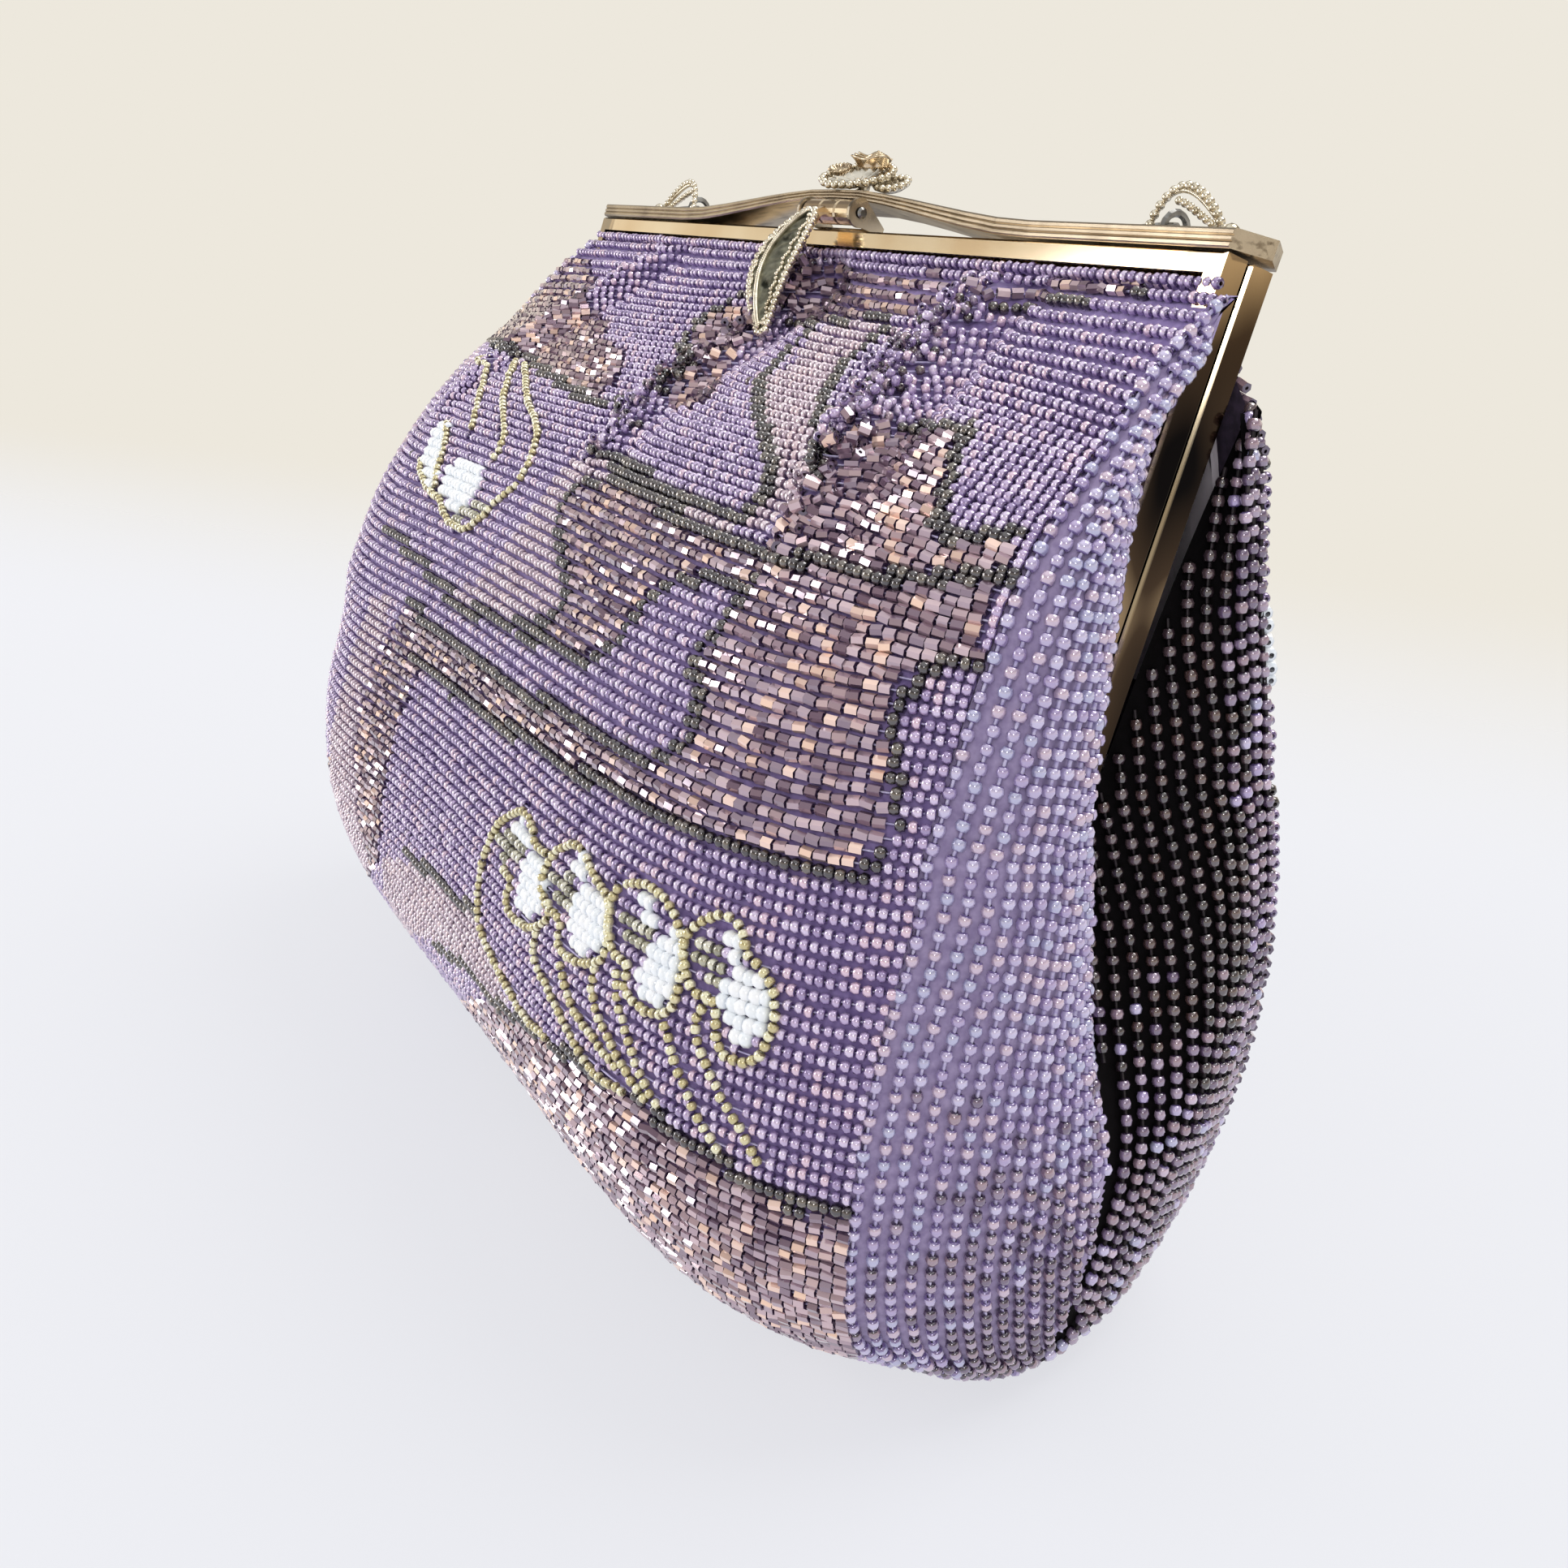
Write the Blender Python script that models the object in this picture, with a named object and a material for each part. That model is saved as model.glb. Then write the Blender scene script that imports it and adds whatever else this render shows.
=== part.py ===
# Beaded evening clutch on a hinged metal frame: a soft pouch hung from two U-shaped channels, a bow-shaped
# bar over them with a flower on it, a leaf-shaped clasp lever, and a link chain that hangs behind.
# X runs along the rail, Y goes from front to back, Z is up. The pouch stands on the plane z = 0 and the
# frame leans back. Frame pieces are drawn in the frame's own axes: x, w (backwards) and v (up from the
# hinge).
import math

import bmesh
import bpy
import numpy as np
from mathutils import Matrix, Vector

# Driving dimensions
RAIL_HALF_LENGTH = 0.086
LEG_LENGTH = 0.062
HINGE_HEIGHT = 0.0747
LEAN_ANGLE = math.radians(19.9)
BODY_DEPTH = 0.100
SIDE_BULGE = 0.016
SHEET_THICKNESS = 0.0022
LINING_THICKNESS = 0.0009
SEAT_GAP = 0.0003
CUT_OVERRUN = 0.001

# Channels of the frame
CHANNEL_DEPTH = 0.0038
CHANNEL_WIDTH = 0.0024
CHANNEL_WALL = 0.0006
CHANNEL_CHAMFER = 0.00035
SPLIT_GAP = 0.0003
LEG_SPLAY = 0.0009

# Hinges at the leg ends
HINGE_PIN_RADIUS = 0.0009
HINGE_PIN_CLEARANCE = 0.0002
HINGE_HEAD_RADIUS = 0.0017
HINGE_HEAD_HEIGHT = 0.0006
LUG_RADIUS = 0.0030
LUG_THICKNESS = 0.0004
LEG_END_LIFT = 0.0023
FRONT_LUG_LIFT = 0.0036

# Bow bar
BAR_THICKNESS = 0.0022
BAR_THIN_THICKNESS = 0.0014
BAR_ARCH_RISE = 0.0043
BAR_ARCH_HALF_SPAN = 0.047
BAR_ARCH_FLAT_HALF_SPAN = 0.005
BAR_POINT_LENGTH = 0.0030
BAR_GROOVE_DEPTH = 0.00022
BAR_RIVET_RADIUS = 0.0007
BAR_RIVET_HEAD_RADIUS = 0.0013
BAR_RIVET_HEAD_HEIGHT = 0.0006
BAR_RIVET_INSET = 0.0280

# Clasp
CLASP_PLACE_X = 0.0038
CLASP_AXIS_REACH = 0.0050
CLASP_AXIS_LIFT = 0.0022
BARREL_RADIUS = 0.0018
BARREL_LENGTH = 0.0136
BARREL_GROOVE_DEPTH = 0.00018
BARREL_GROOVE_WIDTH = 0.00035
CLASP_PIN_RADIUS = 0.00045
CLASP_PIN_CLEARANCE = 0.0002
CHEEK_THICKNESS = 0.0006
CHEEK_RADIUS = 0.0021
CHEEK_REAR_HEIGHT = 0.0011
CHEEK_REAR_SETBACK = 0.0005
BRACKET_PLATE_THICKNESS = 0.0005
BRACKET_PLATE_DEPTH = 0.0016
NECK_WIDTH = 0.0044
NECK_THICKNESS = 0.0011
NOSE_REACH = 0.0023
NOSE_RISE = 0.0013
CATCH_LIP_HEIGHT = 0.0004
CATCH_LIP_LENGTH = 0.0060
CATCH_LIP_THICKNESS = 0.0005
LEAF_SIDE_SHIFT = -0.0023
LEAF_REACH = 0.0102
LEAF_DROP = 0.0205
LEAF_WIDTH = 0.0115
LEAF_THICKNESS = 0.0010
LEAF_ROPE_RADIUS = 0.0007
LEAF_ROPE_LUMPS = 11
LEAF_KEEL_HEIGHT = 0.0009

# Flower on the bar
FLOWER_PLACE_X = 0.0015
FLOWER_POST_RADIUS = 0.0009
FLOWER_RISE = 0.0034
ROSE_SHIFT = 0.0036
ROSE_RADIUS = 0.0042
ROSE_HEIGHT = 0.0040
ROSE_PETALS = 5
BUD_RADIUS = 0.0016
BUD_HEIGHT = 0.0026
SMALL_BUD_SHIFT = -0.0042
BIG_LEAF_LENGTH = 0.0170
BIG_LEAF_WIDTH = 0.0104
BIG_LEAF_TILT = math.radians(-9)
BIG_LEAF_ROLL = math.radians(15)
SMALL_LEAF_LENGTH = 0.0080
SMALL_LEAF_WIDTH = 0.0060
SMALL_LEAF_SHIFT = 0.0102
SMALL_LEAF_TILT = math.radians(-12)
FLOWER_LEAF_THICKNESS = 0.0008
FLOWER_LEAF_DISH = 0.0010

# Chain and its loops
LOOP_INNER_X = 0.0655
LOOP_SETBACK = 0.0024
LOOP_LENGTH = 0.0165
LOOP_HEIGHT = 0.0056
LOOP_WIRE_RADIUS = 0.0006
LOOP_LEAF_HALF_WIDTH = 0.0015
LOOP_FINIAL_RADIUS = 0.0010
LOOP_ROPE_LUMPS = 9
REST_RING_RADIUS = 0.0023
RING_RADIUS = 0.0019
RING_WIRE_RADIUS = 0.0005
RING_PLAY = 0.00025
CHAIN_LENGTH = 0.290
CHAIN_WIRE_RADIUS = 0.00055
CHAIN_LINK_LENGTH = 0.0080
CHAIN_LINK_WIDTH = 0.0048
CHAIN_LINK_SINK = 0.00066
CHAIN_BULGE_CLEARANCE = 0.0034

# Lining pocket
POCKET_WIDTH = 0.088
POCKET_TOP_HEIGHT = 0.064
POCKET_BOTTOM_HEIGHT = 0.022
POCKET_THICKNESS = 0.0010
POCKET_GAP = 0.0012

# Pleats gathered under the front rail, and the hollow between them where the leaf hangs
PLEAT_HEIGHT = 0.0026
HOLLOW_DEPTH = 0.0075

# Derived places
GROOVE_TOP = LEG_LENGTH - CHANNEL_WIDTH - SEAT_GAP
CHANNEL_MIDDLE = SPLIT_GAP / 2 + CHANNEL_DEPTH / 2
CHANNEL_OUTER = SPLIT_GAP / 2 + CHANNEL_DEPTH
GROOVE_RISE = GROOVE_TOP * math.cos(LEAN_ANGLE)
BAR_DEPTH = 2 * CHANNEL_OUTER
BAR_BOTTOM = LEG_LENGTH + SEAT_GAP

# Rows of the body, from the groove under the rail down to the seam under the base. Each row holds a share
# of the way down, and then for a rim or rib curve: the share of the side bulge beyond the rail's end, the
# share of the body's depth in front of or behind the leaning frame line, and the height share, which counts
# the hinge as 1 and the groove as 2.
FRONT_ROW_SHARES = [0.0, 0.035, 0.07, 0.14, 0.24, 0.36, 0.46, 0.58, 0.68, 0.77, 0.85, 0.90, 1.0]
HINGE_ROW_SHARE = 0.46
FRONT_SEAM_SHARES = [
    (-0.18, -0.036, 2.015), (-0.15, -0.066, 1.97), (0.10, -0.104, 1.90), (0.25, -0.157, 1.76),
    (0.40, -0.226, 1.56),
    (0.48, -0.246, 1.27), (0.55, -0.250, 0.957), (0.63, -0.310, 0.683), (0.65, -0.336, 0.442),
    (0.58, -0.332, 0.268), (0.44, -0.295, 0.154), (0.38, -0.250, 0.100), (0.38, -0.140, 0.050),
]
FRONT_MIDDLE_SHARES = [
    (0.00, -0.036, 2.015), (0.00, -0.062, 1.975), (0.00, -0.100, 1.915), (0.00, -0.180, 1.81),
    (0.00, -0.315, 1.62),
    (0.00, -0.410, 1.29), (0.00, -0.430, 0.957), (0.00, -0.485, 0.683), (0.00, -0.500, 0.442),
    (0.00, -0.470, 0.241), (0.00, -0.400, 0.075), (0.00, -0.320, 0.000), (0.00, -0.080, 0.000),
]
BACK_ROW_SHARES = [0.0, 0.04, 0.08, 0.20, 0.34, 0.50, 0.62, 0.74, 0.82, 0.88, 1.0]
BACK_SEAM_SHARES = [
    (-0.18, 0.034, 1.972), (-0.16, 0.068, 1.86), (0.06, 0.098, 1.75), (0.27, 0.175, 1.41),
    (0.36, 0.292, 0.977),
    (0.41, 0.310, 0.616), (0.36, 0.285, 0.388), (0.28, 0.225, 0.174), (0.25, 0.155, 0.087),
    (0.28, 0.080, 0.060), (0.38, -0.140, 0.050),
]
BACK_MIDDLE_SHARES = [
    (0.00, 0.034, 1.972), (0.00, 0.068, 1.90), (0.00, 0.105, 1.80), (0.00, 0.225, 1.43), (0.00, 0.350, 0.995),
    (0.00, 0.380, 0.629), (0.00, 0.385, 0.375), (0.00, 0.335, 0.147), (0.00, 0.250, 0.027),
    (0.00, 0.170, 0.000), (0.00, -0.080, 0.000),
]
# The side gusset, row by row as the front panel, on ribs between its two seams: the front bulge, the fold
# in front of the leg, the valley under the leg and the rear flank. Where along the back seam each of the
# gusset's rows ends is the last table.
GUSSET_RIB_PLACE_SHARES = [0.0, 0.2, 0.4, 0.53, 0.76, 1.0]
GUSSET_ROW_SHARES = [0.03, 0.07, 0.14, 0.24, 0.36, 0.46, 0.58, 0.68, 0.77, 0.85, 0.90, 0.97]
GUSSET_BULGE_SHARES = [
    (0.10, -0.040, 1.97), (0.22, -0.080, 1.90), (0.44, -0.130, 1.77), (0.69, -0.177, 1.57),
    (0.81, -0.176, 1.27), (0.88, -0.150, 0.957), (0.97, -0.170, 0.683), (1.00, -0.180, 0.442),
    (0.91, -0.190, 0.260), (0.75, -0.185, 0.120), (0.63, -0.175, 0.070), (0.45, -0.150, 0.050),
]
GUSSET_FOLD_SHARES = [
    (0.14, -0.048, 1.97), (0.22, -0.052, 1.91), (0.34, -0.090, 1.77), (0.47, -0.098, 1.58),
    (0.53, -0.061, 1.27), (0.56, -0.015, 0.957), (0.75, -0.025, 0.683), (0.97, -0.045, 0.442),
    (0.94, -0.065, 0.255), (0.80, -0.085, 0.095), (0.69, -0.100, 0.045), (0.45, -0.140, 0.045),
]
GUSSET_VALLEY_SHARES = [
    (0.02, 0.000, 1.97), (0.02, 0.000, 1.91), (0.02, 0.000, 1.77), (0.02, 0.000, 1.58),
    (0.02, 0.000, 1.27), (0.00, 0.025, 0.930), (0.34, 0.030, 0.683), (0.84, 0.015, 0.442),
    (0.88, -0.005, 0.250), (0.77, -0.035, 0.085), (0.69, -0.065, 0.040), (0.45, -0.138, 0.045),
]
GUSSET_FLANK_SHARES = [
    (0.04, 0.050, 1.97), (0.09, 0.052, 1.88), (0.22, 0.055, 1.75), (0.31, 0.093, 1.54),
    (0.38, 0.150, 1.24), (0.47, 0.190, 0.950), (0.69, 0.175, 0.670), (0.81, 0.145, 0.430),
    (0.72, 0.110, 0.245), (0.63, 0.065, 0.085), (0.56, 0.010, 0.045), (0.43, -0.136, 0.045),
]
GUSSET_BACK_ROW_SHARES = [0.012, 0.035, 0.08, 0.15, 0.25, 0.35, 0.47, 0.595, 0.68, 0.755, 0.80, 0.97]
BULGE_POWER = 5.0
# Pleats: place along the rail as a share of its half length, and half width as a share of it too
PLEAT_PLACE_SHARES = [-0.80, -0.24, 0.28]
PLEAT_SLANT_SHARES = [-0.06, -0.12, -0.10]
PLEAT_HALF_WIDTH_SHARE = 0.10
HOLLOW_HALF_WIDTH_SHARE = 0.19
HOLLOW_ROW_SHARE = 0.12
HOLLOW_ROW_HALF_WIDTH_SHARE = 0.10


def clear_scene():
    for old in list(bpy.data.objects):
        bpy.data.objects.remove(old)


def make_material(name, colour, roughness, metallic=0.0):
    material = bpy.data.materials.new(name)
    material.use_nodes = True
    shader = material.node_tree.nodes["Principled BSDF"]
    shader.inputs["Base Color"].default_value = (*colour, 1.0)
    shader.inputs["Roughness"].default_value = roughness
    shader.inputs["Metallic"].default_value = metallic
    return material


def make_empty(name, location, lean):
    empty = bpy.data.objects.new(name, None)
    empty.location = location
    empty.rotation_euler = (lean, 0, 0)
    bpy.context.collection.objects.link(empty)
    return empty


SMOOTH_ANGLE = math.radians(38)


def add_object(name, points, faces, material, parent=None, smooth=True):
    """One closed mesh as an object, with its faces turned outwards."""
    mesh = bpy.data.meshes.new(name)
    mesh.from_pydata([tuple(point) for point in points], [], faces)
    builder = bmesh.new()
    builder.from_mesh(mesh)
    bmesh.ops.recalc_face_normals(builder, faces=builder.faces)
    if builder.calc_volume(signed=True) < 0:
        bmesh.ops.reverse_faces(builder, faces=builder.faces)
    builder.to_mesh(mesh)
    builder.free()
    mesh.materials.append(material)
    if smooth:
        mesh.shade_smooth()
        mesh.set_sharp_from_angle(angle=SMOOTH_ANGLE)
    shape = bpy.data.objects.new(name, mesh)
    shape.parent = parent
    bpy.context.collection.objects.link(shape)
    return shape


def make_helper(shape):
    shape.hide_render = True
    shape.display_type = "WIRE"
    return shape


def combine(shape, other, operation):
    """A Boolean with a helper object, which the model leaves out."""
    modifier = shape.modifiers.new(operation.title(), "BOOLEAN")
    modifier.operation = operation
    modifier.solver = "EXACT"
    modifier.object = make_helper(other)


def loft(rings, closed=False):
    """Points and faces of a skin over rings of points, capped at both ends or joined end to start."""
    count = len(rings[0])
    points = [point for ring in rings for point in ring]
    faces = []
    last = len(rings) if closed else len(rings) - 1
    for i in range(last):
        a = i * count
        b = (i + 1) % len(rings) * count
        for j in range(count):
            k = (j + 1) % count
            faces.append((a + j, a + k, b + k, b + j))
    if not closed:
        faces.append(tuple(range(count)))
        faces.append(tuple(reversed(range((len(rings) - 1) * count, len(rings) * count))))
    return points, faces


def circle(radius, sides):
    turns = [2 * math.pi * i / sides for i in range(sides)]
    return [(radius * math.cos(turn), radius * math.sin(turn)) for turn in turns]


def tube_rings(path, radii, sides, flatten=None, closed=False):
    """Rings square to a path, by the double reflection of one starting frame."""
    path = [Vector(point) for point in path]
    count = len(path)
    tangents = []
    for i in range(count):
        before = path[i - 1] if closed or i else path[i]
        after = path[(i + 1) % count] if closed or i < count - 1 else path[i]
        tangents.append((after - before).normalized())
    side = Vector((0, 1, 0))
    if abs(tangents[0].dot(side)) > 0.9:
        side = Vector((1, 0, 0))
    rings = []
    for i in range(count):
        side = (side - tangents[i] * side.dot(tangents[i])).normalized()
        other = tangents[i].cross(side)
        widen = flatten[i] if flatten else 1.0
        rings.append([
            path[i] + side * (a * widen) + other * b
            for a, b in circle(radii[i], sides)
        ])
    return rings


def frame_to_world(x, w, v):
    """A point given in the leaning frame's axes, in the part's own."""
    y = w * math.cos(LEAN_ANGLE) + v * math.sin(LEAN_ANGLE)
    z = HINGE_HEIGHT + v * math.cos(LEAN_ANGLE) - w * math.sin(LEAN_ANGLE)
    return np.array((x, y, z))


# Body surfaces


def smooth_table(places, rows, wanted):
    """A smooth curve through the rows of a table, read at the wanted places."""
    places = np.asarray(places, float)
    rows = np.asarray(rows, float)
    wanted = np.asarray(wanted, float)
    steps = np.diff(places)
    slopes = np.diff(rows, axis=0) / steps[:, None]
    tangents = np.empty_like(rows)
    tangents[0] = slopes[0]
    tangents[-1] = slopes[-1]
    mixed = slopes[:-1] * steps[1:, None] + slopes[1:] * steps[:-1, None]
    tangents[1:-1] = mixed / (places[2:] - places[:-2])[:, None]
    index = np.clip(np.searchsorted(places, wanted, side="right") - 1, 0, len(places) - 2)
    span = steps[index]
    u = ((wanted - places[index]) / span)[..., None]
    span = span[..., None]
    return (
        (2 * u**3 - 3 * u**2 + 1) * rows[index]
        + (u**3 - 2 * u**2 + u) * span * tangents[index]
        + (3 * u**2 - 2 * u**3) * rows[index + 1]
        + (u**3 - u**2) * span * tangents[index + 1]
    )


def shares_to_places(shares):
    """Side, depth and height shares as points: the body hangs from the leaning frame and stands on z = 0."""
    side, depth, height = shares[..., 0], shares[..., 1], shares[..., 2]
    low = np.clip(height, 0, 1) * HINGE_HEIGHT
    z = low + (height > 1) * (height - 1) * GROOVE_RISE
    setback = np.maximum(z - HINGE_HEIGHT, 0) * math.tan(LEAN_ANGLE)
    x = RAIL_HALF_LENGTH - CHANNEL_WALL + side * SIDE_BULGE
    y = setback + depth * BODY_DEPTH
    return np.stack((x, y, z), axis=-1)


def pleat_lift(place, row):
    """How far the gathers under the front rail stand out, by place along the rail and row."""
    lift = np.zeros(np.broadcast(place, row).shape)
    fade = np.clip(row / 0.10, 0, 1) * np.clip((0.42 - row) / 0.30, 0, 1)
    for centre, slant in zip(PLEAT_PLACE_SHARES, PLEAT_SLANT_SHARES):
        offset = (place - centre - slant * row / 0.30) / PLEAT_HALF_WIDTH_SHARE
        lift = lift + np.exp(-offset**2)
    hollow = np.exp(-(place / HOLLOW_HALF_WIDTH_SHARE) ** 2)
    hollow = hollow * np.exp(-((row - HOLLOW_ROW_SHARE) / HOLLOW_ROW_HALF_WIDTH_SHARE) ** 2)
    hollow = hollow * np.clip(row / (HOLLOW_ROW_SHARE / 2), 0, 1)
    return lift * fade * PLEAT_HEIGHT - hollow * HOLLOW_DEPTH


def panel_points(seam, middle, rows, place, row, pleated=False):
    """Points of the front or back panel: place runs from -1 to 1 along it, row from the rail to the base."""
    place, row = np.broadcast_arrays(np.asarray(place, float), np.asarray(row, float))
    edge = shares_to_places(smooth_table(rows, seam, row))
    centre = shares_to_places(smooth_table(rows, middle, row))
    pull = (np.abs(place) ** BULGE_POWER)[..., None]
    points = edge * pull + centre * (1 - pull)
    points[..., 0] = edge[..., 0] * place
    points[..., 2] = np.maximum(points[..., 2], 0)
    if pleated:
        points[..., 1] -= pleat_lift(place, row)
    return points


def front_points(place, row):
    return panel_points(FRONT_SEAM_SHARES, FRONT_MIDDLE_SHARES, FRONT_ROW_SHARES, place, row, True)


def back_points(place, row):
    return panel_points(BACK_SEAM_SHARES, BACK_MIDDLE_SHARES, BACK_ROW_SHARES, place, row)


def leg_side_points(row_places, side):
    """Where the gusset ends beside a leg: against the front or the rear lip of the channels."""
    lip = side * (CHANNEL_OUTER + SEAT_GAP + (SHEET_THICKNESS if side > 0 else 0.0))
    points = np.array(row_places)
    reach = (points[..., 2] - HINGE_HEIGHT) / math.cos(LEAN_ANGLE)
    points[..., 0] = RAIL_HALF_LENGTH - CHANNEL_WIDTH / 2
    points[..., 1] = lip / math.cos(LEAN_ANGLE) + reach * math.sin(LEAN_ANGLE)
    return points


def gusset_rib(shares, row):
    return shares_to_places(smooth_table(GUSSET_ROW_SHARES, shares, row))


def gusset_points(across, row, half):
    """Points of the right gusset. half is front, rear or whole, as the leg divides it above the hinge."""
    front_seam = shares_to_places(smooth_table(FRONT_ROW_SHARES, FRONT_SEAM_SHARES, row))
    back_row = np.interp(row, GUSSET_ROW_SHARES, GUSSET_BACK_ROW_SHARES)
    back_seam = shares_to_places(smooth_table(BACK_ROW_SHARES, BACK_SEAM_SHARES, back_row))
    bulge = gusset_rib(GUSSET_BULGE_SHARES, row)
    fold = gusset_rib(GUSSET_FOLD_SHARES, row)
    valley = gusset_rib(GUSSET_VALLEY_SHARES, row)
    flank = gusset_rib(GUSSET_FLANK_SHARES, row)
    places = GUSSET_RIB_PLACE_SHARES
    if half == "front":
        ribs = [front_seam, bulge, fold, leg_side_points(valley, -1)]
        places = places[:4]
    elif half == "rear":
        ribs = [leg_side_points(valley, 1), flank, back_seam]
        places = places[3:]
    else:
        ribs = [front_seam, bulge, fold, valley, flank, back_seam]
    grid = np.empty((len(row), len(across), 3))
    table = np.stack(ribs, axis=1)
    for i in range(len(row)):
        grid[i] = smooth_table(places, table[i], across)
    return grid


def grid_normals(grid):
    """Unit normals of a grid of points, turned away from the body's middle."""
    along = np.gradient(grid, axis=0)
    across = np.gradient(grid, axis=1)
    normals = np.cross(along, across)
    lengths = np.linalg.norm(normals, axis=-1, keepdims=True)
    normals /= np.maximum(lengths, 1e-12)
    outward = grid - np.array((0, 0, HINGE_HEIGHT))
    outward[..., 2] *= 0.3
    if (normals * outward).sum() < 0:
        normals = -normals
    return normals


def sheet_faces(rows, columns, count):
    """Faces of a closed slab: the outer grid, the inner grid and the four edges."""
    faces = []
    for i in range(rows - 1):
        for j in range(columns - 1):
            a = i * columns + j
            quad = (a, a + 1, a + columns + 1, a + columns)
            faces.append(quad)
            faces.append(tuple(count + index for index in reversed(quad)))
    rim = [j for j in range(columns)]
    rim += [i * columns + columns - 1 for i in range(1, rows)]
    rim += [(rows - 1) * columns + j for j in range(columns - 2, -1, -1)]
    rim += [i * columns for i in range(rows - 2, 0, -1)]
    for a, b in zip(rim, rim[1:] + rim[:1]):
        faces.append((b, a, count + a, count + b))
    return faces


def add_sheet(name, grid, thickness, material, parent=None, origin=(0, 0, 0), first=None, last=None):
    """A slab whose outer face is a grid of surface points. first and last mitre its first and last column."""
    normals = grid_normals(grid)
    if first is not None:
        normals[:, 0] = first
    if last is not None:
        normals[:, -1] = last
    inner = grid - normals * thickness
    points = np.concatenate((grid.reshape(-1, 3), inner.reshape(-1, 3))) - np.array(origin)
    rows, columns = grid.shape[:2]
    return add_object(name, points, sheet_faces(rows, columns, rows * columns), material, parent)


# Frame


def channel_section():
    """Section of a channel, as distances inward from its outer face and through its depth."""
    half = CHANNEL_DEPTH / 2
    inner_half = half - CHANNEL_WALL
    return [
        (0.0, -half + CHANNEL_CHAMFER), (0.0, half - CHANNEL_CHAMFER),
        (CHANNEL_CHAMFER, half), (CHANNEL_WIDTH, half),
        (CHANNEL_WIDTH, inner_half), (CHANNEL_WALL, inner_half),
        (CHANNEL_WALL, -inner_half), (CHANNEL_WIDTH, -inner_half),
        (CHANNEL_WIDTH, -half), (CHANNEL_CHAMFER, -half),
    ]


def channel_rings(side):
    """Rings of one U-shaped channel, from the left leg's end over the mitred corners to the right one."""
    splay_at_end = LEG_SPLAY * (LEG_LENGTH - LEG_END_LIFT) / LEG_LENGTH
    end_x = RAIL_HALF_LENGTH + splay_at_end
    stations = [
        ((-end_x, LEG_END_LIFT), (1, 0)), ((-RAIL_HALF_LENGTH, LEG_LENGTH), (1, -1)),
        ((RAIL_HALF_LENGTH, LEG_LENGTH), (-1, -1)), ((end_x, LEG_END_LIFT), (-1, 0)),
    ]
    rings = []
    for (x, v), (inward_x, inward_v) in stations:
        rings.append([
            (x + inward_x * inward, side * CHANNEL_MIDDLE + through, v + inward_v * inward)
            for inward, through in channel_section()
        ])
    return rings


def add_disc(name, x_from, x_to, radius, sides, w, v, material, parent):
    rings = [[(x, w + a, v + b) for a, b in circle(radius, sides)] for x in (x_from, x_to)]
    points, faces = loft(rings)
    return add_object(name, points, faces, material, parent)


def add_box(name, low, high, material, parent):
    """A block between two corners, in the axes of its parent."""
    rings = []
    for x in (low[0], high[0]):
        rings.append([(x, low[1], low[2]), (x, high[1], low[2]), (x, high[1], high[2]), (x, low[1], high[2])])
    points, faces = loft(rings)
    return add_object(name, points, faces, material, parent, smooth=False)


LUG_GAP = SEAT_GAP
PIN_SIDES = 14


def add_channel(name, side, material, parent):
    """A channel with a hinge lug at each leg end. The rear lugs lie nearer to the channel than the front."""
    points, faces = loft(channel_rings(side))
    frame = add_object(name, points, faces, material, parent, smooth=False)
    mouth_x = RAIL_HALF_LENGTH - CHANNEL_WIDTH
    plate_outer = mouth_x - LUG_GAP
    if side < 0:
        plate_outer -= LUG_THICKNESS + LUG_GAP
    tab_bottom = LUG_RADIUS * 0.4 if side > 0 else FRONT_LUG_LIFT
    tab_top = LEG_END_LIFT + LUG_RADIUS * 1.5
    near, far = SPLIT_GAP / 2 + CHANNEL_WALL / 2, CHANNEL_OUTER - CHANNEL_WALL / 2
    for hand in (-1, 1):
        tag = f"{name}_{'right' if hand > 0 else 'left'}"
        plate_x = sorted((hand * (plate_outer - LUG_THICKNESS), hand * plate_outer))
        disc = add_disc(f"{tag}_lug", *plate_x, LUG_RADIUS, 2 * PIN_SIDES, 0, 0, material, parent)
        neck_w = sorted((side * near / 2, side * far))
        low, high = (plate_x[0], neck_w[0], 0), (plate_x[1], neck_w[1], tab_top)
        neck = add_box(f"{tag}_neck", low, high, material, parent)
        weld_x = mouth_x + LEG_SPLAY + CHANNEL_WALL
        tab_x = sorted((hand * (plate_outer - LUG_THICKNESS), hand * weld_x))
        tab_w = sorted((side * near, side * far))
        tab = add_box(
            f"{tag}_tab", (tab_x[0], tab_w[0], max(tab_bottom, LEG_END_LIFT + SEAT_GAP)),
            (tab_x[1], tab_w[1], tab_top), material, parent,
        )
        combine(frame, disc, "UNION")
        combine(frame, neck, "UNION")
        combine(frame, tab, "UNION")
        bore_ends = (plate_outer - LUG_THICKNESS - CUT_OVERRUN, plate_outer + CUT_OVERRUN / 4)
        bore_x = sorted(hand * end for end in bore_ends)
        bore_radius = HINGE_PIN_RADIUS + HINGE_PIN_CLEARANCE
        bore = add_disc(f"{tag}_bore", *bore_x, bore_radius, PIN_SIDES, 0, 0, material, parent)
        combine(frame, bore, "DIFFERENCE")
    return frame


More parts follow.
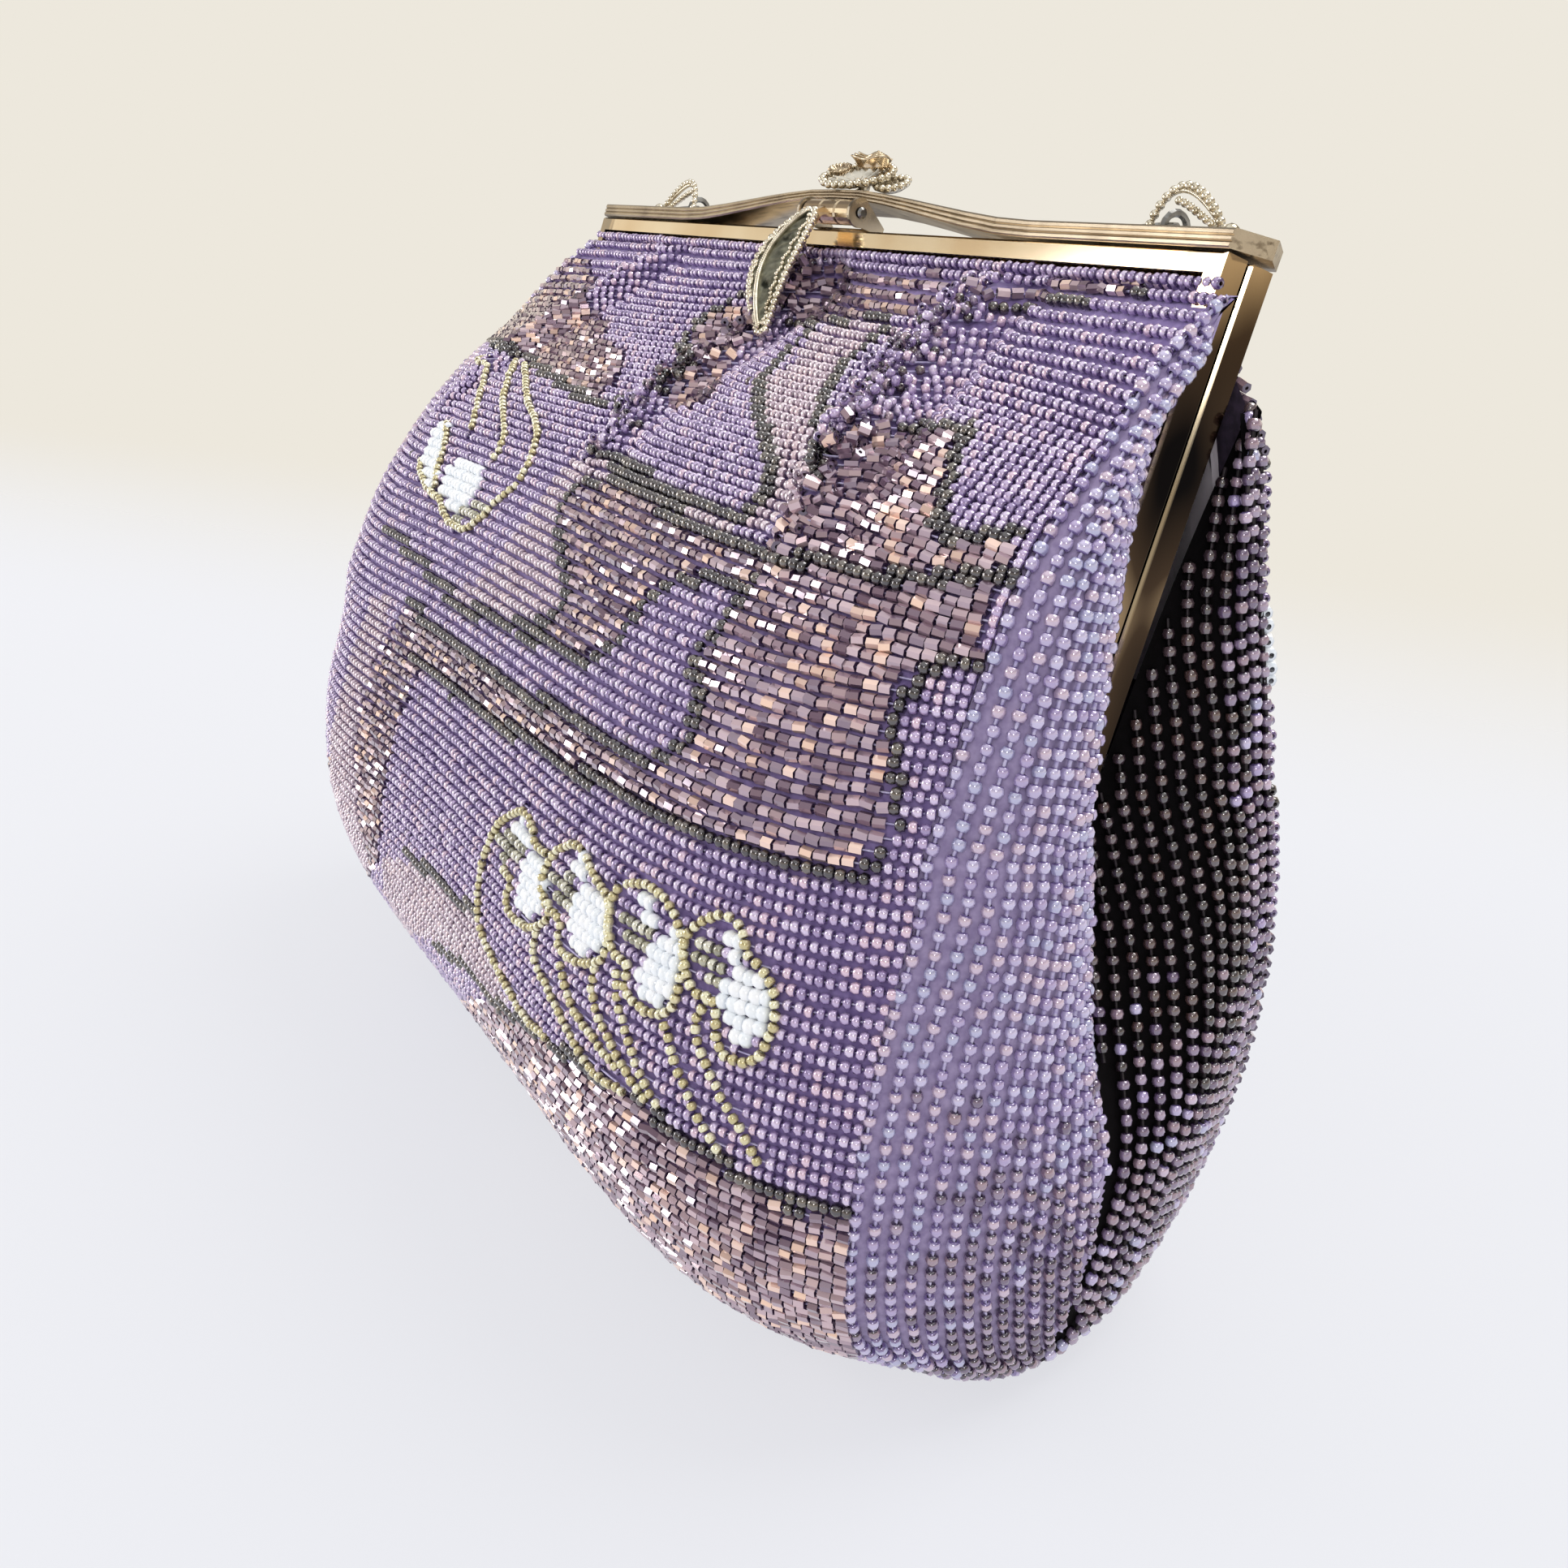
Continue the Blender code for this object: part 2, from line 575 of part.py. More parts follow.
def add_hinge_pin(name, hand, material, parent):
    """The rivet through both lugs, with a head on each side."""
    mouth_x = RAIL_HALF_LENGTH - CHANNEL_WIDTH
    outer = mouth_x - LUG_GAP + SEAT_GAP
    inner = mouth_x - 2 * LUG_GAP - 2 * LUG_THICKNESS - SEAT_GAP
    stations = [
        (inner - HINGE_HEAD_HEIGHT, HINGE_HEAD_RADIUS * 0.55),
        (inner - HINGE_HEAD_HEIGHT / 2, HINGE_HEAD_RADIUS),
        (inner, HINGE_HEAD_RADIUS), (inner, HINGE_PIN_RADIUS), (outer, HINGE_PIN_RADIUS),
        (outer, HINGE_HEAD_RADIUS), (outer + HINGE_HEAD_HEIGHT / 2, HINGE_HEAD_RADIUS),
        (outer + HINGE_HEAD_HEIGHT, HINGE_HEAD_RADIUS * 0.55),
    ]
    rings = [[(hand * x, a, b) for a, b in circle(radius, PIN_SIDES)] for x, radius in stations]
    points, faces = loft(rings)
    return add_object(name, points, faces, material, parent)


# Bow bar


def bar_lift(x):
    """Height of the bar's underside over the rails: flat at the ends and arched over the clasp."""
    run = (BAR_ARCH_HALF_SPAN - abs(x)) / (BAR_ARCH_HALF_SPAN - BAR_ARCH_FLAT_HALF_SPAN)
    run = min(max(run, 0.0), 1.0)
    return BAR_BOTTOM + BAR_ARCH_RISE * (run + run * run * (3 - 2 * run)) / 2


def bar_thickness(x):
    run = min(max((BAR_ARCH_HALF_SPAN - abs(x)) / BAR_ARCH_HALF_SPAN, 0.0), 1.0)
    return BAR_THICKNESS + (BAR_THIN_THICKNESS - BAR_THICKNESS) * run * run * (3 - 2 * run)


def bar_section(thickness):
    """Section of the bar: a flat strip whose front face has two grooves along it."""
    half = BAR_DEPTH / 2
    front = -half
    groove = BAR_GROOVE_DEPTH
    return [
        (front + groove, 0.0), (0.0, 0.0), (half, 0.0), (half, thickness), (0.0, thickness),
        (front + groove, thickness),
        (front, thickness * 0.88), (front, thickness * 0.72), (front + groove, thickness * 0.64),
        (front, thickness * 0.56), (front, thickness * 0.42), (front + groove, thickness * 0.34),
        (front, thickness * 0.26), (front, thickness * 0.10),
    ]


BAR_STATION_COUNT = 24


def add_bow_bar(name, material, parent):
    half_length = RAIL_HALF_LENGTH
    rings = []
    for i in range(BAR_STATION_COUNT + 1):
        x = half_length * (2 * i / BAR_STATION_COUNT - 1)
        end = -1 if i == 0 else 1 if i == BAR_STATION_COUNT else 0
        ring = []
        for w, lift in bar_section(bar_thickness(x)):
            point = BAR_POINT_LENGTH * (1 - abs(w) / (BAR_DEPTH / 2))
            ring.append((x + end * point, w, bar_lift(x) + lift))
        rings.append(ring)
    points, faces = loft(rings)
    faces = faces[:-2]
    count = len(rings[0])
    for start, turn in ((0, 1), ((len(rings) - 1) * count, -1)):
        front_half = [start + j for j in (0, 1, *range(4, count))]
        rear_half = [start + j for j in range(1, 5)]
        faces += [tuple(front_half[::turn]), tuple(rear_half[::turn])]
    bar = add_object(name, points, faces, material, parent, smooth=False)
    lip_low = bar_lift(CLASP_PLACE_X) - CATCH_LIP_HEIGHT
    lip_front = BAR_GROOVE_DEPTH - BAR_DEPTH / 2
    lip = add_box(
        f"{name}_catch_lip", (CLASP_PLACE_X - CATCH_LIP_LENGTH / 2, lip_front, lip_low),
        (
            CLASP_PLACE_X + CATCH_LIP_LENGTH / 2, lip_front + CATCH_LIP_THICKNESS,
            lip_low + 2 * CATCH_LIP_HEIGHT,
        ),
        material, parent,
    )
    combine(bar, lip, "UNION")
    return bar


def rivet_rings(x, w, low, high, radius, head_radius, head_height):
    """A round rivet along v: shank, wide head on top and a spread tail below."""
    stations = [
        (low - head_height, head_radius * 0.7), (low, head_radius * 0.9), (low, radius), (high, radius),
        (high, head_radius), (high + head_height * 0.6, head_radius * 0.85),
        (high + head_height, head_radius * 0.35),
    ]
    return [[(x + a, w + b, v) for a, b in circle(ring, PIN_SIDES)] for v, ring in stations]


def add_bar_rivet(name, hand, material, parent, bar, rear_frame):
    """Holds the bar to the rear channel, through both, with its tail inside the groove."""
    x = hand * (RAIL_HALF_LENGTH - BAR_RIVET_INSET)
    w = CHANNEL_MIDDLE
    low = LEG_LENGTH - CHANNEL_WALL - SEAT_GAP
    high = BAR_BOTTOM + BAR_THICKNESS + SEAT_GAP
    points, faces = loft(rivet_rings(
        x, w, low, high, BAR_RIVET_RADIUS, BAR_RIVET_HEAD_RADIUS, BAR_RIVET_HEAD_HEIGHT))
    rivet = add_object(name, points, faces, material, parent)
    hole_radius = BAR_RIVET_RADIUS + HINGE_PIN_CLEARANCE
    around = circle(hole_radius, PIN_SIDES)
    rings = [[(x + a, w + b, v) for a, b in around] for v in (low, high + CUT_OVERRUN)]
    for target in (bar, rear_frame):
        points, faces = loft(rings)
        hole = add_object(f"{name}_{target.name}_hole", points, faces, material, parent)
        combine(target, hole, "DIFFERENCE")
    return rivet


# Clasp

CLASP_AXIS_V = LEG_LENGTH + CLASP_AXIS_LIFT
CLASP_AXIS_W = -CLASP_AXIS_REACH
CHEEK_INNER_X = BARREL_LENGTH / 2 + SEAT_GAP
CHEEK_STEPS = 12


def cheek_outline():
    """A cheek's outline in w and v: round about the pin, flat on the rail, and lower towards the rear."""
    foot = LEG_LENGTH + SEAT_GAP
    rail_front = -CHANNEL_OUTER - SEAT_GAP
    outline = [(-CHEEK_REAR_SETBACK, foot), (rail_front, foot)]
    start = math.radians(-70)
    turn = math.radians(200)
    for i in range(CHEEK_STEPS + 1):
        angle = start - turn * i / CHEEK_STEPS
        w = CLASP_AXIS_W + CHEEK_RADIUS * math.cos(angle)
        v = CLASP_AXIS_V + CHEEK_RADIUS * math.sin(angle)
        outline.append((w, v))
    outline.append((-CHEEK_REAR_SETBACK, foot + CHEEK_REAR_HEIGHT))
    return outline


def add_clasp_bracket(name, material, parent):
    """A base plate on the front rail with two cheeks that carry the lever's pin."""
    plate_low = LEG_LENGTH + SEAT_GAP
    plate_high = plate_low + BRACKET_PLATE_THICKNESS
    outer_x = CHEEK_INNER_X + CHEEK_THICKNESS
    low = (CLASP_PLACE_X - outer_x, -CHEEK_REAR_SETBACK - BRACKET_PLATE_DEPTH, plate_low)
    high = (CLASP_PLACE_X + outer_x, -CHEEK_REAR_SETBACK, plate_high)
    plate = add_box(name, low, high, material, parent)
    for hand in (-1, 1):
        sides_x = sorted((CLASP_PLACE_X + hand * CHEEK_INNER_X, CLASP_PLACE_X + hand * outer_x))
        points, faces = loft([[(x, w, v) for w, v in cheek_outline()] for x in sides_x])
        tag = f"{name}_{'right' if hand > 0 else 'left'}"
        cheek = add_object(f"{tag}_cheek", points, faces, material, parent, smooth=False)
        combine(plate, cheek, "UNION")
        bore_x = (sides_x[0] - SEAT_GAP, sides_x[1] + SEAT_GAP)
        bore_radius = CLASP_PIN_RADIUS + CLASP_PIN_CLEARANCE
        bore = add_disc(
            f"{tag}_bore", *bore_x, bore_radius, PIN_SIDES, CLASP_AXIS_W, CLASP_AXIS_V, material, parent)
        combine(plate, bore, "DIFFERENCE")
    return plate


def add_clasp_pin(name, material, parent):
    outer = CHEEK_INNER_X + CHEEK_THICKNESS + SEAT_GAP
    head = CLASP_PIN_RADIUS * 1.8
    stations = [
        (-outer - CHANNEL_CHAMFER, head * 0.6), (-outer, head), (-outer, CLASP_PIN_RADIUS),
        (outer, CLASP_PIN_RADIUS), (outer, head), (outer + CHANNEL_CHAMFER, head * 0.6),
    ]
    rings = [
        [(CLASP_PLACE_X + x, CLASP_AXIS_W + a, CLASP_AXIS_V + b) for a, b in circle(radius, PIN_SIDES)]
        for x, radius in stations
    ]
    points, faces = loft(rings)
    return add_object(name, points, faces, material, parent)


BARREL_SIDES = 18
BARREL_KNUCKLE_SHARES = [-0.14, 0.20]


def add_clasp_lever(name, material, parent):
    """The barrel on the pin, with knuckle lines round it, a catch nose behind and a neck to the leaf.
    Its own axes have the pin's centre as origin."""
    half = BARREL_LENGTH / 2
    stations = [(-half, BARREL_RADIUS - BARREL_GROOVE_DEPTH), (-half + BARREL_GROOVE_WIDTH, BARREL_RADIUS)]
    for share in BARREL_KNUCKLE_SHARES:
        x = share * BARREL_LENGTH
        stations += [
            (x - BARREL_GROOVE_WIDTH, BARREL_RADIUS), (x, BARREL_RADIUS - BARREL_GROOVE_DEPTH),
            (x + BARREL_GROOVE_WIDTH, BARREL_RADIUS),
        ]
    stations += [(half - BARREL_GROOVE_WIDTH, BARREL_RADIUS), (half, BARREL_RADIUS - BARREL_GROOVE_DEPTH)]
    rings = [[(x, a, b) for a, b in circle(radius, BARREL_SIDES)] for x, radius in stations]
    points, faces = loft(rings)
    lever = add_object(name, points, faces, material, parent)
    neck_half = NECK_WIDTH / 2
    leaf_top = leaf_spine(0.0)
    neck_path = [
        (-BARREL_RADIUS * 0.70, 0.0), (leaf_top[0] * 0.72, leaf_top[1] - NECK_THICKNESS * 1.4),
        (leaf_top[0] * 0.88, leaf_top[1] - NECK_THICKNESS * 2.8),
        (leaf_top[0] * 1.10, leaf_top[1] - NECK_THICKNESS * 4.6),
    ]
    rings = []
    for i, (w, v) in enumerate(neck_path):
        before = Vector(neck_path[max(i - 1, 0)])
        after = Vector(neck_path[min(i + 1, len(neck_path) - 1)])
        along = (after - before).normalized()
        across = Vector((-along.y, along.x)) * (NECK_THICKNESS / 2)
        rings.append([
            (LEAF_SIDE_SHIFT - neck_half, w - across.x, v - across.y),
            (LEAF_SIDE_SHIFT + neck_half, w - across.x, v - across.y),
            (LEAF_SIDE_SHIFT + neck_half, w + across.x, v + across.y),
            (LEAF_SIDE_SHIFT - neck_half, w + across.x, v + across.y),
        ])
    points, faces = loft(rings)
    neck = add_object(f"{name}_neck", points, faces, material, parent, smooth=False)
    combine(lever, neck, "UNION")
    nose_half = CATCH_LIP_LENGTH / 2
    outline = [
        (0.0, -BARREL_RADIUS * 0.4), (NOSE_REACH * 0.75, BARREL_RADIUS * 0.1), (NOSE_REACH, NOSE_RISE * 0.6),
        (NOSE_REACH, NOSE_RISE), (NOSE_REACH * 0.7, NOSE_RISE), (0.0, BARREL_RADIUS * 0.8),
    ]
    points, faces = loft([[(x, w, v) for w, v in outline] for x in (-nose_half, nose_half)])
    nose = add_object(f"{name}_nose", points, faces, material, parent, smooth=False)
    combine(lever, nose, "UNION")
    bore_radius = CLASP_PIN_RADIUS + CLASP_PIN_CLEARANCE
    reach = half + CUT_OVERRUN
    bore = add_disc(f"{name}_bore", -reach, reach, bore_radius, PIN_SIDES, 0, 0, material, parent)
    combine(lever, bore, "DIFFERENCE")
    return lever


LEAF_TOP_REACH = 0.0032


def leaf_spine(share):
    """The leaf's middle line from its root to its tip, in w and v from the pin: out, then down."""
    w = -LEAF_TOP_REACH - (LEAF_REACH - LEAF_TOP_REACH) * (share**0.85)
    v = LEAF_ROPE_RADIUS - LEAF_DROP * share * (0.72 + 0.28 * share)
    return w, v


def leaf_half_width(share):
    return LEAF_WIDTH / 2 * max(math.sin(math.pi * share**0.80), 0.0) ** 0.8


LEAF_ROWS = 22
LEAF_COLUMN_SHARES = [-1.0, -0.84, -0.66, -0.35, -0.10, 0.0, 0.10, 0.35, 0.66, 0.84, 1.0]


def add_leaf(name, material, parent):
    """A pointed leaf with a keel down its middle and a rope-like rim."""
    rows = []
    end_margin = 0.02
    for i in range(LEAF_ROWS + 1):
        share = end_margin + (1 - 2 * end_margin) * i / LEAF_ROWS
        w, v = leaf_spine(share)
        w_next, v_next = leaf_spine(share + end_margin / 2)
        along = Vector((0, w_next - w, v_next - v)).normalized()
        normal = Vector((0, along.z, -along.y))
        half_width = leaf_half_width(share)
        lump = 0.5 + 0.5 * math.cos(2 * math.pi * LEAF_ROPE_LUMPS * share)
        row = []
        for column in LEAF_COLUMN_SHARES:
            rim = max(abs(column) - 0.6, 0) / 0.4
            keel = max(1 - abs(column) / 0.2, 0) * LEAF_KEEL_HEIGHT * min(1.0, half_width / (LEAF_WIDTH / 4))
            raised = math.sin(math.pi * min(rim, 1.0)) * LEAF_ROPE_RADIUS * (0.6 + 0.7 * lump)
            dish = (column * column - 1) * LEAF_THICKNESS * 0.6
            lift = keel + raised + dish
            side = LEAF_SIDE_SHIFT + column * half_width * (1 + 0.05 * lump * (rim > 0))
            front = Vector((side, w, v)) + normal * (LEAF_THICKNESS / 2 + lift)
            rear = Vector((side, w, v)) - normal * (LEAF_THICKNESS / 2 - dish)
            row.append((front, rear))
        rows.append(row)
    columns = len(LEAF_COLUMN_SHARES)
    points = [pair[0] for row in rows for pair in row] + [pair[1] for row in rows for pair in row]
    faces = sheet_faces(len(rows), columns, len(rows) * columns)
    return add_object(name, points, faces, material, parent)


# Flower


def add_flower_leaf(name, centre, length, width, turn, tilt, roll, material, parent):
    """An oval dished leaf with a raised rim."""
    rings = 4
    sides = FLOWER_LEAF_SIDES
    top = []
    bottom = []
    rotation = (
        Matrix.Rotation(turn, 3, "Z") @ Matrix.Rotation(tilt, 3, "Y") @ Matrix.Rotation(roll, 3, "X")
    )
    for i in range(1, rings + 1):
        share = i / rings
        for j in range(sides):
            angle = 2 * math.pi * j / sides
            lump = 0.5 + 0.5 * math.cos(angle * sides / 2)
            rim = max(share - 0.7, 0) / 0.3
            pointed = 1 - 0.12 * abs(math.sin(angle)) ** 0.5
            x = math.cos(angle) * length / 2 * share
            y = math.sin(angle) * width / 2 * share * pointed
            lift = FLOWER_LEAF_DISH * share**2 + rim * FLOWER_LEAF_THICKNESS * (0.3 + 0.5 * lump)
            top.append((x, y, lift + FLOWER_LEAF_THICKNESS / 2))
            bottom.append((x, y, FLOWER_LEAF_DISH * share**2 - FLOWER_LEAF_THICKNESS / 2))
    middle_top = (0, 0, FLOWER_LEAF_THICKNESS / 2)
    middle_bottom = (0, 0, -FLOWER_LEAF_THICKNESS / 2)
    local = top + bottom + [middle_top, middle_bottom]
    points = [rotation @ Vector(point) + Vector(centre) for point in local]
    count = rings * sides
    faces = []
    for j in range(sides):
        k = (j + 1) % sides
        faces.append((2 * count, j, k))
        faces.append((2 * count + 1, count + k, count + j))
        for i in range(rings - 1):
            a = i * sides
            faces.append((a + j, a + sides + j, a + sides + k, a + k))
            faces.append((count + a + k, count + a + sides + k, count + a + sides + j, count + a + j))
        a = (rings - 1) * sides
        faces.append((a + j, count + a + j, count + a + k, a + k))
    return add_object(name, points, faces, material, parent)


def petal_rings(profile, petals, depth_share, sides, base, twist):
    """A cup turned from a profile of radius and height, its radius waved into petals."""
    rings = []
    for i, (radius, height) in enumerate(profile):
        ring = []
        for j in range(sides):
            angle = 2 * math.pi * j / sides
            turn = petals * (angle + twist)
            wave = 1 + depth_share * (math.cos(turn) - 0.4 * math.cos(2 * turn))
            ring.append((
                base[0] + radius * wave * math.cos(angle), base[1] + radius * wave * math.sin(angle),
                base[2] + height,
            ))
        rings.append(ring)
    return rings


ROSE_SIDES = 30
FLOWER_LEAF_SIDES = 22


def add_rose(name, base, material, parent):
    """Open petals round a hollow that holds the bud."""
    wall = FLOWER_LEAF_THICKNESS
    profile = [
        (ROSE_RADIUS * 0.30, 0.0), (ROSE_RADIUS * 0.62, ROSE_HEIGHT * 0.22),
        (ROSE_RADIUS * 0.86, ROSE_HEIGHT * 0.58),
        (ROSE_RADIUS, ROSE_HEIGHT), (ROSE_RADIUS - wall * 0.5, ROSE_HEIGHT + wall * 0.3),
        (ROSE_RADIUS * 0.86 - wall, ROSE_HEIGHT * 0.66),
        (ROSE_RADIUS * 0.60 - wall * 0.5, ROSE_HEIGHT * 0.34),
        (ROSE_RADIUS * 0.30, ROSE_HEIGHT * 0.24),
    ]
    points, faces = loft(petal_rings(profile, ROSE_PETALS, 0.09, ROSE_SIDES, base, 0.3))
    return add_object(name, points, faces, material, parent)


def add_bud(name, base, material, parent):
    profile = [
        (BUD_RADIUS * 0.55, 0.0), (BUD_RADIUS * 0.95, BUD_HEIGHT * 0.3), (BUD_RADIUS, BUD_HEIGHT * 0.6),
        (BUD_RADIUS * 0.75, BUD_HEIGHT * 0.88), (BUD_RADIUS * 0.3, BUD_HEIGHT),
    ]
    points, faces = loft(petal_rings(profile, 3, 0.10, 18, base, 0.9))
    return add_object(name, points, faces, material, parent)


# Chain loops, rings and chain


def loop_point(share):
    """Middle line of a chain loop from its inner foot over the arch to its outer end, in x and v."""
    foot = bar_lift(LOOP_INNER_X) + BAR_THICKNESS + SEAT_GAP + LOOP_WIRE_RADIUS
    if share < 0.22:
        turn = share / 0.22
        x = LOOP_INNER_X
        v = foot + (LOOP_HEIGHT * 0.62) * turn
    elif share < 0.42:
        turn = (share - 0.22) / 0.20 * math.pi / 2
        x = LOOP_INNER_X + LOOP_LENGTH * 0.17 * (1 - math.cos(turn))
        v = foot + LOOP_HEIGHT * (0.62 + 0.38 * math.sin(turn))
    else:
        turn = (share - 0.42) / 0.58
        x = LOOP_INNER_X + LOOP_LENGTH * (0.17 + 0.83 * turn)
        v = foot + LOOP_HEIGHT * (1 - turn**1.35)
    return x, v


LOOP_STATIONS = 28
LOOP_SIDES = 8


def add_chain_loop(name, hand, material, parent):
    """A wire foot that widens into a rope-edged leaf and ends in a ball."""
    path = []
    radii = []
    flatten = []
    for i in range(LOOP_STATIONS + 1):
        share = i / LOOP_STATIONS
        x, v = loop_point(share)
        leaf = max(math.sin(math.pi * min(max((share - 0.25) / 0.72, 0), 1)), 0) ** 0.7
        lump = 0.5 + 0.5 * math.cos(2 * math.pi * LOOP_ROPE_LUMPS * share)
        path.append((hand * x, LOOP_SETBACK, v))
        radii.append(LOOP_WIRE_RADIUS * (1 + 0.22 * lump * (leaf > 0)))
        flatten.append(1 + (LOOP_LEAF_HALF_WIDTH / LOOP_WIRE_RADIUS - 1) * leaf)
    finial_x, finial_v = loop_point(1.0)
    steps = 5
    for i in range(1, steps + 1):
        turn = math.pi * (0.18 + 0.72 * i / steps)
        along = LOOP_FINIAL_RADIUS * (1 - math.cos(turn))
        rise = LOOP_FINIAL_RADIUS * 0.6 * i / steps
        path.append((hand * (finial_x + along), LOOP_SETBACK, finial_v + rise))
        radii.append(LOOP_FINIAL_RADIUS * math.sin(turn) + LOOP_WIRE_RADIUS * 0.1)
        flatten.append(1.0)
    points, faces = loft(tube_rings(path, radii, LOOP_SIDES, flatten))
    return add_object(name, points, faces, material, parent)


def ring_points(centre, axis_a, axis_b, half_a, half_b, wire, turns, sides):
    """An oval ring of round wire in the plane of two axes: two half circles with straights between them."""
    centre, axis_a, axis_b = Vector(centre), Vector(axis_a), Vector(axis_b)
    normal = axis_a.cross(axis_b)
    straight = half_a - half_b
    half_turns = turns // 2
    stops = half_turns - 1 if straight > 0 else half_turns
    rings = []
    for end in (1, -1):
        for i in range(half_turns):
            angle = math.pi * (i / stops - 0.5)
            out = (axis_a * math.cos(angle) + axis_b * math.sin(angle)) * end
            middle = centre + out * half_b + axis_a * (straight * end)
            rings.append([middle - out * a + normal * b for a, b in circle(wire, sides)])
    return loft(rings, closed=True)


RING_TURNS = 16
RING_SIDES = 6
REST_RING_TILT = math.radians(25)
HANG_RING_TILT = math.radians(-38)


def rest_ring_centre():
    """The ring round the loop's foot leans back over the rear edge of the bar."""
    low = bar_lift(LOOP_INNER_X) + BAR_THICKNESS + SEAT_GAP + RING_WIRE_RADIUS
    front_wire = LOOP_SETBACK - LOOP_WIRE_RADIUS - RING_PLAY - RING_WIRE_RADIUS
    w = front_wire + REST_RING_RADIUS * math.cos(REST_RING_TILT)
    return Vector((LOOP_INNER_X, w, low + REST_RING_RADIUS * math.sin(REST_RING_TILT)))


def swing_axis():
    """Where the swinging ring hangs in the fixed one: the fixed ring's rearmost wire, in w and v."""
    centre = rest_ring_centre()
    w = centre.y + REST_RING_RADIUS * math.cos(REST_RING_TILT)
    v = centre.z + REST_RING_RADIUS * math.sin(REST_RING_TILT)
    return w, v


def add_rest_ring(name, hand, material, parent):
    centre = rest_ring_centre()
    centre.x *= hand
    back = (0, math.cos(REST_RING_TILT), math.sin(REST_RING_TILT))
    points, faces = ring_points(
        centre, (1, 0, 0), back, REST_RING_RADIUS, REST_RING_RADIUS, RING_WIRE_RADIUS, RING_TURNS, RING_SIDES)
    return add_object(name, points, faces, material, parent)


def swing_origin():
    w, v = swing_axis()
    return Vector(frame_to_world(0.0, w, v))


def hang_ring_centre(hand):
    """Centre of the swinging ring from the swing axis, in the part's own axes."""
    reach = RING_RADIUS - 2 * RING_WIRE_RADIUS - RING_PLAY
    return Vector((hand * LOOP_INNER_X, reach * math.cos(HANG_RING_TILT), reach * math.sin(HANG_RING_TILT)))


def add_hang_ring(name, hand, material, parent):
    out = Vector((0, math.cos(HANG_RING_TILT), math.sin(HANG_RING_TILT)))
    up = Vector((0, -math.sin(HANG_RING_TILT), math.cos(HANG_RING_TILT)))
    points, faces = ring_points(
        hang_ring_centre(hand), out, up, RING_RADIUS, RING_RADIUS, RING_WIRE_RADIUS, RING_TURNS, RING_SIDES)
    return add_object(name, points, faces, material, parent)


def chain_route():
    """The hanging chain as points along a catenary, from the left ring to the right one, and its lean."""
    end_drop = RING_RADIUS - RING_WIRE_RADIUS - RING_PLAY
    start = hang_ring_centre(1)
    out = Vector((0, math.cos(HANG_RING_TILT), math.sin(HANG_RING_TILT)))
    top = start + out * (end_drop - CHAIN_WIRE_RADIUS)
    half_span = top.x
    low, high = half_span / 8, half_span * 8
    for _ in range(60):
        scale = (low + high) / 2
        if 2 * scale * math.sinh(half_span / scale) > CHAIN_LENGTH:
            low = scale
        else:
            high = scale
    origin = swing_origin()
    back_line = shares_to_places(np.array(BACK_MIDDLE_SHARES[2:8]))
    lean = max(
        math.atan2(y + CHAIN_BULGE_CLEARANCE - origin.y - top.y, origin.z + top.z - z)
        for _, y, z in back_line
    )
    sag = Vector((0, math.sin(lean), -math.cos(lean)))
    route = []
    steps = 400
    for i in range(steps + 1):
        x = -half_span + 2 * half_span * i / steps
        depth = scale * (math.cosh(half_span / scale) - math.cosh(x / scale))
        route.append(Vector((x, top.y, top.z)) + sag * depth)
    return route, Vector((0, math.cos(lean), math.sin(lean)))


def add_chain(name, material, parent):
    """Oval links set along the route, turned a quarter each, and joined where they touch."""
    route, outward = chain_route()
    lengths = [0.0]
    for a, b in zip(route, route[1:]):
        lengths.append(lengths[-1] + (b - a).length)
    end_reach = CHAIN_LINK_LENGTH / 2 - CHAIN_WIRE_RADIUS
    least_pitch = CHAIN_LINK_LENGTH - 4 * CHAIN_WIRE_RADIUS + CHAIN_LINK_SINK
    count = math.floor((lengths[-1] - 2 * end_reach) / least_pitch) + 1
    count -= 1 - count % 2
    pitch = (lengths[-1] - 2 * end_reach) / (count - 1)
    links = []
    for i in range(count):
        middle = end_reach + i * pitch
        ends = [max(middle - pitch / 2, 0.0), min(middle + pitch / 2, lengths[-1])]
        spots = [
            Vector([np.interp(end, lengths, [point[axis] for point in route]) for axis in range(3)])
            for end in ends
        ]
        along = (spots[1] - spots[0]).normalized()
        across = outward.cross(along).normalized()
        flat = i % 2 == 0
        other = across if flat else outward
        centre = Vector([np.interp(middle, lengths, [point[axis] for point in route]) for axis in range(3)])
        links.append((centre, along, other))
    half_length = CHAIN_LINK_LENGTH / 2 - CHAIN_WIRE_RADIUS
    half_width = CHAIN_LINK_WIDTH / 2 - CHAIN_WIRE_RADIUS
    groups = []
    for start in (0, 1):
        points = []
        faces = []
        for centre, along, other in links[start::2]:
            new_points, new_faces = ring_points(
                centre, along, other, half_length, half_width, CHAIN_WIRE_RADIUS, LINK_TURNS, LINK_SIDES)
            base = len(points)
            points += new_points
            faces += [tuple(base + index for index in face) for face in new_faces]
        groups.append(add_object(name if start == 0 else f"{name}_turned", points, faces, material, parent))
    combine(groups[0], groups[1], "UNION")
    return groups[0]


LINK_TURNS = 8
LINK_SIDES = 4


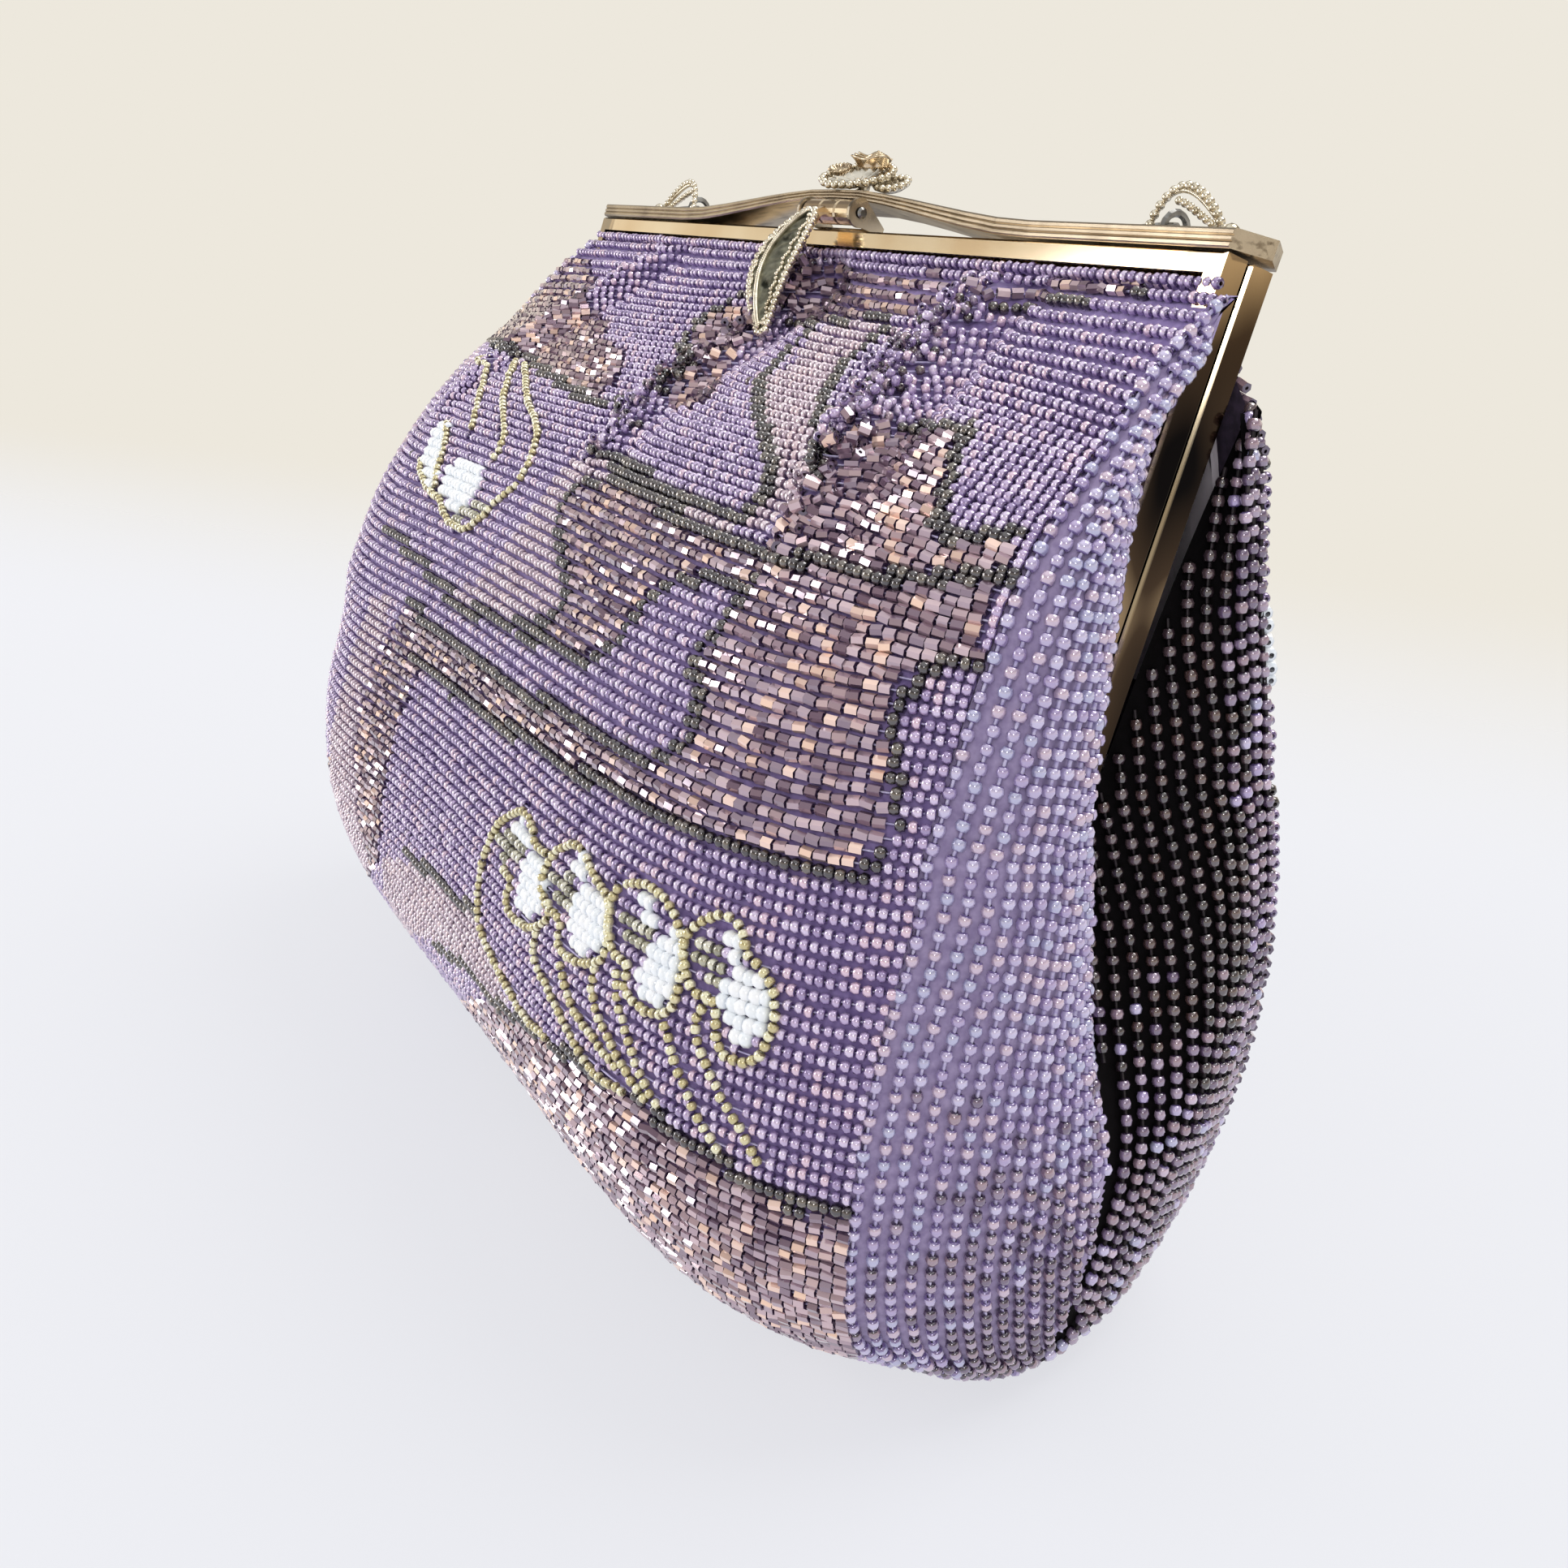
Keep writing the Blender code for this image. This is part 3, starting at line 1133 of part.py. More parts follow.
def build():
    clear_scene()
    gilt = make_material("champagne_metal", (0.62, 0.54, 0.42), 0.18, 1.0)
    bright = make_material("bright_metal", (0.72, 0.69, 0.62), 0.22, 1.0)
    steel = make_material("steel_ring", (0.42, 0.42, 0.40), 0.25, 1.0)
    beads = make_material("purple_beadwork", (0.20, 0.14, 0.36), 0.35)
    satin = make_material("lining_satin", (0.20, 0.17, 0.30), 0.55)

    rear_axis = make_empty("rear_frame_axis", (0, 0, HINGE_HEIGHT), -LEAN_ANGLE)
    front_axis = make_empty("front_jaw_axis", (0, 0, HINGE_HEIGHT), -LEAN_ANGLE)
    cloth_axis = make_empty("front_cloth_axis", (0, 0, HINGE_HEIGHT), 0)
    clasp_place = frame_to_world(CLASP_PLACE_X, CLASP_AXIS_W, CLASP_AXIS_V)
    clasp_axis = make_empty("clasp_axis", tuple(clasp_place), -LEAN_ANGLE)
    chain_axis = make_empty("chain_axis", tuple(swing_origin()), 0)

    rear_frame = add_channel("rear_frame", 1, gilt, rear_axis)
    add_channel("front_frame", -1, gilt, front_axis)
    add_hinge_pin("hinge_rivet_left", -1, gilt, rear_axis)
    add_hinge_pin("hinge_rivet_right", 1, gilt, rear_axis)
    bar = add_bow_bar("bow_bar", gilt, rear_axis)
    add_bar_rivet("bow_bar_rivet_left", -1, gilt, rear_axis, bar, rear_frame)
    add_bar_rivet("bow_bar_rivet_right", 1, gilt, rear_axis, bar, rear_frame)

    add_clasp_bracket("clasp_bracket", gilt, front_axis)
    add_clasp_pin("clasp_pin", steel, front_axis)
    add_clasp_lever("clasp_lever", gilt, clasp_axis)
    add_leaf("clasp_leaf", bright, clasp_axis)

    add_flower(rear_axis, bright)

    for side_name, hand in (("left", -1), ("right", 1)):
        add_chain_loop(f"chain_loop_{side_name}", hand, bright, rear_axis)
        add_rest_ring(f"loop_ring_{side_name}", hand, steel, rear_axis)
        add_hang_ring(f"chain_ring_{side_name}", hand, steel, chain_axis)
    add_chain("link_chain", steel, chain_axis)

    front_upper, back = add_body(beads, cloth_axis)
    add_lining(satin, cloth_axis, front_upper, back)


def add_flower(parent, material):
    """The ornament on the bar: a post, two leaves, open petals, a bud in them and a small one beside."""
    bar_top = bar_lift(FLOWER_PLACE_X) + bar_thickness(FLOWER_PLACE_X)
    leaf_centre = Vector((FLOWER_PLACE_X, 0.0, bar_top + FLOWER_RISE))
    tilt = Matrix.Rotation(BIG_LEAF_TILT, 3, "Y") @ Matrix.Rotation(BIG_LEAF_ROLL, 3, "X")
    underside = leaf_centre.z - FLOWER_LEAF_THICKNESS / 2
    slope = FLOWER_POST_RADIUS * 1.7 * math.tan(abs(BIG_LEAF_TILT) + abs(BIG_LEAF_ROLL)) / 2
    stations = [
        (bar_top + SEAT_GAP, FLOWER_POST_RADIUS * 1.7),
        (bar_top + FLOWER_RISE * 0.2, FLOWER_POST_RADIUS * 1.5),
        (bar_top + FLOWER_RISE * 0.35, FLOWER_POST_RADIUS),
        (underside - SEAT_GAP - slope, FLOWER_POST_RADIUS),
    ]
    rings = [[(FLOWER_PLACE_X + a, b, v) for a, b in circle(radius, PIN_SIDES)] for v, radius in stations]
    points, faces = loft(rings)
    add_object("flower_post", points, faces, material, parent)
    add_flower_leaf(
        "flower_leaf_large", leaf_centre, BIG_LEAF_LENGTH, BIG_LEAF_WIDTH, 0, BIG_LEAF_TILT, BIG_LEAF_ROLL,
        material, parent,
    )
    seat = FLOWER_LEAF_THICKNESS / 2 + SEAT_GAP
    rose_base = leaf_centre + tilt @ Vector((ROSE_SHIFT, 0, seat + FLOWER_LEAF_DISH * 0.35))
    rose_base.z += ROSE_RADIUS * 0.3 * math.tan(BIG_LEAF_ROLL)
    add_rose("flower_petals", rose_base, material, parent)
    add_bud("flower_bud", rose_base + Vector((0, 0, ROSE_HEIGHT * 0.24 + SEAT_GAP)), material, parent)
    small_base = leaf_centre + tilt @ Vector((SMALL_BUD_SHIFT, 0, seat + FLOWER_LEAF_DISH * 0.45))
    small_base.z += BUD_RADIUS * 0.5 * math.tan(BIG_LEAF_ROLL)
    add_bud("flower_bud_small", small_base, material, parent)
    small_x = FLOWER_PLACE_X + SMALL_LEAF_SHIFT
    inner_end = small_x - SMALL_LEAF_LENGTH / 2
    small_seat = bar_lift(inner_end) + bar_thickness(inner_end) + SEAT_GAP + FLOWER_LEAF_THICKNESS / 2
    small_rise = SMALL_LEAF_LENGTH / 2 * math.sin(-SMALL_LEAF_TILT) - FLOWER_LEAF_DISH
    small_centre = (small_x, 0.0, small_seat + small_rise)
    add_flower_leaf(
        "flower_leaf_small", small_centre, SMALL_LEAF_LENGTH, SMALL_LEAF_WIDTH, 0, SMALL_LEAF_TILT, 0,
        material, parent,
    )


PANEL_COLUMNS = 21
PANEL_REACH_SHARE = 0.994
ROW_GAP_SHARE = 0.0035
UPPER_ROWS = 10
LOWER_ROWS = 11
BACK_ROWS = 14
GUSSET_COLUMN_SHARES = [0.0, 0.09, 0.2, 0.3, 0.4, 0.47, 0.53, 0.66, 0.80, 0.90, 0.985]
GUSSET_LEG_COLUMN = 6
GUSSET_UPPER_ROWS = 7
GUSSET_LOWER_ROWS = 10
GUSSET_FRONT_FIRST_ROW = 0.105
GUSSET_REAR_FIRST_ROW = 0.20
GUSSET_LAST_ROW = 0.955


def split_rows(first, last, upper_count, lower_count):
    """Rows above and below the hinge line with the cloth's cut between them."""
    upper = np.linspace(first, HINGE_ROW_SHARE - ROW_GAP_SHARE, upper_count)
    lower = np.linspace(HINGE_ROW_SHARE + ROW_GAP_SHARE, last, lower_count)
    return upper, lower


SEAM_SAMPLES = 61


def seam_mitres(rows, behind=False):
    """Directions midway between a panel's and the right gusset's normals along their common seam."""
    samples = np.linspace(0.01, 0.99, SEAM_SAMPLES)
    step = 1 - PANEL_REACH_SHARE
    near_seam = PANEL_REACH_SHARE - np.array([[2 * step, step, 0.0]])
    if behind:
        panel_rows = np.interp(samples, GUSSET_ROW_SHARES, GUSSET_BACK_ROW_SHARES)
        panel = back_points(near_seam, panel_rows[:, None])
        gusset = gusset_points(GUSSET_COLUMN_SHARES[-1] - np.array([2 * step, step, 0.0]), samples, "whole")
    else:
        panel_rows = samples
        panel = front_points(near_seam, samples[:, None])
        gusset = gusset_points(np.array([0.0, step, 2 * step]), samples, "whole")
    gusset_column = -1 if behind else 0
    middle = grid_normals(panel)[:, -1] + grid_normals(gusset)[:, gusset_column]
    middle /= np.linalg.norm(middle, axis=-1, keepdims=True)
    return np.stack([np.interp(rows, panel_rows, middle[:, axis]) for axis in range(3)], axis=-1)


def rear_mitres(rows):
    """The rear seam's mitres at the gusset's own rows."""
    return seam_mitres(np.interp(rows, GUSSET_ROW_SHARES, GUSSET_BACK_ROW_SHARES), behind=True)


def mirrored(grid, hand):
    """The grid for the right side, or its mirror image for the left."""
    flipped = grid.copy()
    flipped[..., 0] *= hand
    return flipped


def add_body(beads, cloth_axis):
    """Beaded panels and gussets. What hangs on the front channel ends at the hinge line."""
    origin = (0, 0, HINGE_HEIGHT)
    reach = np.sin(np.linspace(-1, 1, PANEL_COLUMNS) * math.pi / 2) * PANEL_REACH_SHARE
    across = reach[None, :]
    upper, lower = split_rows(0.0, 1.0 - ROW_GAP_SHARE, UPPER_ROWS, LOWER_ROWS)
    front_upper = front_points(across, upper[:, None])
    front_lower = front_points(across, lower[:, None])
    back_rows = np.linspace(0.0, 1.0 - ROW_GAP_SHARE, BACK_ROWS)
    back = back_points(across, back_rows[:, None])
    mitre = seam_mitres(upper)
    add_sheet(
        "front_panel_upper", front_upper, SHEET_THICKNESS, beads, cloth_axis, origin,
        mirrored(mitre, -1), mitre)
    mitre = seam_mitres(lower)
    add_sheet(
        "front_panel_lower", front_lower, SHEET_THICKNESS, beads, first=mirrored(mitre, -1), last=mitre)
    mitre = seam_mitres(back_rows, behind=True)
    add_sheet("back_panel", back, SHEET_THICKNESS, beads, first=mirrored(mitre, -1), last=mitre)
    upper, lower = split_rows(GUSSET_FRONT_FIRST_ROW, GUSSET_LAST_ROW, GUSSET_UPPER_ROWS, GUSSET_LOWER_ROWS)
    behind, _ = split_rows(GUSSET_REAR_FIRST_ROW, GUSSET_LAST_ROW, GUSSET_UPPER_ROWS, GUSSET_LOWER_ROWS)
    columns = np.array(GUSSET_COLUMN_SHARES)
    whole = gusset_points(columns, lower, "whole")
    front = gusset_points(columns[:GUSSET_LEG_COLUMN + 1], upper, "front")
    rear = gusset_points(columns[GUSSET_LEG_COLUMN:], behind, "rear")
    for side_name, hand in (("left", -1), ("right", 1)):
        name = f"gusset_{side_name}"
        add_sheet(
            f"{name}_lower", mirrored(whole, hand), SHEET_THICKNESS, beads,
            first=mirrored(seam_mitres(lower), hand), last=mirrored(rear_mitres(lower), hand),
        )
        add_sheet(
            f"{name}_rear", mirrored(rear, hand), SHEET_THICKNESS, beads,
            last=mirrored(rear_mitres(behind), hand),
        )
        add_sheet(
            f"{name}_front", mirrored(front, hand), SHEET_THICKNESS, beads, cloth_axis, origin,
            first=mirrored(seam_mitres(upper), hand),
        )
    return front_upper, back


LINING_INSET = 0.0042
LINING_POWER = 3.2
LINING_SIDES = 28
LINING_ROWS = 7
LINING_LOW_HEIGHT = 0.0048
LINING_CORNER_TUCK = 0.005
LINING_TOP_DROP = 0.0047
LINING_SIDE_SHARES = [(0.12, 0.66), (0.30, 0.80), (0.55, 0.92), (0.85, 0.93), (1.0, 0.925)]


def lining_extents(z):
    """Front, rear and half width of the inner bag at a height."""
    front = np.array([FRONT_MIDDLE_SHARES[i][1:] for i in range(11, 4, -1)])
    rear = np.array([BACK_MIDDLE_SHARES[i][1:] for i in range(9, 3, -1)])
    share = z / HINGE_HEIGHT
    y_front = np.interp(share, front[:, 1], front[:, 0]) * BODY_DEPTH
    y_rear = np.interp(share, rear[:, 1], rear[:, 0]) * BODY_DEPTH
    narrow = np.interp(share, [row[0] for row in LINING_SIDE_SHARES], [row[1] for row in LINING_SIDE_SHARES])
    return y_front, y_rear, narrow * RAIL_HALF_LENGTH


def lining_ring(z, inset):
    y_front, y_rear, half_width = lining_extents(z)
    y_front += inset
    y_rear -= inset
    half_width -= inset - LINING_INSET
    middle = (y_front + y_rear) / 2
    half_depth = (y_rear - y_front) / 2
    ring = []
    for i in range(LINING_SIDES):
        angle = 2 * math.pi * i / LINING_SIDES
        cosine, sine = math.cos(angle), math.sin(angle)
        x = math.copysign(abs(cosine) ** (2 / LINING_POWER), cosine) * half_width
        y = middle + math.copysign(abs(sine) ** (2 / LINING_POWER), sine) * half_depth
        ring.append((x, y, z))
    return ring


def add_lining(satin, cloth_axis, front_upper, back):
    """The inner bag, open at the top, the lining of the two jaws above it and a flat pocket."""
    heights = np.linspace(LINING_LOW_HEIGHT, HINGE_HEIGHT - LINING_TOP_DROP, LINING_ROWS)
    tucks = [LINING_CORNER_TUCK * (i == 0) for i in range(LINING_ROWS)]
    outer = [lining_ring(z, LINING_INSET + tuck) for z, tuck in zip(heights, tucks)]
    inner_inset = LINING_INSET + LINING_THICKNESS
    heights[0] += LINING_THICKNESS
    inner = [lining_ring(z, inner_inset + tuck) for z, tuck in zip(heights, tucks)]
    points, faces = loft(outer + inner[::-1])
    add_object("lining_body", points, faces, satin)
    origin = (0, 0, HINGE_HEIGHT)
    depth = SHEET_THICKNESS + 4 * SEAT_GAP
    front = (front_upper - grid_normals(front_upper) * depth)[1:, 2:-2]
    add_sheet("lining_front_jaw", front, LINING_THICKNESS, satin, cloth_axis, origin)
    rear = (back - grid_normals(back) * depth)[1:LINING_BACK_ROWS, 2:-2]
    add_sheet("lining_back_jaw", rear, LINING_THICKNESS, satin)
    pocket = []
    for z in np.linspace(POCKET_TOP_HEIGHT, POCKET_BOTTOM_HEIGHT, POCKET_ROWS):
        y_front, y_rear, _ = lining_extents(z)
        half_depth = (y_rear - y_front) / 2 - inner_inset
        half_width = lining_extents(z)[2] - LINING_THICKNESS
        row = []
        for x in np.linspace(-POCKET_WIDTH / 2, POCKET_WIDTH / 2, POCKET_COLUMNS):
            bow = (1 - (abs(x) / half_width) ** LINING_POWER) ** (1 / LINING_POWER)
            row.append((x, (y_front + y_rear) / 2 + half_depth * bow - POCKET_GAP, z))
        pocket.append(row)
    add_sheet("inner_pocket", np.array(pocket), POCKET_THICKNESS, satin)


LINING_BACK_ROWS = 5
POCKET_ROWS = 6
POCKET_COLUMNS = 9


build()
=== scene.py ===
import math

import bmesh
import bpy
import numpy as np
from mathutils import Matrix, Vector
from mathutils.kdtree import KDTree


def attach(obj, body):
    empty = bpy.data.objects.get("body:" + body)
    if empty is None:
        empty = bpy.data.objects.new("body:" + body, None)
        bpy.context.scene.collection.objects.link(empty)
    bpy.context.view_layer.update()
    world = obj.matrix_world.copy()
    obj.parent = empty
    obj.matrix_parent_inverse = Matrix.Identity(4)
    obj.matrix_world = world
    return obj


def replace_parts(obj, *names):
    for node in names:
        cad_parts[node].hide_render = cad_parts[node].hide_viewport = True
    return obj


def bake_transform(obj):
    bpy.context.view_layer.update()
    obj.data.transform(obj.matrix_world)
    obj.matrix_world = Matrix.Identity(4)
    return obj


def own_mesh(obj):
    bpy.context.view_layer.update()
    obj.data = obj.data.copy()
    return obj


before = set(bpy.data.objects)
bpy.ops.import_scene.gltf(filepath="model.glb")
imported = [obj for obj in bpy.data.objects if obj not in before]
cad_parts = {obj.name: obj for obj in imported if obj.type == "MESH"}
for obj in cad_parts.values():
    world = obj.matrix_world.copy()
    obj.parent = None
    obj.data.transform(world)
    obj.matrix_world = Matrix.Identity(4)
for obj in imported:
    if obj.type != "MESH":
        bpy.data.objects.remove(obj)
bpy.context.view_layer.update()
random = np.random.default_rng(7)

# Camera, in metres, and the photograph's frame in its own pixels
CAMERA_PLACE = np.array((0.2179, -0.1086, 0.1417))
CAMERA_RIGHT = np.array((0.4802, 0.8771, 0.0))
CAMERA_UP = np.array((-0.3172, 0.1736, 0.9323))
CAMERA_BACK = np.array((0.8178, -0.4477, 0.3616))
PHOTO_SIDE = 1932
FOCAL_PIXELS = 1930
SENSOR_WIDTH = 36.0

# The body's surface, as in part.py: metres, and shares by row
HINGE_HEIGHT = 0.0747
RAIL_REACH = 0.0854
SIDE_BULGE = 0.016
BODY_DEPTH = 0.100
LEAN_ANGLE = math.radians(19.9)
LEG_REACH = 0.0593
GROOVE_RISE = LEG_REACH * math.cos(LEAN_ANGLE)
LEG_MIDDLE_X = 0.0848
LEG_LIP = 0.00425
CLOTH_THICKNESS = 0.0022
BULGE_POWER = 5.0
HINGE_ROW_SHARE = 0.46
HINGE_BLEND_ROW_SHARE = 0.06
FRONT_ROW_SHARES = [0.0, 0.035, 0.07, 0.14, 0.24, 0.36, 0.46, 0.58, 0.68, 0.77, 0.85, 0.90, 1.0]
FRONT_SEAM_SHARES = [
    (-0.18, -0.036, 2.015), (-0.15, -0.066, 1.97), (0.10, -0.104, 1.90), (0.25, -0.157, 1.76),
    (0.40, -0.226, 1.56), (0.48, -0.246, 1.27), (0.55, -0.250, 0.957), (0.63, -0.310, 0.683),
    (0.65, -0.336, 0.442), (0.58, -0.332, 0.268), (0.44, -0.295, 0.154), (0.38, -0.250, 0.100),
    (0.38, -0.140, 0.050),
]
FRONT_MIDDLE_SHARES = [
    (0.00, -0.036, 2.015), (0.00, -0.062, 1.975), (0.00, -0.100, 1.915), (0.00, -0.180, 1.81),
    (0.00, -0.315, 1.62), (0.00, -0.410, 1.29), (0.00, -0.430, 0.957), (0.00, -0.485, 0.683),
    (0.00, -0.500, 0.442), (0.00, -0.470, 0.241), (0.00, -0.400, 0.075), (0.00, -0.320, 0.000),
    (0.00, -0.080, 0.000),
]
BACK_ROW_SHARES = [0.0, 0.04, 0.08, 0.20, 0.34, 0.50, 0.62, 0.74, 0.82, 0.88, 1.0]
BACK_SEAM_SHARES = [
    (-0.18, 0.034, 1.972), (-0.16, 0.068, 1.86), (0.06, 0.098, 1.75), (0.27, 0.175, 1.41),
    (0.36, 0.292, 0.977), (0.41, 0.310, 0.616), (0.36, 0.285, 0.388), (0.28, 0.225, 0.174),
    (0.25, 0.155, 0.087), (0.28, 0.080, 0.060), (0.38, -0.140, 0.050),
]
BACK_MIDDLE_SHARES = [
    (0.00, 0.034, 1.972), (0.00, 0.068, 1.90), (0.00, 0.105, 1.80), (0.00, 0.225, 1.43),
    (0.00, 0.350, 0.995), (0.00, 0.380, 0.629), (0.00, 0.385, 0.375), (0.00, 0.335, 0.147),
    (0.00, 0.250, 0.027), (0.00, 0.170, 0.000), (0.00, -0.080, 0.000),
]
GUSSET_RIB_PLACE_SHARES = [0.0, 0.2, 0.4, 0.53, 0.76, 1.0]
GUSSET_ROW_SHARES = [0.03, 0.07, 0.14, 0.24, 0.36, 0.46, 0.58, 0.68, 0.77, 0.85, 0.90, 0.97]
GUSSET_BULGE_SHARES = [
    (0.10, -0.040, 1.97), (0.22, -0.080, 1.90), (0.44, -0.130, 1.77), (0.69, -0.177, 1.57),
    (0.81, -0.176, 1.27), (0.88, -0.150, 0.957), (0.97, -0.170, 0.683), (1.00, -0.180, 0.442),
    (0.91, -0.190, 0.260), (0.75, -0.185, 0.120), (0.63, -0.175, 0.070), (0.45, -0.150, 0.050),
]
GUSSET_FOLD_SHARES = [
    (0.14, -0.048, 1.97), (0.22, -0.052, 1.91), (0.34, -0.090, 1.77), (0.47, -0.098, 1.58),
    (0.53, -0.061, 1.27), (0.56, -0.015, 0.957), (0.75, -0.025, 0.683), (0.97, -0.045, 0.442),
    (0.94, -0.065, 0.255), (0.80, -0.085, 0.095), (0.69, -0.100, 0.045), (0.45, -0.140, 0.045),
]
GUSSET_VALLEY_SHARES = [
    (0.02, 0.000, 1.97), (0.02, 0.000, 1.91), (0.02, 0.000, 1.77), (0.02, 0.000, 1.58),
    (0.02, 0.000, 1.27), (0.00, 0.025, 0.930), (0.34, 0.030, 0.683), (0.84, 0.015, 0.442),
    (0.88, -0.005, 0.250), (0.77, -0.035, 0.085), (0.69, -0.065, 0.040), (0.45, -0.138, 0.045),
]
GUSSET_FLANK_SHARES = [
    (0.04, 0.050, 1.97), (0.09, 0.052, 1.88), (0.22, 0.055, 1.75), (0.31, 0.093, 1.54),
    (0.38, 0.150, 1.24), (0.47, 0.190, 0.950), (0.69, 0.175, 0.670), (0.81, 0.145, 0.430),
    (0.72, 0.110, 0.245), (0.63, 0.065, 0.085), (0.56, 0.010, 0.045), (0.43, -0.136, 0.045),
]
GUSSET_BACK_ROW_SHARES = [0.012, 0.035, 0.08, 0.15, 0.25, 0.35, 0.47, 0.595, 0.68, 0.755, 0.80, 0.97]
VALLEY_PLACE_SHARE = 0.53
GUSSET_FRONT_FIRST_ROW = 0.020
GUSSET_REAR_FIRST_ROW = 0.130
GUSSET_LAST_ROW = 0.960
GUSSET_REAR_EDGE_PLACE = 0.990
REAR_MAUVE_SHARE = 0.88

# Gathers under the front rail, their loose beads and the hollow between them
PLEAT_PLACE_SHARES = [-0.56, -0.015, 0.545]
PLEAT_SLANT_SHARES = [-0.10, 0.085, 0.145]
PLEAT_LOOSE_SHARES = [0.15, 1.0, 1.0]
PLEAT_HALF_WIDTH_SHARE = 0.036
PLEAT_SLANT_ROW_SHARE = 0.30
PLEAT_START_ROW_SHARE = 0.05
PLEAT_FADE_ROW_SHARE = 0.16
PLEAT_END_ROW_SHARE = 0.31
PLEAT_HEIGHT = 0.0052
PLEAT_DIP_SHARE = 0.50
PLEAT_DIP_PLACE = 1.9
LOOSE_START_ROW_SHARE = 0.03
LOOSE_FADE_ROW_SHARE = 0.10
SECOND_LAYER_START = 0.32
SECOND_LAYER_GROWTH = 1.6
SECOND_LAYER_LEAST_SHARE = 0.6
SECOND_LAYER_RISE = 0.0012
SECOND_LAYER_SPREAD = 0.0008
# Shares of the gathers' lavender beads made mauve or near black: partly painted shade between the bunched
# beads.
GATHER_MAUVE_PAINTED_SHADE_SHARE = 0.40
GATHER_PAINTED_SHADE_SHARE = 0.12
LEAST_PLEAT_SHARE = 0.01
HOLLOW_DEPTH = 0.0075
HOLLOW_HALF_WIDTH_SHARE = 0.19
HOLLOW_ROW_SHARE = 0.12
HOLLOW_ROW_HALF_WIDTH_SHARE = 0.10

# The fuller left side of the front
LEFT_FULLNESS = 0.005
LEFT_FULLNESS_X = -0.070
LEFT_FULLNESS_WIDTH = 0.035
LEFT_FULLNESS_TOP = 1.7
LEFT_FULLNESS_POWER = 8

# Where the cloth reaches over the leg's face beside the rail
CORNER_X = 0.0886
CORNER_TOP_ROW = 0.006
CORNER_START_ROW = 0.08
CORNER_END_ROW = 0.22
GATHERED_END_ROW = 0.15
GATHERED_NORMAL = (0.6, -0.8, 0.0)

# Beads and threads
BEAD_RADIUS = 0.00072
BEAD_LENGTH = 0.00112
BEAD_PITCH = 0.00136
CUT_BEAD_LENGTH = 0.00152
CUT_BEAD_PITCH = 0.00170
ROW_PITCH = 0.00172
FIRST_ROW_PLACE_SHARE = 0.15
ROW_MEASURE_PLACE = 0.12
GUSSET_COLUMN_PITCH = 0.00232
FIRST_COLUMN_PLACE_SHARE = 0.34
LAST_COLUMN_MARGIN_SHARE = 0.3
GUSSET_BEAD_PITCH = 0.00205
GUSSET_BEAD_RADIUS = 0.00082
GUSSET_BEAD_LENGTH = 0.00140
ROW_THREAD_RADIUS = 0.00017
GUSSET_THREAD_RADIUS = 0.00030
THREAD_TURNS = (0, 2.1, 4.2)
CLOTH_DEPTH = 0.00150
MOST_BEADS_IN_PIECE = 2900

# How unevenly the beads lie, and more so where they are loose
BEAD_TILT = 0.07
LOOSE_TILT = 0.5
BEAD_JITTER = 0.00005
LOOSE_JITTER = 0.0004
LOOSE_RISE = 0.0007
BEAD_SIZE_SPREAD = 0.045
BEAD_LENGTH_SPREAD = 0.06
FLOOR_GAP = 0.00005

# Glass of the beads and their clear coat
BEAD_IOR = 1.7
COAT_IOR = 1.8
COAT_ROUGHNESS = 0.06

# Steps in which the pattern is matched to the surface, and the least space between two kinds
MATCH_STEP_SHARE = 0.001
KINDS_APART_SHARE = 0.42
WELT_ROW_SHARE = 0.004

# Gold strings sewn on top of the rows
STRING_PITCH = 0.00128
STRING_RISE = 0.00050
STRING_SIZE_SHARE = 0.95
STRING_STEP_PIXELS = 1.5
STRING_AVERAGE = 7
BODY_MIDDLE = (0, 0.02, 0.06)

# Kinds that are larger than the others
KIND_SIZE_SHARES = {"white": 1.48, "gunmetal": 1.15, "crystal": 1.12}


def smooth_table(places, rows, wanted):
    """A smooth curve through the rows of a table, read at the wanted places."""
    places = np.asarray(places, float)
    rows = np.asarray(rows, float)
    wanted = np.asarray(wanted, float)
    steps = np.diff(places)
    slopes = np.diff(rows, axis=0) / steps[:, None]
    tangents = np.empty_like(rows)
    tangents[0] = slopes[0]
    tangents[-1] = slopes[-1]
    mixed = slopes[:-1] * steps[1:, None] + slopes[1:] * steps[:-1, None]
    tangents[1:-1] = mixed / (places[2:] - places[:-2])[:, None]
    index = np.clip(np.searchsorted(places, wanted, side="right") - 1, 0, len(places) - 2)
    span = steps[index]
    u = ((wanted - places[index]) / span)[..., None]
    span = span[..., None]
    return (
        (2 * u**3 - 3 * u**2 + 1) * rows[index]
        + (u**3 - 2 * u**2 + u) * span * tangents[index]
        + (3 * u**2 - 2 * u**3) * rows[index + 1]
        + (u**3 - u**2) * span * tangents[index + 1]
    )


def shares_to_places(shares):
    """Side, depth and height shares as points."""
    side, depth, height = shares[..., 0], shares[..., 1], shares[..., 2]
    z = np.clip(height, 0, 1) * HINGE_HEIGHT + (height > 1) * (height - 1) * GROOVE_RISE
    setback = np.maximum(z - HINGE_HEIGHT, 0) * math.tan(LEAN_ANGLE)
    x = RAIL_REACH + side * SIDE_BULGE
    return np.stack((x, setback + depth * BODY_DEPTH, z), axis=-1)


def smooth_share(value, start, end):
    """0 before start, 1 after end and smooth between them."""
    share = np.clip((value - start) / (end - start), 0, 1)
    return share * share * (3 - 2 * share)


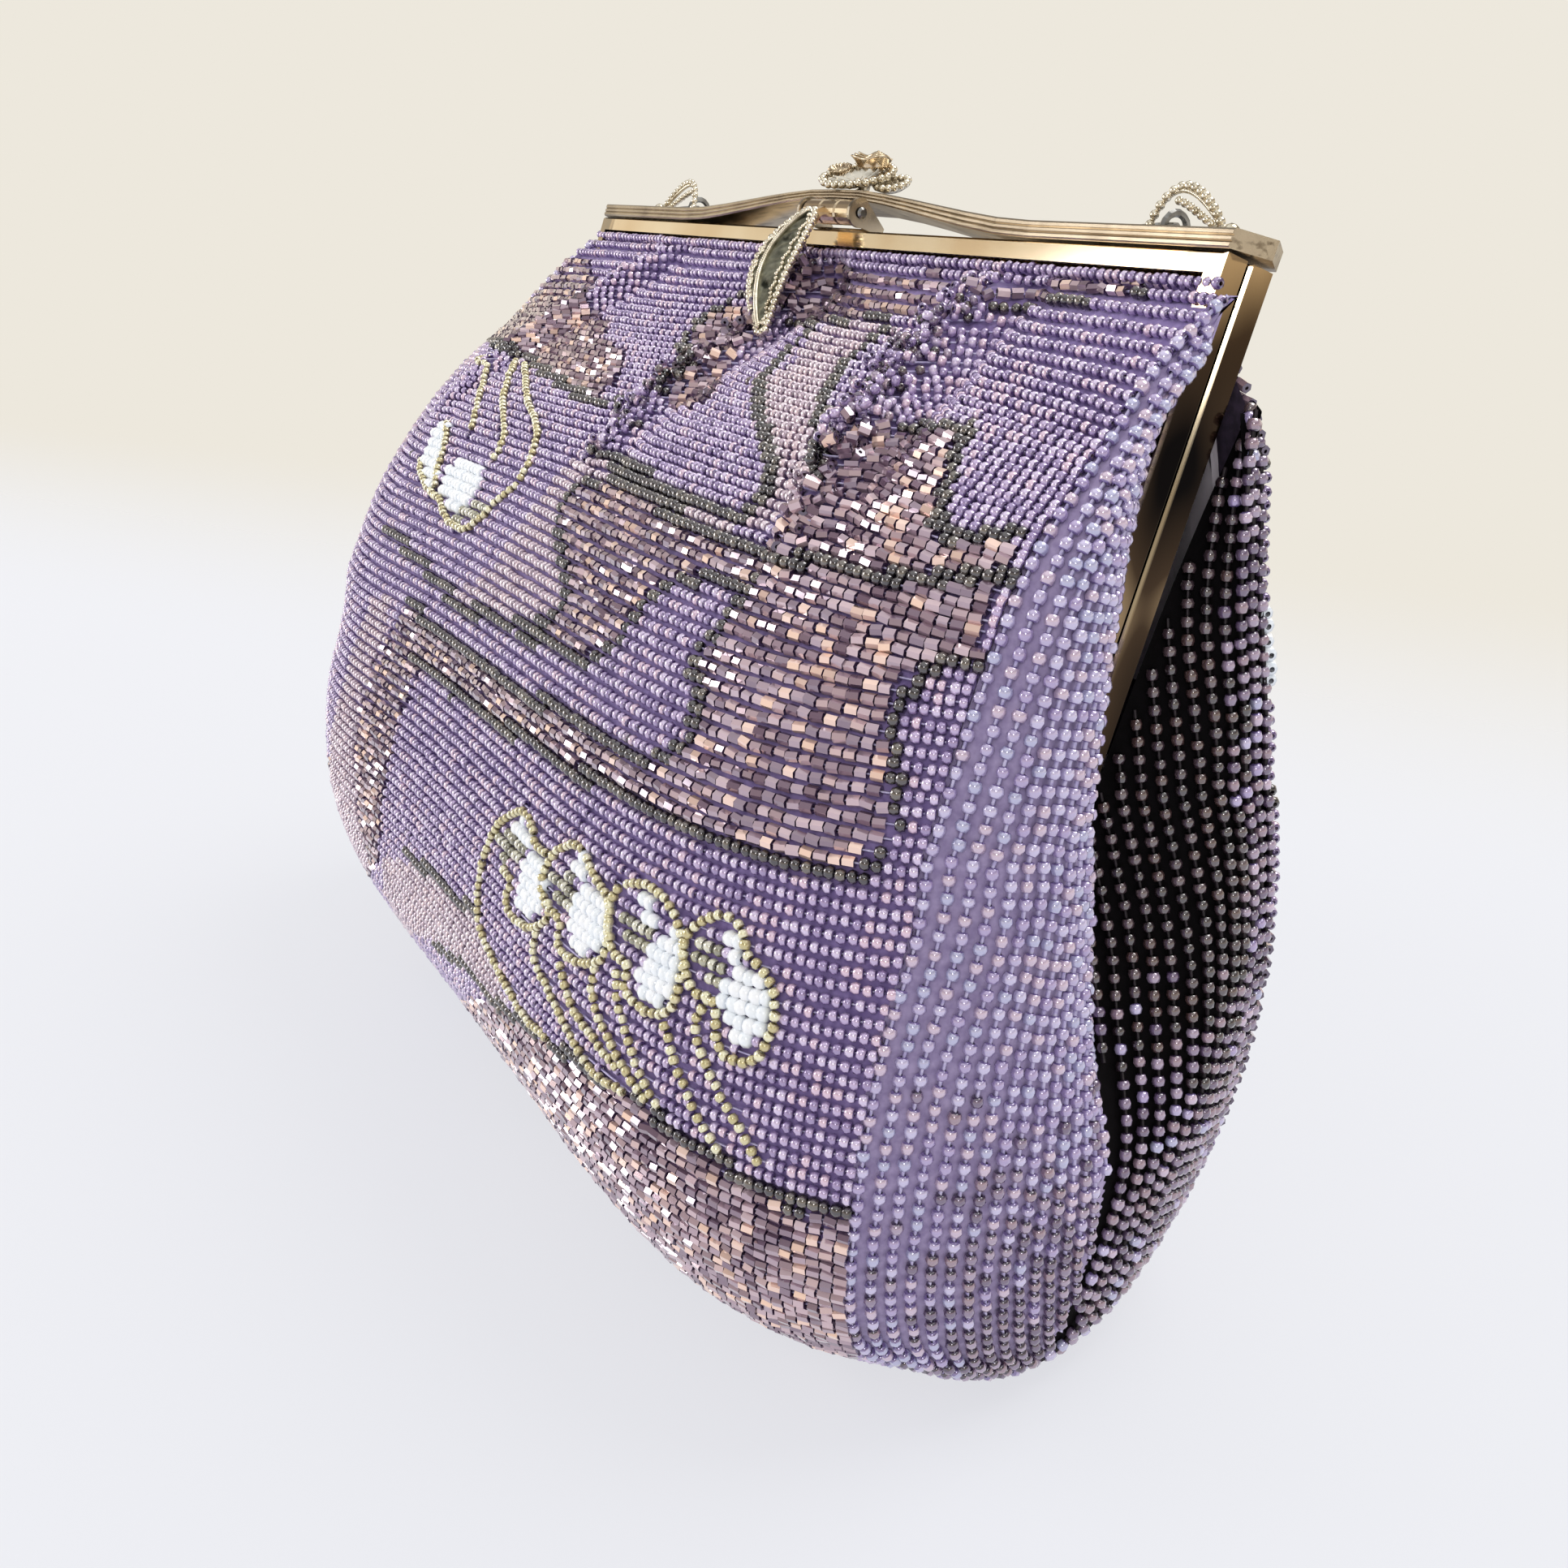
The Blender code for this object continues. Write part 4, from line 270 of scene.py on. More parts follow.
def over_leg(x, row):
    """Near the rail the cloth reaches over the leg's face to its outer edge."""
    near_rail = smooth_share(row, 0, CORNER_TOP_ROW)
    near_rail = near_rail * (1 - smooth_share(row, CORNER_START_ROW, CORNER_END_ROW))
    return x + np.maximum(CORNER_X - x, 0) * near_rail


def pleat_offsets(place, row):
    """How many half widths spots lie from the middle of each gather."""
    return [(place - centre - slant * row / PLEAT_SLANT_ROW_SHARE) / PLEAT_HALF_WIDTH_SHARE
            for centre, slant in zip(PLEAT_PLACE_SHARES, PLEAT_SLANT_SHARES)]


def row_fade(row, start, fade):
    """0 at the rail, 1 after the start row and 0 again where the gathers end."""
    return np.clip(row / start, 0, 1) * np.clip((PLEAT_END_ROW_SHARE - row) / fade, 0, 1)


def pleat_lift(place, row):
    """How far the gathers under the front rail stand out."""
    lift = np.zeros(np.broadcast(place, row).shape)
    fade = row_fade(row, PLEAT_START_ROW_SHARE, PLEAT_FADE_ROW_SHARE)
    for offset in pleat_offsets(place, row):
        dip = np.exp(-((np.abs(offset) - PLEAT_DIP_PLACE) ** 2))
        lift = lift + np.exp(-offset**2) - PLEAT_DIP_SHARE * dip
    hollow = np.exp(-(place / HOLLOW_HALF_WIDTH_SHARE) ** 2)
    hollow = hollow * np.exp(-((row - HOLLOW_ROW_SHARE) / HOLLOW_ROW_HALF_WIDTH_SHARE) ** 2)
    hollow = hollow * np.clip(row / (HOLLOW_ROW_SHARE / 2), 0, 1)
    return lift * fade * PLEAT_HEIGHT - hollow * HOLLOW_DEPTH


def on_pleat(place, row):
    """How much a spot lies on a gather, from 0 to 1."""
    share = np.zeros(np.broadcast(place, row).shape)
    for offset, loose in zip(pleat_offsets(place, row), PLEAT_LOOSE_SHARES):
        share = np.maximum(share, loose * np.exp(-offset**2))
    fade = row_fade(row, LOOSE_START_ROW_SHARE, LOOSE_FADE_ROW_SHARE)
    return share * fade


def panel_points(seam, middle, rows, place, row, front):
    """Points of a panel: place runs from -1 to 1 along it, row from the rail to the base."""
    place, row = np.broadcast_arrays(np.asarray(place, float), np.asarray(row, float))
    edge = shares_to_places(smooth_table(rows, seam, row))
    centre = shares_to_places(smooth_table(rows, middle, row))
    pull = (np.abs(place) ** BULGE_POWER)[..., None]
    points = edge * pull + centre * (1 - pull)
    points[..., 0] = edge[..., 0] * place
    points[..., 2] = np.maximum(points[..., 2], 0)
    if front:
        points[..., 0] = over_leg(edge[..., 0], row) * place
        points[..., 1] -= pleat_lift(place, row)
        height = np.clip(points[..., 2] / HINGE_HEIGHT, 0, 2)
        full = np.sin(np.clip(height / LEFT_FULLNESS_TOP, 0, 1) * math.pi)
        near_left = np.exp(-((points[..., 0] - LEFT_FULLNESS_X) / LEFT_FULLNESS_WIDTH) ** 2)
        points[..., 1] -= LEFT_FULLNESS * full * near_left * (1 - np.abs(place) ** LEFT_FULLNESS_POWER)
    return points


def front_points(place, row):
    return panel_points(FRONT_SEAM_SHARES, FRONT_MIDDLE_SHARES, FRONT_ROW_SHARES, place, row, True)


def back_points(place, row):
    return panel_points(BACK_SEAM_SHARES, BACK_MIDDLE_SHARES, BACK_ROW_SHARES, place, row, False)


def leg_side_points(row_places, side):
    """Where the gusset ends beside a leg, in front of it or behind it."""
    lip = side * (LEG_LIP + (CLOTH_THICKNESS if side > 0 else 0.0))
    points = np.array(row_places)
    reach = (points[..., 2] - HINGE_HEIGHT) / math.cos(LEAN_ANGLE)
    points[..., 0] = LEG_MIDDLE_X
    points[..., 1] = lip / math.cos(LEAN_ANGLE) + reach * math.sin(LEAN_ANGLE)
    return points


def gusset_rib(shares, row):
    return shares_to_places(smooth_table(GUSSET_ROW_SHARES, shares, row))


def gusset_ribs(row, half):
    front_seam = shares_to_places(smooth_table(FRONT_ROW_SHARES, FRONT_SEAM_SHARES, row))
    back_row = np.interp(row, GUSSET_ROW_SHARES, GUSSET_BACK_ROW_SHARES)
    back_seam = shares_to_places(smooth_table(BACK_ROW_SHARES, BACK_SEAM_SHARES, back_row))
    bulge = gusset_rib(GUSSET_BULGE_SHARES, row)
    fold = gusset_rib(GUSSET_FOLD_SHARES, row)
    valley = gusset_rib(GUSSET_VALLEY_SHARES, row)
    flank = gusset_rib(GUSSET_FLANK_SHARES, row)
    places = GUSSET_RIB_PLACE_SHARES
    if half == "front":
        return [front_seam, bulge, fold, leg_side_points(valley, -1)], places[:4]
    if half == "rear":
        return [leg_side_points(valley, 1), flank, back_seam], places[3:]
    return [front_seam, bulge, fold, valley, flank, back_seam], places


def gusset_points(across, row, half):
    """Points of the right gusset on one side of the leg; both sides meet below the hinge."""
    ribs, places = gusset_ribs(row, half)
    whole_ribs, whole_places = gusset_ribs(row, "whole")
    grid = np.empty((len(row), len(across), 3))
    for i, share in enumerate(row):
        apart = smooth_table(places, np.array([rib[i] for rib in ribs]), across)
        joined = smooth_table(whole_places, np.array([rib[i] for rib in whole_ribs]), across)
        past = share - HINGE_ROW_SHARE + HINGE_BLEND_ROW_SHARE / 2
        blend = np.clip(past / HINGE_BLEND_ROW_SHARE, 0, 1)
        grid[i] = apart * (1 - blend) + joined * blend
    if half == "front":
        grid[..., 0] = over_leg(grid[..., 0], np.asarray(row)[:, None])
    return grid


def grid_normals(grid):
    """Unit normals of a grid of points, turned away from the body's middle."""
    normals = np.cross(np.gradient(grid, axis=0), np.gradient(grid, axis=1))
    normals /= np.maximum(np.linalg.norm(normals, axis=-1, keepdims=True), 1e-12)
    outward = grid - np.array((0, 0, HINGE_HEIGHT))
    outward[..., 2] *= OUTWARD_HEIGHT_SHARE
    if (normals * outward).sum() < 0:
        normals = -normals
    return normals


def gusset_normals(grid, rows, half):
    """Normals of a gusset; where the front one is gathered beside the rail, they are one direction."""
    normals = grid_normals(grid)
    if half == "front":
        share = smooth_share(np.asarray(rows), GATHERED_END_ROW / 2, GATHERED_END_ROW)[:, None, None]
        normals = unit(normals * share + np.array(GATHERED_NORMAL) * (1 - share))
    return normals


def unit(vectors):
    return vectors / np.maximum(np.linalg.norm(vectors, axis=-1, keepdims=True), 1e-12)


def to_photo(points):
    """Where points lie in the photograph, in its pixels, and how far they are."""
    relative = points - CAMERA_PLACE
    depth = -(relative @ CAMERA_BACK)
    across = PHOTO_SIDE / 2 + FOCAL_PIXELS * (relative @ CAMERA_RIGHT) / depth
    down = PHOTO_SIDE / 2 - FOCAL_PIXELS * (relative @ CAMERA_UP) / depth
    return np.stack((across, down), axis=-1), depth


# The pattern: outlines and lines of each kind of bead, in the photograph's pixels
PATTERN_AREAS = {
    "copper": [
        [(975, 322), (1090, 333), (1155, 330), (1165, 352), (1150, 378), (1110, 380), (1040, 386),
         (985, 392), (960, 370)],
        [(1195, 340), (1290, 343), (1410, 336), (1408, 350), (1290, 362), (1200, 368)],
        [(600, 414), (660, 350), (690, 318), (719, 308), (735, 343), (719, 365), (748, 394), (738, 416),
         (764, 423), (767, 451), (744, 477), (735, 493), (703, 477), (674, 458), (655, 442), (630, 429)],
        [(845, 425), (865, 390), (905, 370), (945, 372), (940, 395), (905, 430), (890, 462), (868, 490),
         (830, 500), (812, 480), (822, 455)],
        [(687, 627), (700, 604), (719, 592), (748, 588), (814, 620), (870, 650), (934, 671), (953, 650),
         (966, 636), (988, 611), (1004, 585), (1017, 563), (1036, 534), (1061, 512), (1112, 522),
         (1192, 524), (1176, 547), (1170, 572), (1160, 595), (1151, 627), (1154, 652), (1250, 655),
         (1243, 687), (1230, 719), (1224, 748), (1215, 780), (1199, 818), (1160, 815), (1138, 824),
         (1119, 847), (1103, 872), (1097, 904), (1100, 942), (1101, 981), (1090, 1035), (1077, 1060),
         (1065, 1079), (1039, 1087), (998, 1076), (953, 1064), (902, 1044), (846, 1025), (783, 997),
         (719, 958), (655, 920), (591, 879), (553, 853), (502, 802), (490, 770), (508, 751), (528, 770),
         (553, 792), (591, 821), (636, 850), (681, 875), (735, 910), (767, 928), (799, 936), (829, 923),
         (845, 910), (848, 891), (857, 866), (861, 840), (848, 818), (873, 783), (899, 748), (918, 724),
         (896, 719), (846, 708), (824, 714), (799, 729), (783, 748), (767, 773), (754, 792), (738, 805),
         (716, 815), (697, 807), (671, 792), (636, 778), (661, 769), (684, 754), (697, 732), (693, 706),
         (687, 675), (684, 643)],
        [(560, 1235), (595, 1232), (631, 1260), (675, 1290), (720, 1322), (755, 1345), (812, 1388),
         (872, 1432), (932, 1472), (984, 1497), (1048, 1505), (1060, 1800), (700, 1800), (500, 1300)],
        [(380, 1060), (395, 960), (430, 860), (470, 790), (505, 745), (520, 800), (490, 880), (470, 960),
         (462, 1060), (450, 1100)],
    ],
    "pink": [
        [(1042, 386), (1105, 382), (1081, 402), (1036, 439), (1017, 467), (1007, 496), (1004, 525),
         (1004, 563), (998, 588), (979, 614), (950, 645), (921, 652), (870, 640), (800, 606), (745, 575),
         (745, 560), (800, 590), (870, 622), (915, 630), (943, 604), (950, 563), (940, 515), (937, 490),
         (943, 464), (979, 439), (998, 405)],
        [(744, 560), (700, 566), (687, 579), (661, 611), (639, 643), (620, 671), (604, 697), (579, 716),
         (552, 726), (559, 741), (598, 761), (630, 769), (661, 769), (684, 754), (697, 732), (693, 706),
         (687, 675), (684, 643), (687, 627), (700, 604), (719, 592), (748, 584)],
        [(405, 1010), (405, 900), (430, 800), (455, 740), (478, 730), (470, 790), (445, 850), (432, 930),
         (440, 1010), (455, 1070), (430, 1080)],
        [(470, 1060), (492, 1060), (528, 1082), (582, 1133), (598, 1165), (612, 1210), (625, 1240),
         (595, 1222), (570, 1186), (534, 1160), (500, 1150), (470, 1100)],
    ],
    "crystal": [
        [(607, 1030), (627, 1022), (645, 1046), (640, 1062), (615, 1060)],
        [(675, 1079), (700, 1075), (707, 1111), (699, 1135), (679, 1119)],
        [(755, 1127), (781, 1123), (804, 1147), (800, 1167), (769, 1171)],
        [(848, 1167), (872, 1155), (900, 1187), (892, 1211), (864, 1219)],
        [(556, 624), (592, 612), (600, 628), (580, 640), (556, 642)],
    ],
}
PATTERN_LINES = {
    "gunmetal": [
        [(975, 397), (1040, 390), (1100, 384)],
        [(1195, 384), (1240, 374), (1300, 366), (1400, 357)],
        [(604, 416), (630, 429), (655, 442), (674, 458), (703, 477), (735, 493), (772, 488)],
        [(940, 362), (905, 364), (868, 384), (840, 418), (846, 448), (815, 478)],
        [(735, 553), (770, 575), (800, 588), (850, 612), (911, 632)],
        [(687, 627), (700, 604), (719, 592), (748, 590), (814, 620), (870, 655), (934, 671)],
        [(998, 403), (965, 430), (937, 464), (931, 490), (936, 515), (946, 563), (940, 604), (915, 628)],
        [(1084, 404), (1040, 441), (1021, 469), (1011, 498), (1008, 527), (1008, 565), (1000, 590)],
        [(940, 684), (1023, 690), (1071, 703), (1119, 711), (1240, 706)],
        [(1110, 523), (1150, 521), (1192, 521), (1178, 547), (1172, 572), (1162, 595), (1153, 627),
         (1154, 657), (1200, 656), (1250, 652)],
        [(684, 643), (687, 675), (693, 706), (697, 732), (684, 754), (661, 769), (630, 769), (598, 761),
         (559, 741), (535, 718)],
        [(636, 778), (671, 792), (697, 807), (716, 815), (738, 805), (754, 792), (767, 773), (783, 748),
         (799, 729), (824, 714), (846, 708), (870, 712), (896, 719), (918, 724)],
        [(921, 712), (899, 748), (873, 783), (848, 818), (861, 840), (857, 866), (848, 891), (845, 910),
         (829, 923), (800, 936), (767, 928), (735, 910), (706, 891), (681, 875), (636, 850), (591, 821),
         (553, 792), (528, 770), (500, 738)],
        [(502, 802), (528, 831), (553, 853), (591, 879), (623, 898), (655, 920), (690, 942), (719, 958),
         (751, 977), (783, 997), (815, 1013), (846, 1025), (902, 1044), (953, 1064), (998, 1076),
         (1039, 1087), (1065, 1079), (1077, 1060), (1090, 1035), (1101, 1005), (1101, 981), (1100, 942),
         (1097, 904), (1103, 872), (1119, 847), (1138, 824), (1160, 815), (1199, 818)],
        [(470, 652), (496, 671), (528, 706), (553, 732)],
        [(496, 1051), (528, 1076), (553, 1102), (582, 1127)],
        [(534, 1167), (570, 1191), (595, 1227), (631, 1255), (675, 1287), (707, 1312), (755, 1340),
         (812, 1384), (872, 1428), (932, 1468), (984, 1492), (1045, 1500)],
    ],
    "gold": [
        [(607, 423), (591, 483), (579, 531)],
        [(636, 439), (620, 483), (617, 547), (604, 569)],
        [(646, 442), (649, 490), (661, 531), (652, 563), (636, 595), (610, 617), (588, 639), (566, 652),
         (547, 636), (540, 614), (528, 604), (518, 585), (516, 560)],
        [(550, 515), (547, 547), (537, 579), (534, 604)],
        [(675, 1054), (659, 1042), (655, 1018), (643, 1000), (611, 1018), (599, 1042), (589, 1083),
         (587, 1123), (591, 1147), (603, 1175), (627, 1223), (647, 1255), (675, 1283)],
        [(615, 1066), (627, 1083), (621, 1111), (631, 1131), (651, 1143), (669, 1137), (675, 1103)],
        [(719, 1050), (711, 1042), (687, 1046), (671, 1067), (669, 1111), (687, 1135), (687, 1167),
         (715, 1187), (739, 1183), (747, 1143), (749, 1111), (731, 1079), (719, 1050)],
        [(763, 1089), (751, 1111), (749, 1151), (755, 1175), (771, 1191), (767, 1215), (783, 1239),
         (812, 1251), (828, 1239), (836, 1211), (838, 1151), (820, 1111), (796, 1091), (763, 1089)],
        [(892, 1125), (864, 1135), (846, 1151), (842, 1191), (856, 1223), (876, 1231), (880, 1255),
         (884, 1291), (892, 1303), (932, 1305), (948, 1271), (954, 1231), (940, 1199), (920, 1175),
         (912, 1143), (892, 1125)],
        [(659, 1143), (655, 1175), (675, 1223), (707, 1287), (731, 1324), (771, 1348)],
        [(687, 1183), (699, 1231), (731, 1283), (760, 1320)],
        [(731, 1187), (727, 1223), (747, 1279), (771, 1324), (796, 1360)],
        [(759, 1191), (759, 1231), (775, 1291), (796, 1344), (812, 1368)],
        [(816, 1255), (828, 1304), (848, 1356), (868, 1396), (888, 1424)],
        [(876, 1227), (856, 1255), (864, 1304), (884, 1348), (912, 1396), (936, 1440)],
    ],
}
WHITE_AREAS = {
    "white": [
        [(537, 521), (550, 521), (540, 563), (534, 595), (523, 598), (518, 563)],
        [(547, 579), (566, 563), (594, 572), (588, 595), (575, 617), (559, 627), (543, 614), (540, 595)],
        [(627, 1012), (641, 1008), (653, 1040), (643, 1044)],
        [(649, 1054), (669, 1058), (671, 1099), (663, 1127), (647, 1131), (631, 1119), (635, 1083)],
        [(697, 1054), (715, 1054), (723, 1083), (713, 1093)],
        [(711, 1095), (727, 1087), (743, 1111), (745, 1151), (731, 1175), (699, 1173), (699, 1139),
         (707, 1111)],
        [(771, 1107), (796, 1107), (810, 1135), (804, 1143), (787, 1123)],
        [(812, 1147), (832, 1147), (836, 1191), (832, 1223), (812, 1241), (787, 1231), (779, 1207),
         (792, 1179)],
        [(880, 1143), (896, 1141), (916, 1175), (912, 1191), (900, 1179)],
        [(900, 1199), (932, 1207), (948, 1231), (944, 1263), (924, 1291), (896, 1291), (888, 1255),
         (886, 1219)],
    ],
}
KINDS = ["lavender", "pink", "copper", "gunmetal", "gold", "crystal", "white", "side", "mauve", "shade"]
BASE_ROW_SHARE = 0.915
LINE_HALF_WIDTHS = {"gold": 0.00070, "gunmetal": 0.00100}

# How finely the surfaces are read, and how far towards their edges
OUTWARD_HEIGHT_SHARE = 0.3
DOWN_STEPS = 900
ACROSS_STEPS = 420
BEAD_EDGE_PLACE = 0.9995
EDGE_PLACE = 0.995
VISIBLE_ROWS = (0.01, 0.97, 340)
CLOTH_EDGE_PLACE = 0.997
CLOTH_LAST_ROW = 0.998
GUSSET_STEPS = (260, 90)
GUSSET_CLOTH_STEPS = (130, 48)
MOST_COLUMNS = 60
SHORTEST_COLUMN_STEPS = 12
SHORTEST_RUN_STEPS = 8

# Where a thread's first bead sits, in pitches
ROW_START_SHARES = (0.25, 0.3)
STRING_START_SHARE = 0.3
WELT_START_SHARE = 0.4
COLUMN_START_SHARES = (0.85, 0.35)


def inside(spots, outline):
    """Whether spots lie inside a closed outline."""
    within = np.zeros(len(spots), bool)
    for (x1, y1), (x2, y2) in zip(outline, outline[1:] + outline[:1]):
        if y1 == y2:
            continue
        crossing = (spots[:, 1] > min(y1, y2)) & (spots[:, 1] <= max(y1, y2))
        at = x1 + (spots[:, 1] - y1) * (x2 - x1) / (y2 - y1)
        within ^= crossing & (spots[:, 0] < at)
    return within


def distance_to_line(spots, to_surface, line):
    """How far spots lie from a line, measured along the surface in metres."""
    nearest = np.full(len(spots), np.inf)
    for start, end in zip(line, line[1:]):
        offset = np.einsum("nij,nj->ni", to_surface, np.array(start, float) - spots)
        along = to_surface @ (np.array(end, float) - np.array(start, float))
        share = np.clip(-(offset * along).sum(1) / (along * along).sum(1), 0, 1)
        nearest = np.minimum(nearest, np.linalg.norm(offset + share[:, None] * along, axis=1))
    return nearest


def paint_areas(kinds, spots, areas):
    for name, outlines in areas.items():
        for outline in outlines:
            kinds[inside(spots, outline)] = KINDS.index(name)


def pattern_kinds(places, rows):
    """Which kind of bead sits at each place of the front."""
    points = front_points(places, rows)
    beside = front_points(places + MATCH_STEP_SHARE, rows)
    below = front_points(places, rows + MATCH_STEP_SHARE)
    spots, _ = to_photo(points)
    steps = [(to_photo(other)[0] - spots) / np.linalg.norm(other - points, axis=1)[:, None]
             for other in (beside, below)]
    to_surface = np.linalg.inv(np.stack(steps, axis=-1))
    kinds = np.full(len(points), KINDS.index("lavender"))
    paint_areas(kinds, spots, PATTERN_AREAS)
    for name, lines in PATTERN_LINES.items():
        for line in lines:
            near = distance_to_line(spots, to_surface, line) < LINE_HALF_WIDTHS[name]
            kinds[near] = KINDS.index(name)
    paint_areas(kinds, spots, WHITE_AREAS)
    kinds[rows > BASE_ROW_SHARE] = KINDS.index("copper")
    return kinds


def arc_lengths(points):
    """How far along a line each of its points lies."""
    return np.concatenate(([0.0], np.cumsum(np.linalg.norm(np.diff(points, axis=0), axis=1))))


def read_along(table, reach, wanted):
    """The rows of a line's table, read at the wanted lengths along it."""
    return np.stack([np.interp(wanted, reach, table[:, axis]) for axis in range(3)], axis=-1)


def thread_spots(points, normals, pitch, first):
    """Even places along a thread: points, tangents, normals and shares of its length, then the length."""
    reach = arc_lengths(points)
    count = max(int(reach[-1] / pitch - first), 0)
    wanted = (np.arange(count) + first) * reach[-1] / max(count + 2 * first - 1, 1)
    tables = (points, np.gradient(points, axis=0), normals)
    return *(read_along(table, reach, wanted) for table in tables), wanted / reach[-1], reach[-1]


def row_shares(surface, pitch):
    """Rows a thread's pitch apart, measured down the panel's middle."""
    samples = np.linspace(0.0, 1.0, DOWN_STEPS)
    reach = arc_lengths(surface(np.array([ROW_MEASURE_PLACE]), samples[:, None])[:, 0])
    return np.interp(np.arange(FIRST_ROW_PLACE_SHARE * pitch, reach[-1], pitch), reach, samples)


def panel_beads(surface, kinds_at):
    """Every bead of a panel: places, tangents, normals, place shares, rows and kinds, and its row threads."""
    rows = row_shares(surface, ROW_PITCH)
    place = np.linspace(-BEAD_EDGE_PLACE, BEAD_EDGE_PLACE, ACROSS_STEPS)
    grid = surface(place[None, :], rows[:, None])
    normals = grid_normals(grid)
    cut = KINDS.index("copper")
    sewn = KINDS.index("gold")
    found = []
    for i, row in enumerate(rows):
        reach = arc_lengths(grid[i])
        row_found = []
        for pitch, cuts in ((CUT_BEAD_PITCH, True), (BEAD_PITCH, False)):
            shift = ROW_START_SHARES[0] + ROW_START_SHARES[1] * random.random()
            spots, tangents, outward, share, length = thread_spots(grid[i], normals[i], pitch, shift)
            places = np.interp(share * length, reach, place)
            kinds = kinds_at(places, np.full(len(places), row))
            chosen = ((kinds == cut) == cuts) & (kinds != sewn)
            if not cuts and row_found:
                taken = row_found[0][0]
                if len(taken):
                    apart = np.linalg.norm(spots[:, None] - taken[None], axis=-1).min(axis=1)
                    chosen &= apart > (CUT_BEAD_LENGTH + BEAD_LENGTH) * KINDS_APART_SHARE
            row_found.append([part[chosen] for part in (
                spots, tangents, outward, places, np.full(len(places), row), kinds)])
        found += row_found
    beads = [np.concatenate([part[k] for part in found]) for k in range(6)]
    return beads, grid[:, ::3], normals[:, ::3]


def gusset_columns(half):
    """Threads of the right gusset that run beside its seam, from the rail down to the base."""
    first = GUSSET_FRONT_FIRST_ROW if half == "front" else GUSSET_REAR_FIRST_ROW
    rows = np.linspace(first, GUSSET_LAST_ROW, GUSSET_STEPS[0])
    edge = 0.0 if half == "front" else GUSSET_REAR_EDGE_PLACE
    across = np.linspace(edge, VALLEY_PLACE_SHARE, GUSSET_STEPS[1])
    grid = gusset_points(across, rows, half)
    normals = gusset_normals(grid, rows, half)
    steps = np.linalg.norm(np.diff(grid, axis=1), axis=-1)
    reach = np.concatenate((np.zeros((len(rows), 1)), np.cumsum(steps, axis=1)), axis=1)
    columns = []
    for k in range(MOST_COLUMNS):
        wanted = GUSSET_COLUMN_PITCH * (k + FIRST_COLUMN_PLACE_SHARE)
        here = reach[:, -1] > wanted + LAST_COLUMN_MARGIN_SHARE * GUSSET_COLUMN_PITCH
        runs = np.flatnonzero(here)
        if len(runs) < SHORTEST_COLUMN_STEPS:
            break
        points, outward = (
            np.array([read_along(table[i], reach[i], wanted) for i in runs]) for table in (grid, normals))
        breaks = np.flatnonzero(np.diff(runs) > 1) + 1
        for part in np.split(np.arange(len(runs)), breaks):
            if len(part) > SHORTEST_RUN_STEPS:
                columns.append((points[part], outward[part], rows[runs[part]], k))
    return columns


# Sides of a round bead and of one cut as a tube, and their profiles: place along and radius, as shares
BEAD_SIDES = 8
BEAD_PROFILE = [(-0.50, 0.34), (-0.41, 0.78), (0.0, 1.0), (0.41, 0.78), (0.50, 0.34)]
CUT_BEAD_SIDES = 6
CUT_BEAD_PROFILE = [(-0.50, 0.34), (-0.49, 0.93), (0.49, 0.93), (0.50, 0.34)]


def bead_template(kind):
    """One bead along x: ring points, quads between rings and which quads are its ends."""
    cut = kind == "copper"
    sides, profile = (CUT_BEAD_SIDES, CUT_BEAD_PROFILE) if cut else (BEAD_SIDES, BEAD_PROFILE)
    turns = np.arange(sides) * 2 * math.pi / sides
    points = [(t, r * math.cos(a), r * math.sin(a)) for t, r in profile for a in turns]
    quads = []
    ends = []
    for ring in range(len(profile) - 1):
        for i in range(sides):
            j = (i + 1) % sides
            quads.append((ring * sides + i, ring * sides + j, (ring + 1) * sides + j, (ring + 1) * sides + i))
            ends.append(ring in (0, len(profile) - 2))
    return np.array(points), np.array(quads), np.array(ends)


def add_object(name, data):
    made = bpy.data.objects.new(name, data)
    bpy.context.scene.collection.objects.link(made)
    return made


def mesh_object(name, points, quads, slots, materials, smooth=True):
    """An object from arrays of points and quads, with a material slot for each quad."""
    mesh = bpy.data.meshes.new(name)
    mesh.vertices.add(len(points))
    mesh.vertices.foreach_set("co", np.ascontiguousarray(points, np.float32).ravel())
    mesh.loops.add(quads.size)
    mesh.loops.foreach_set("vertex_index", np.ascontiguousarray(quads, np.int32).ravel())
    mesh.polygons.add(len(quads))
    mesh.polygons.foreach_set("loop_start", np.arange(len(quads), dtype=np.int32) * quads.shape[1])
    mesh.polygons.foreach_set("material_index", np.asarray(slots, np.int32))
    mesh.polygons.foreach_set("use_smooth", np.full(len(quads), smooth))
    mesh.update(calc_edges=True)
    for material in materials:
        mesh.materials.append(material)
    return add_object(name, mesh)


def plain_object(name, points, quads, material, smooth=True):
    """An object of one material."""
    return mesh_object(name, points, quads, np.zeros(len(quads)), [material], smooth)


def linear(red, green, blue):
    """A colour as it shows on the screen, from 0 to 255, for a shader."""
    shares = np.array((red, green, blue)) / 255
    return tuple(np.where(shares <= 0.04045, shares / 12.92, ((shares + 0.055) / 1.055) ** 2.4)) + (1.0,)


def feed(tree, node, inputs):
    """Sets a node's inputs: an output is linked to its input, any other value is written into it."""
    for socket, value in inputs.items():
        if isinstance(value, bpy.types.NodeSocket):
            tree.links.new(value, node.inputs[socket])
        else:
            node.inputs[socket].default_value = value


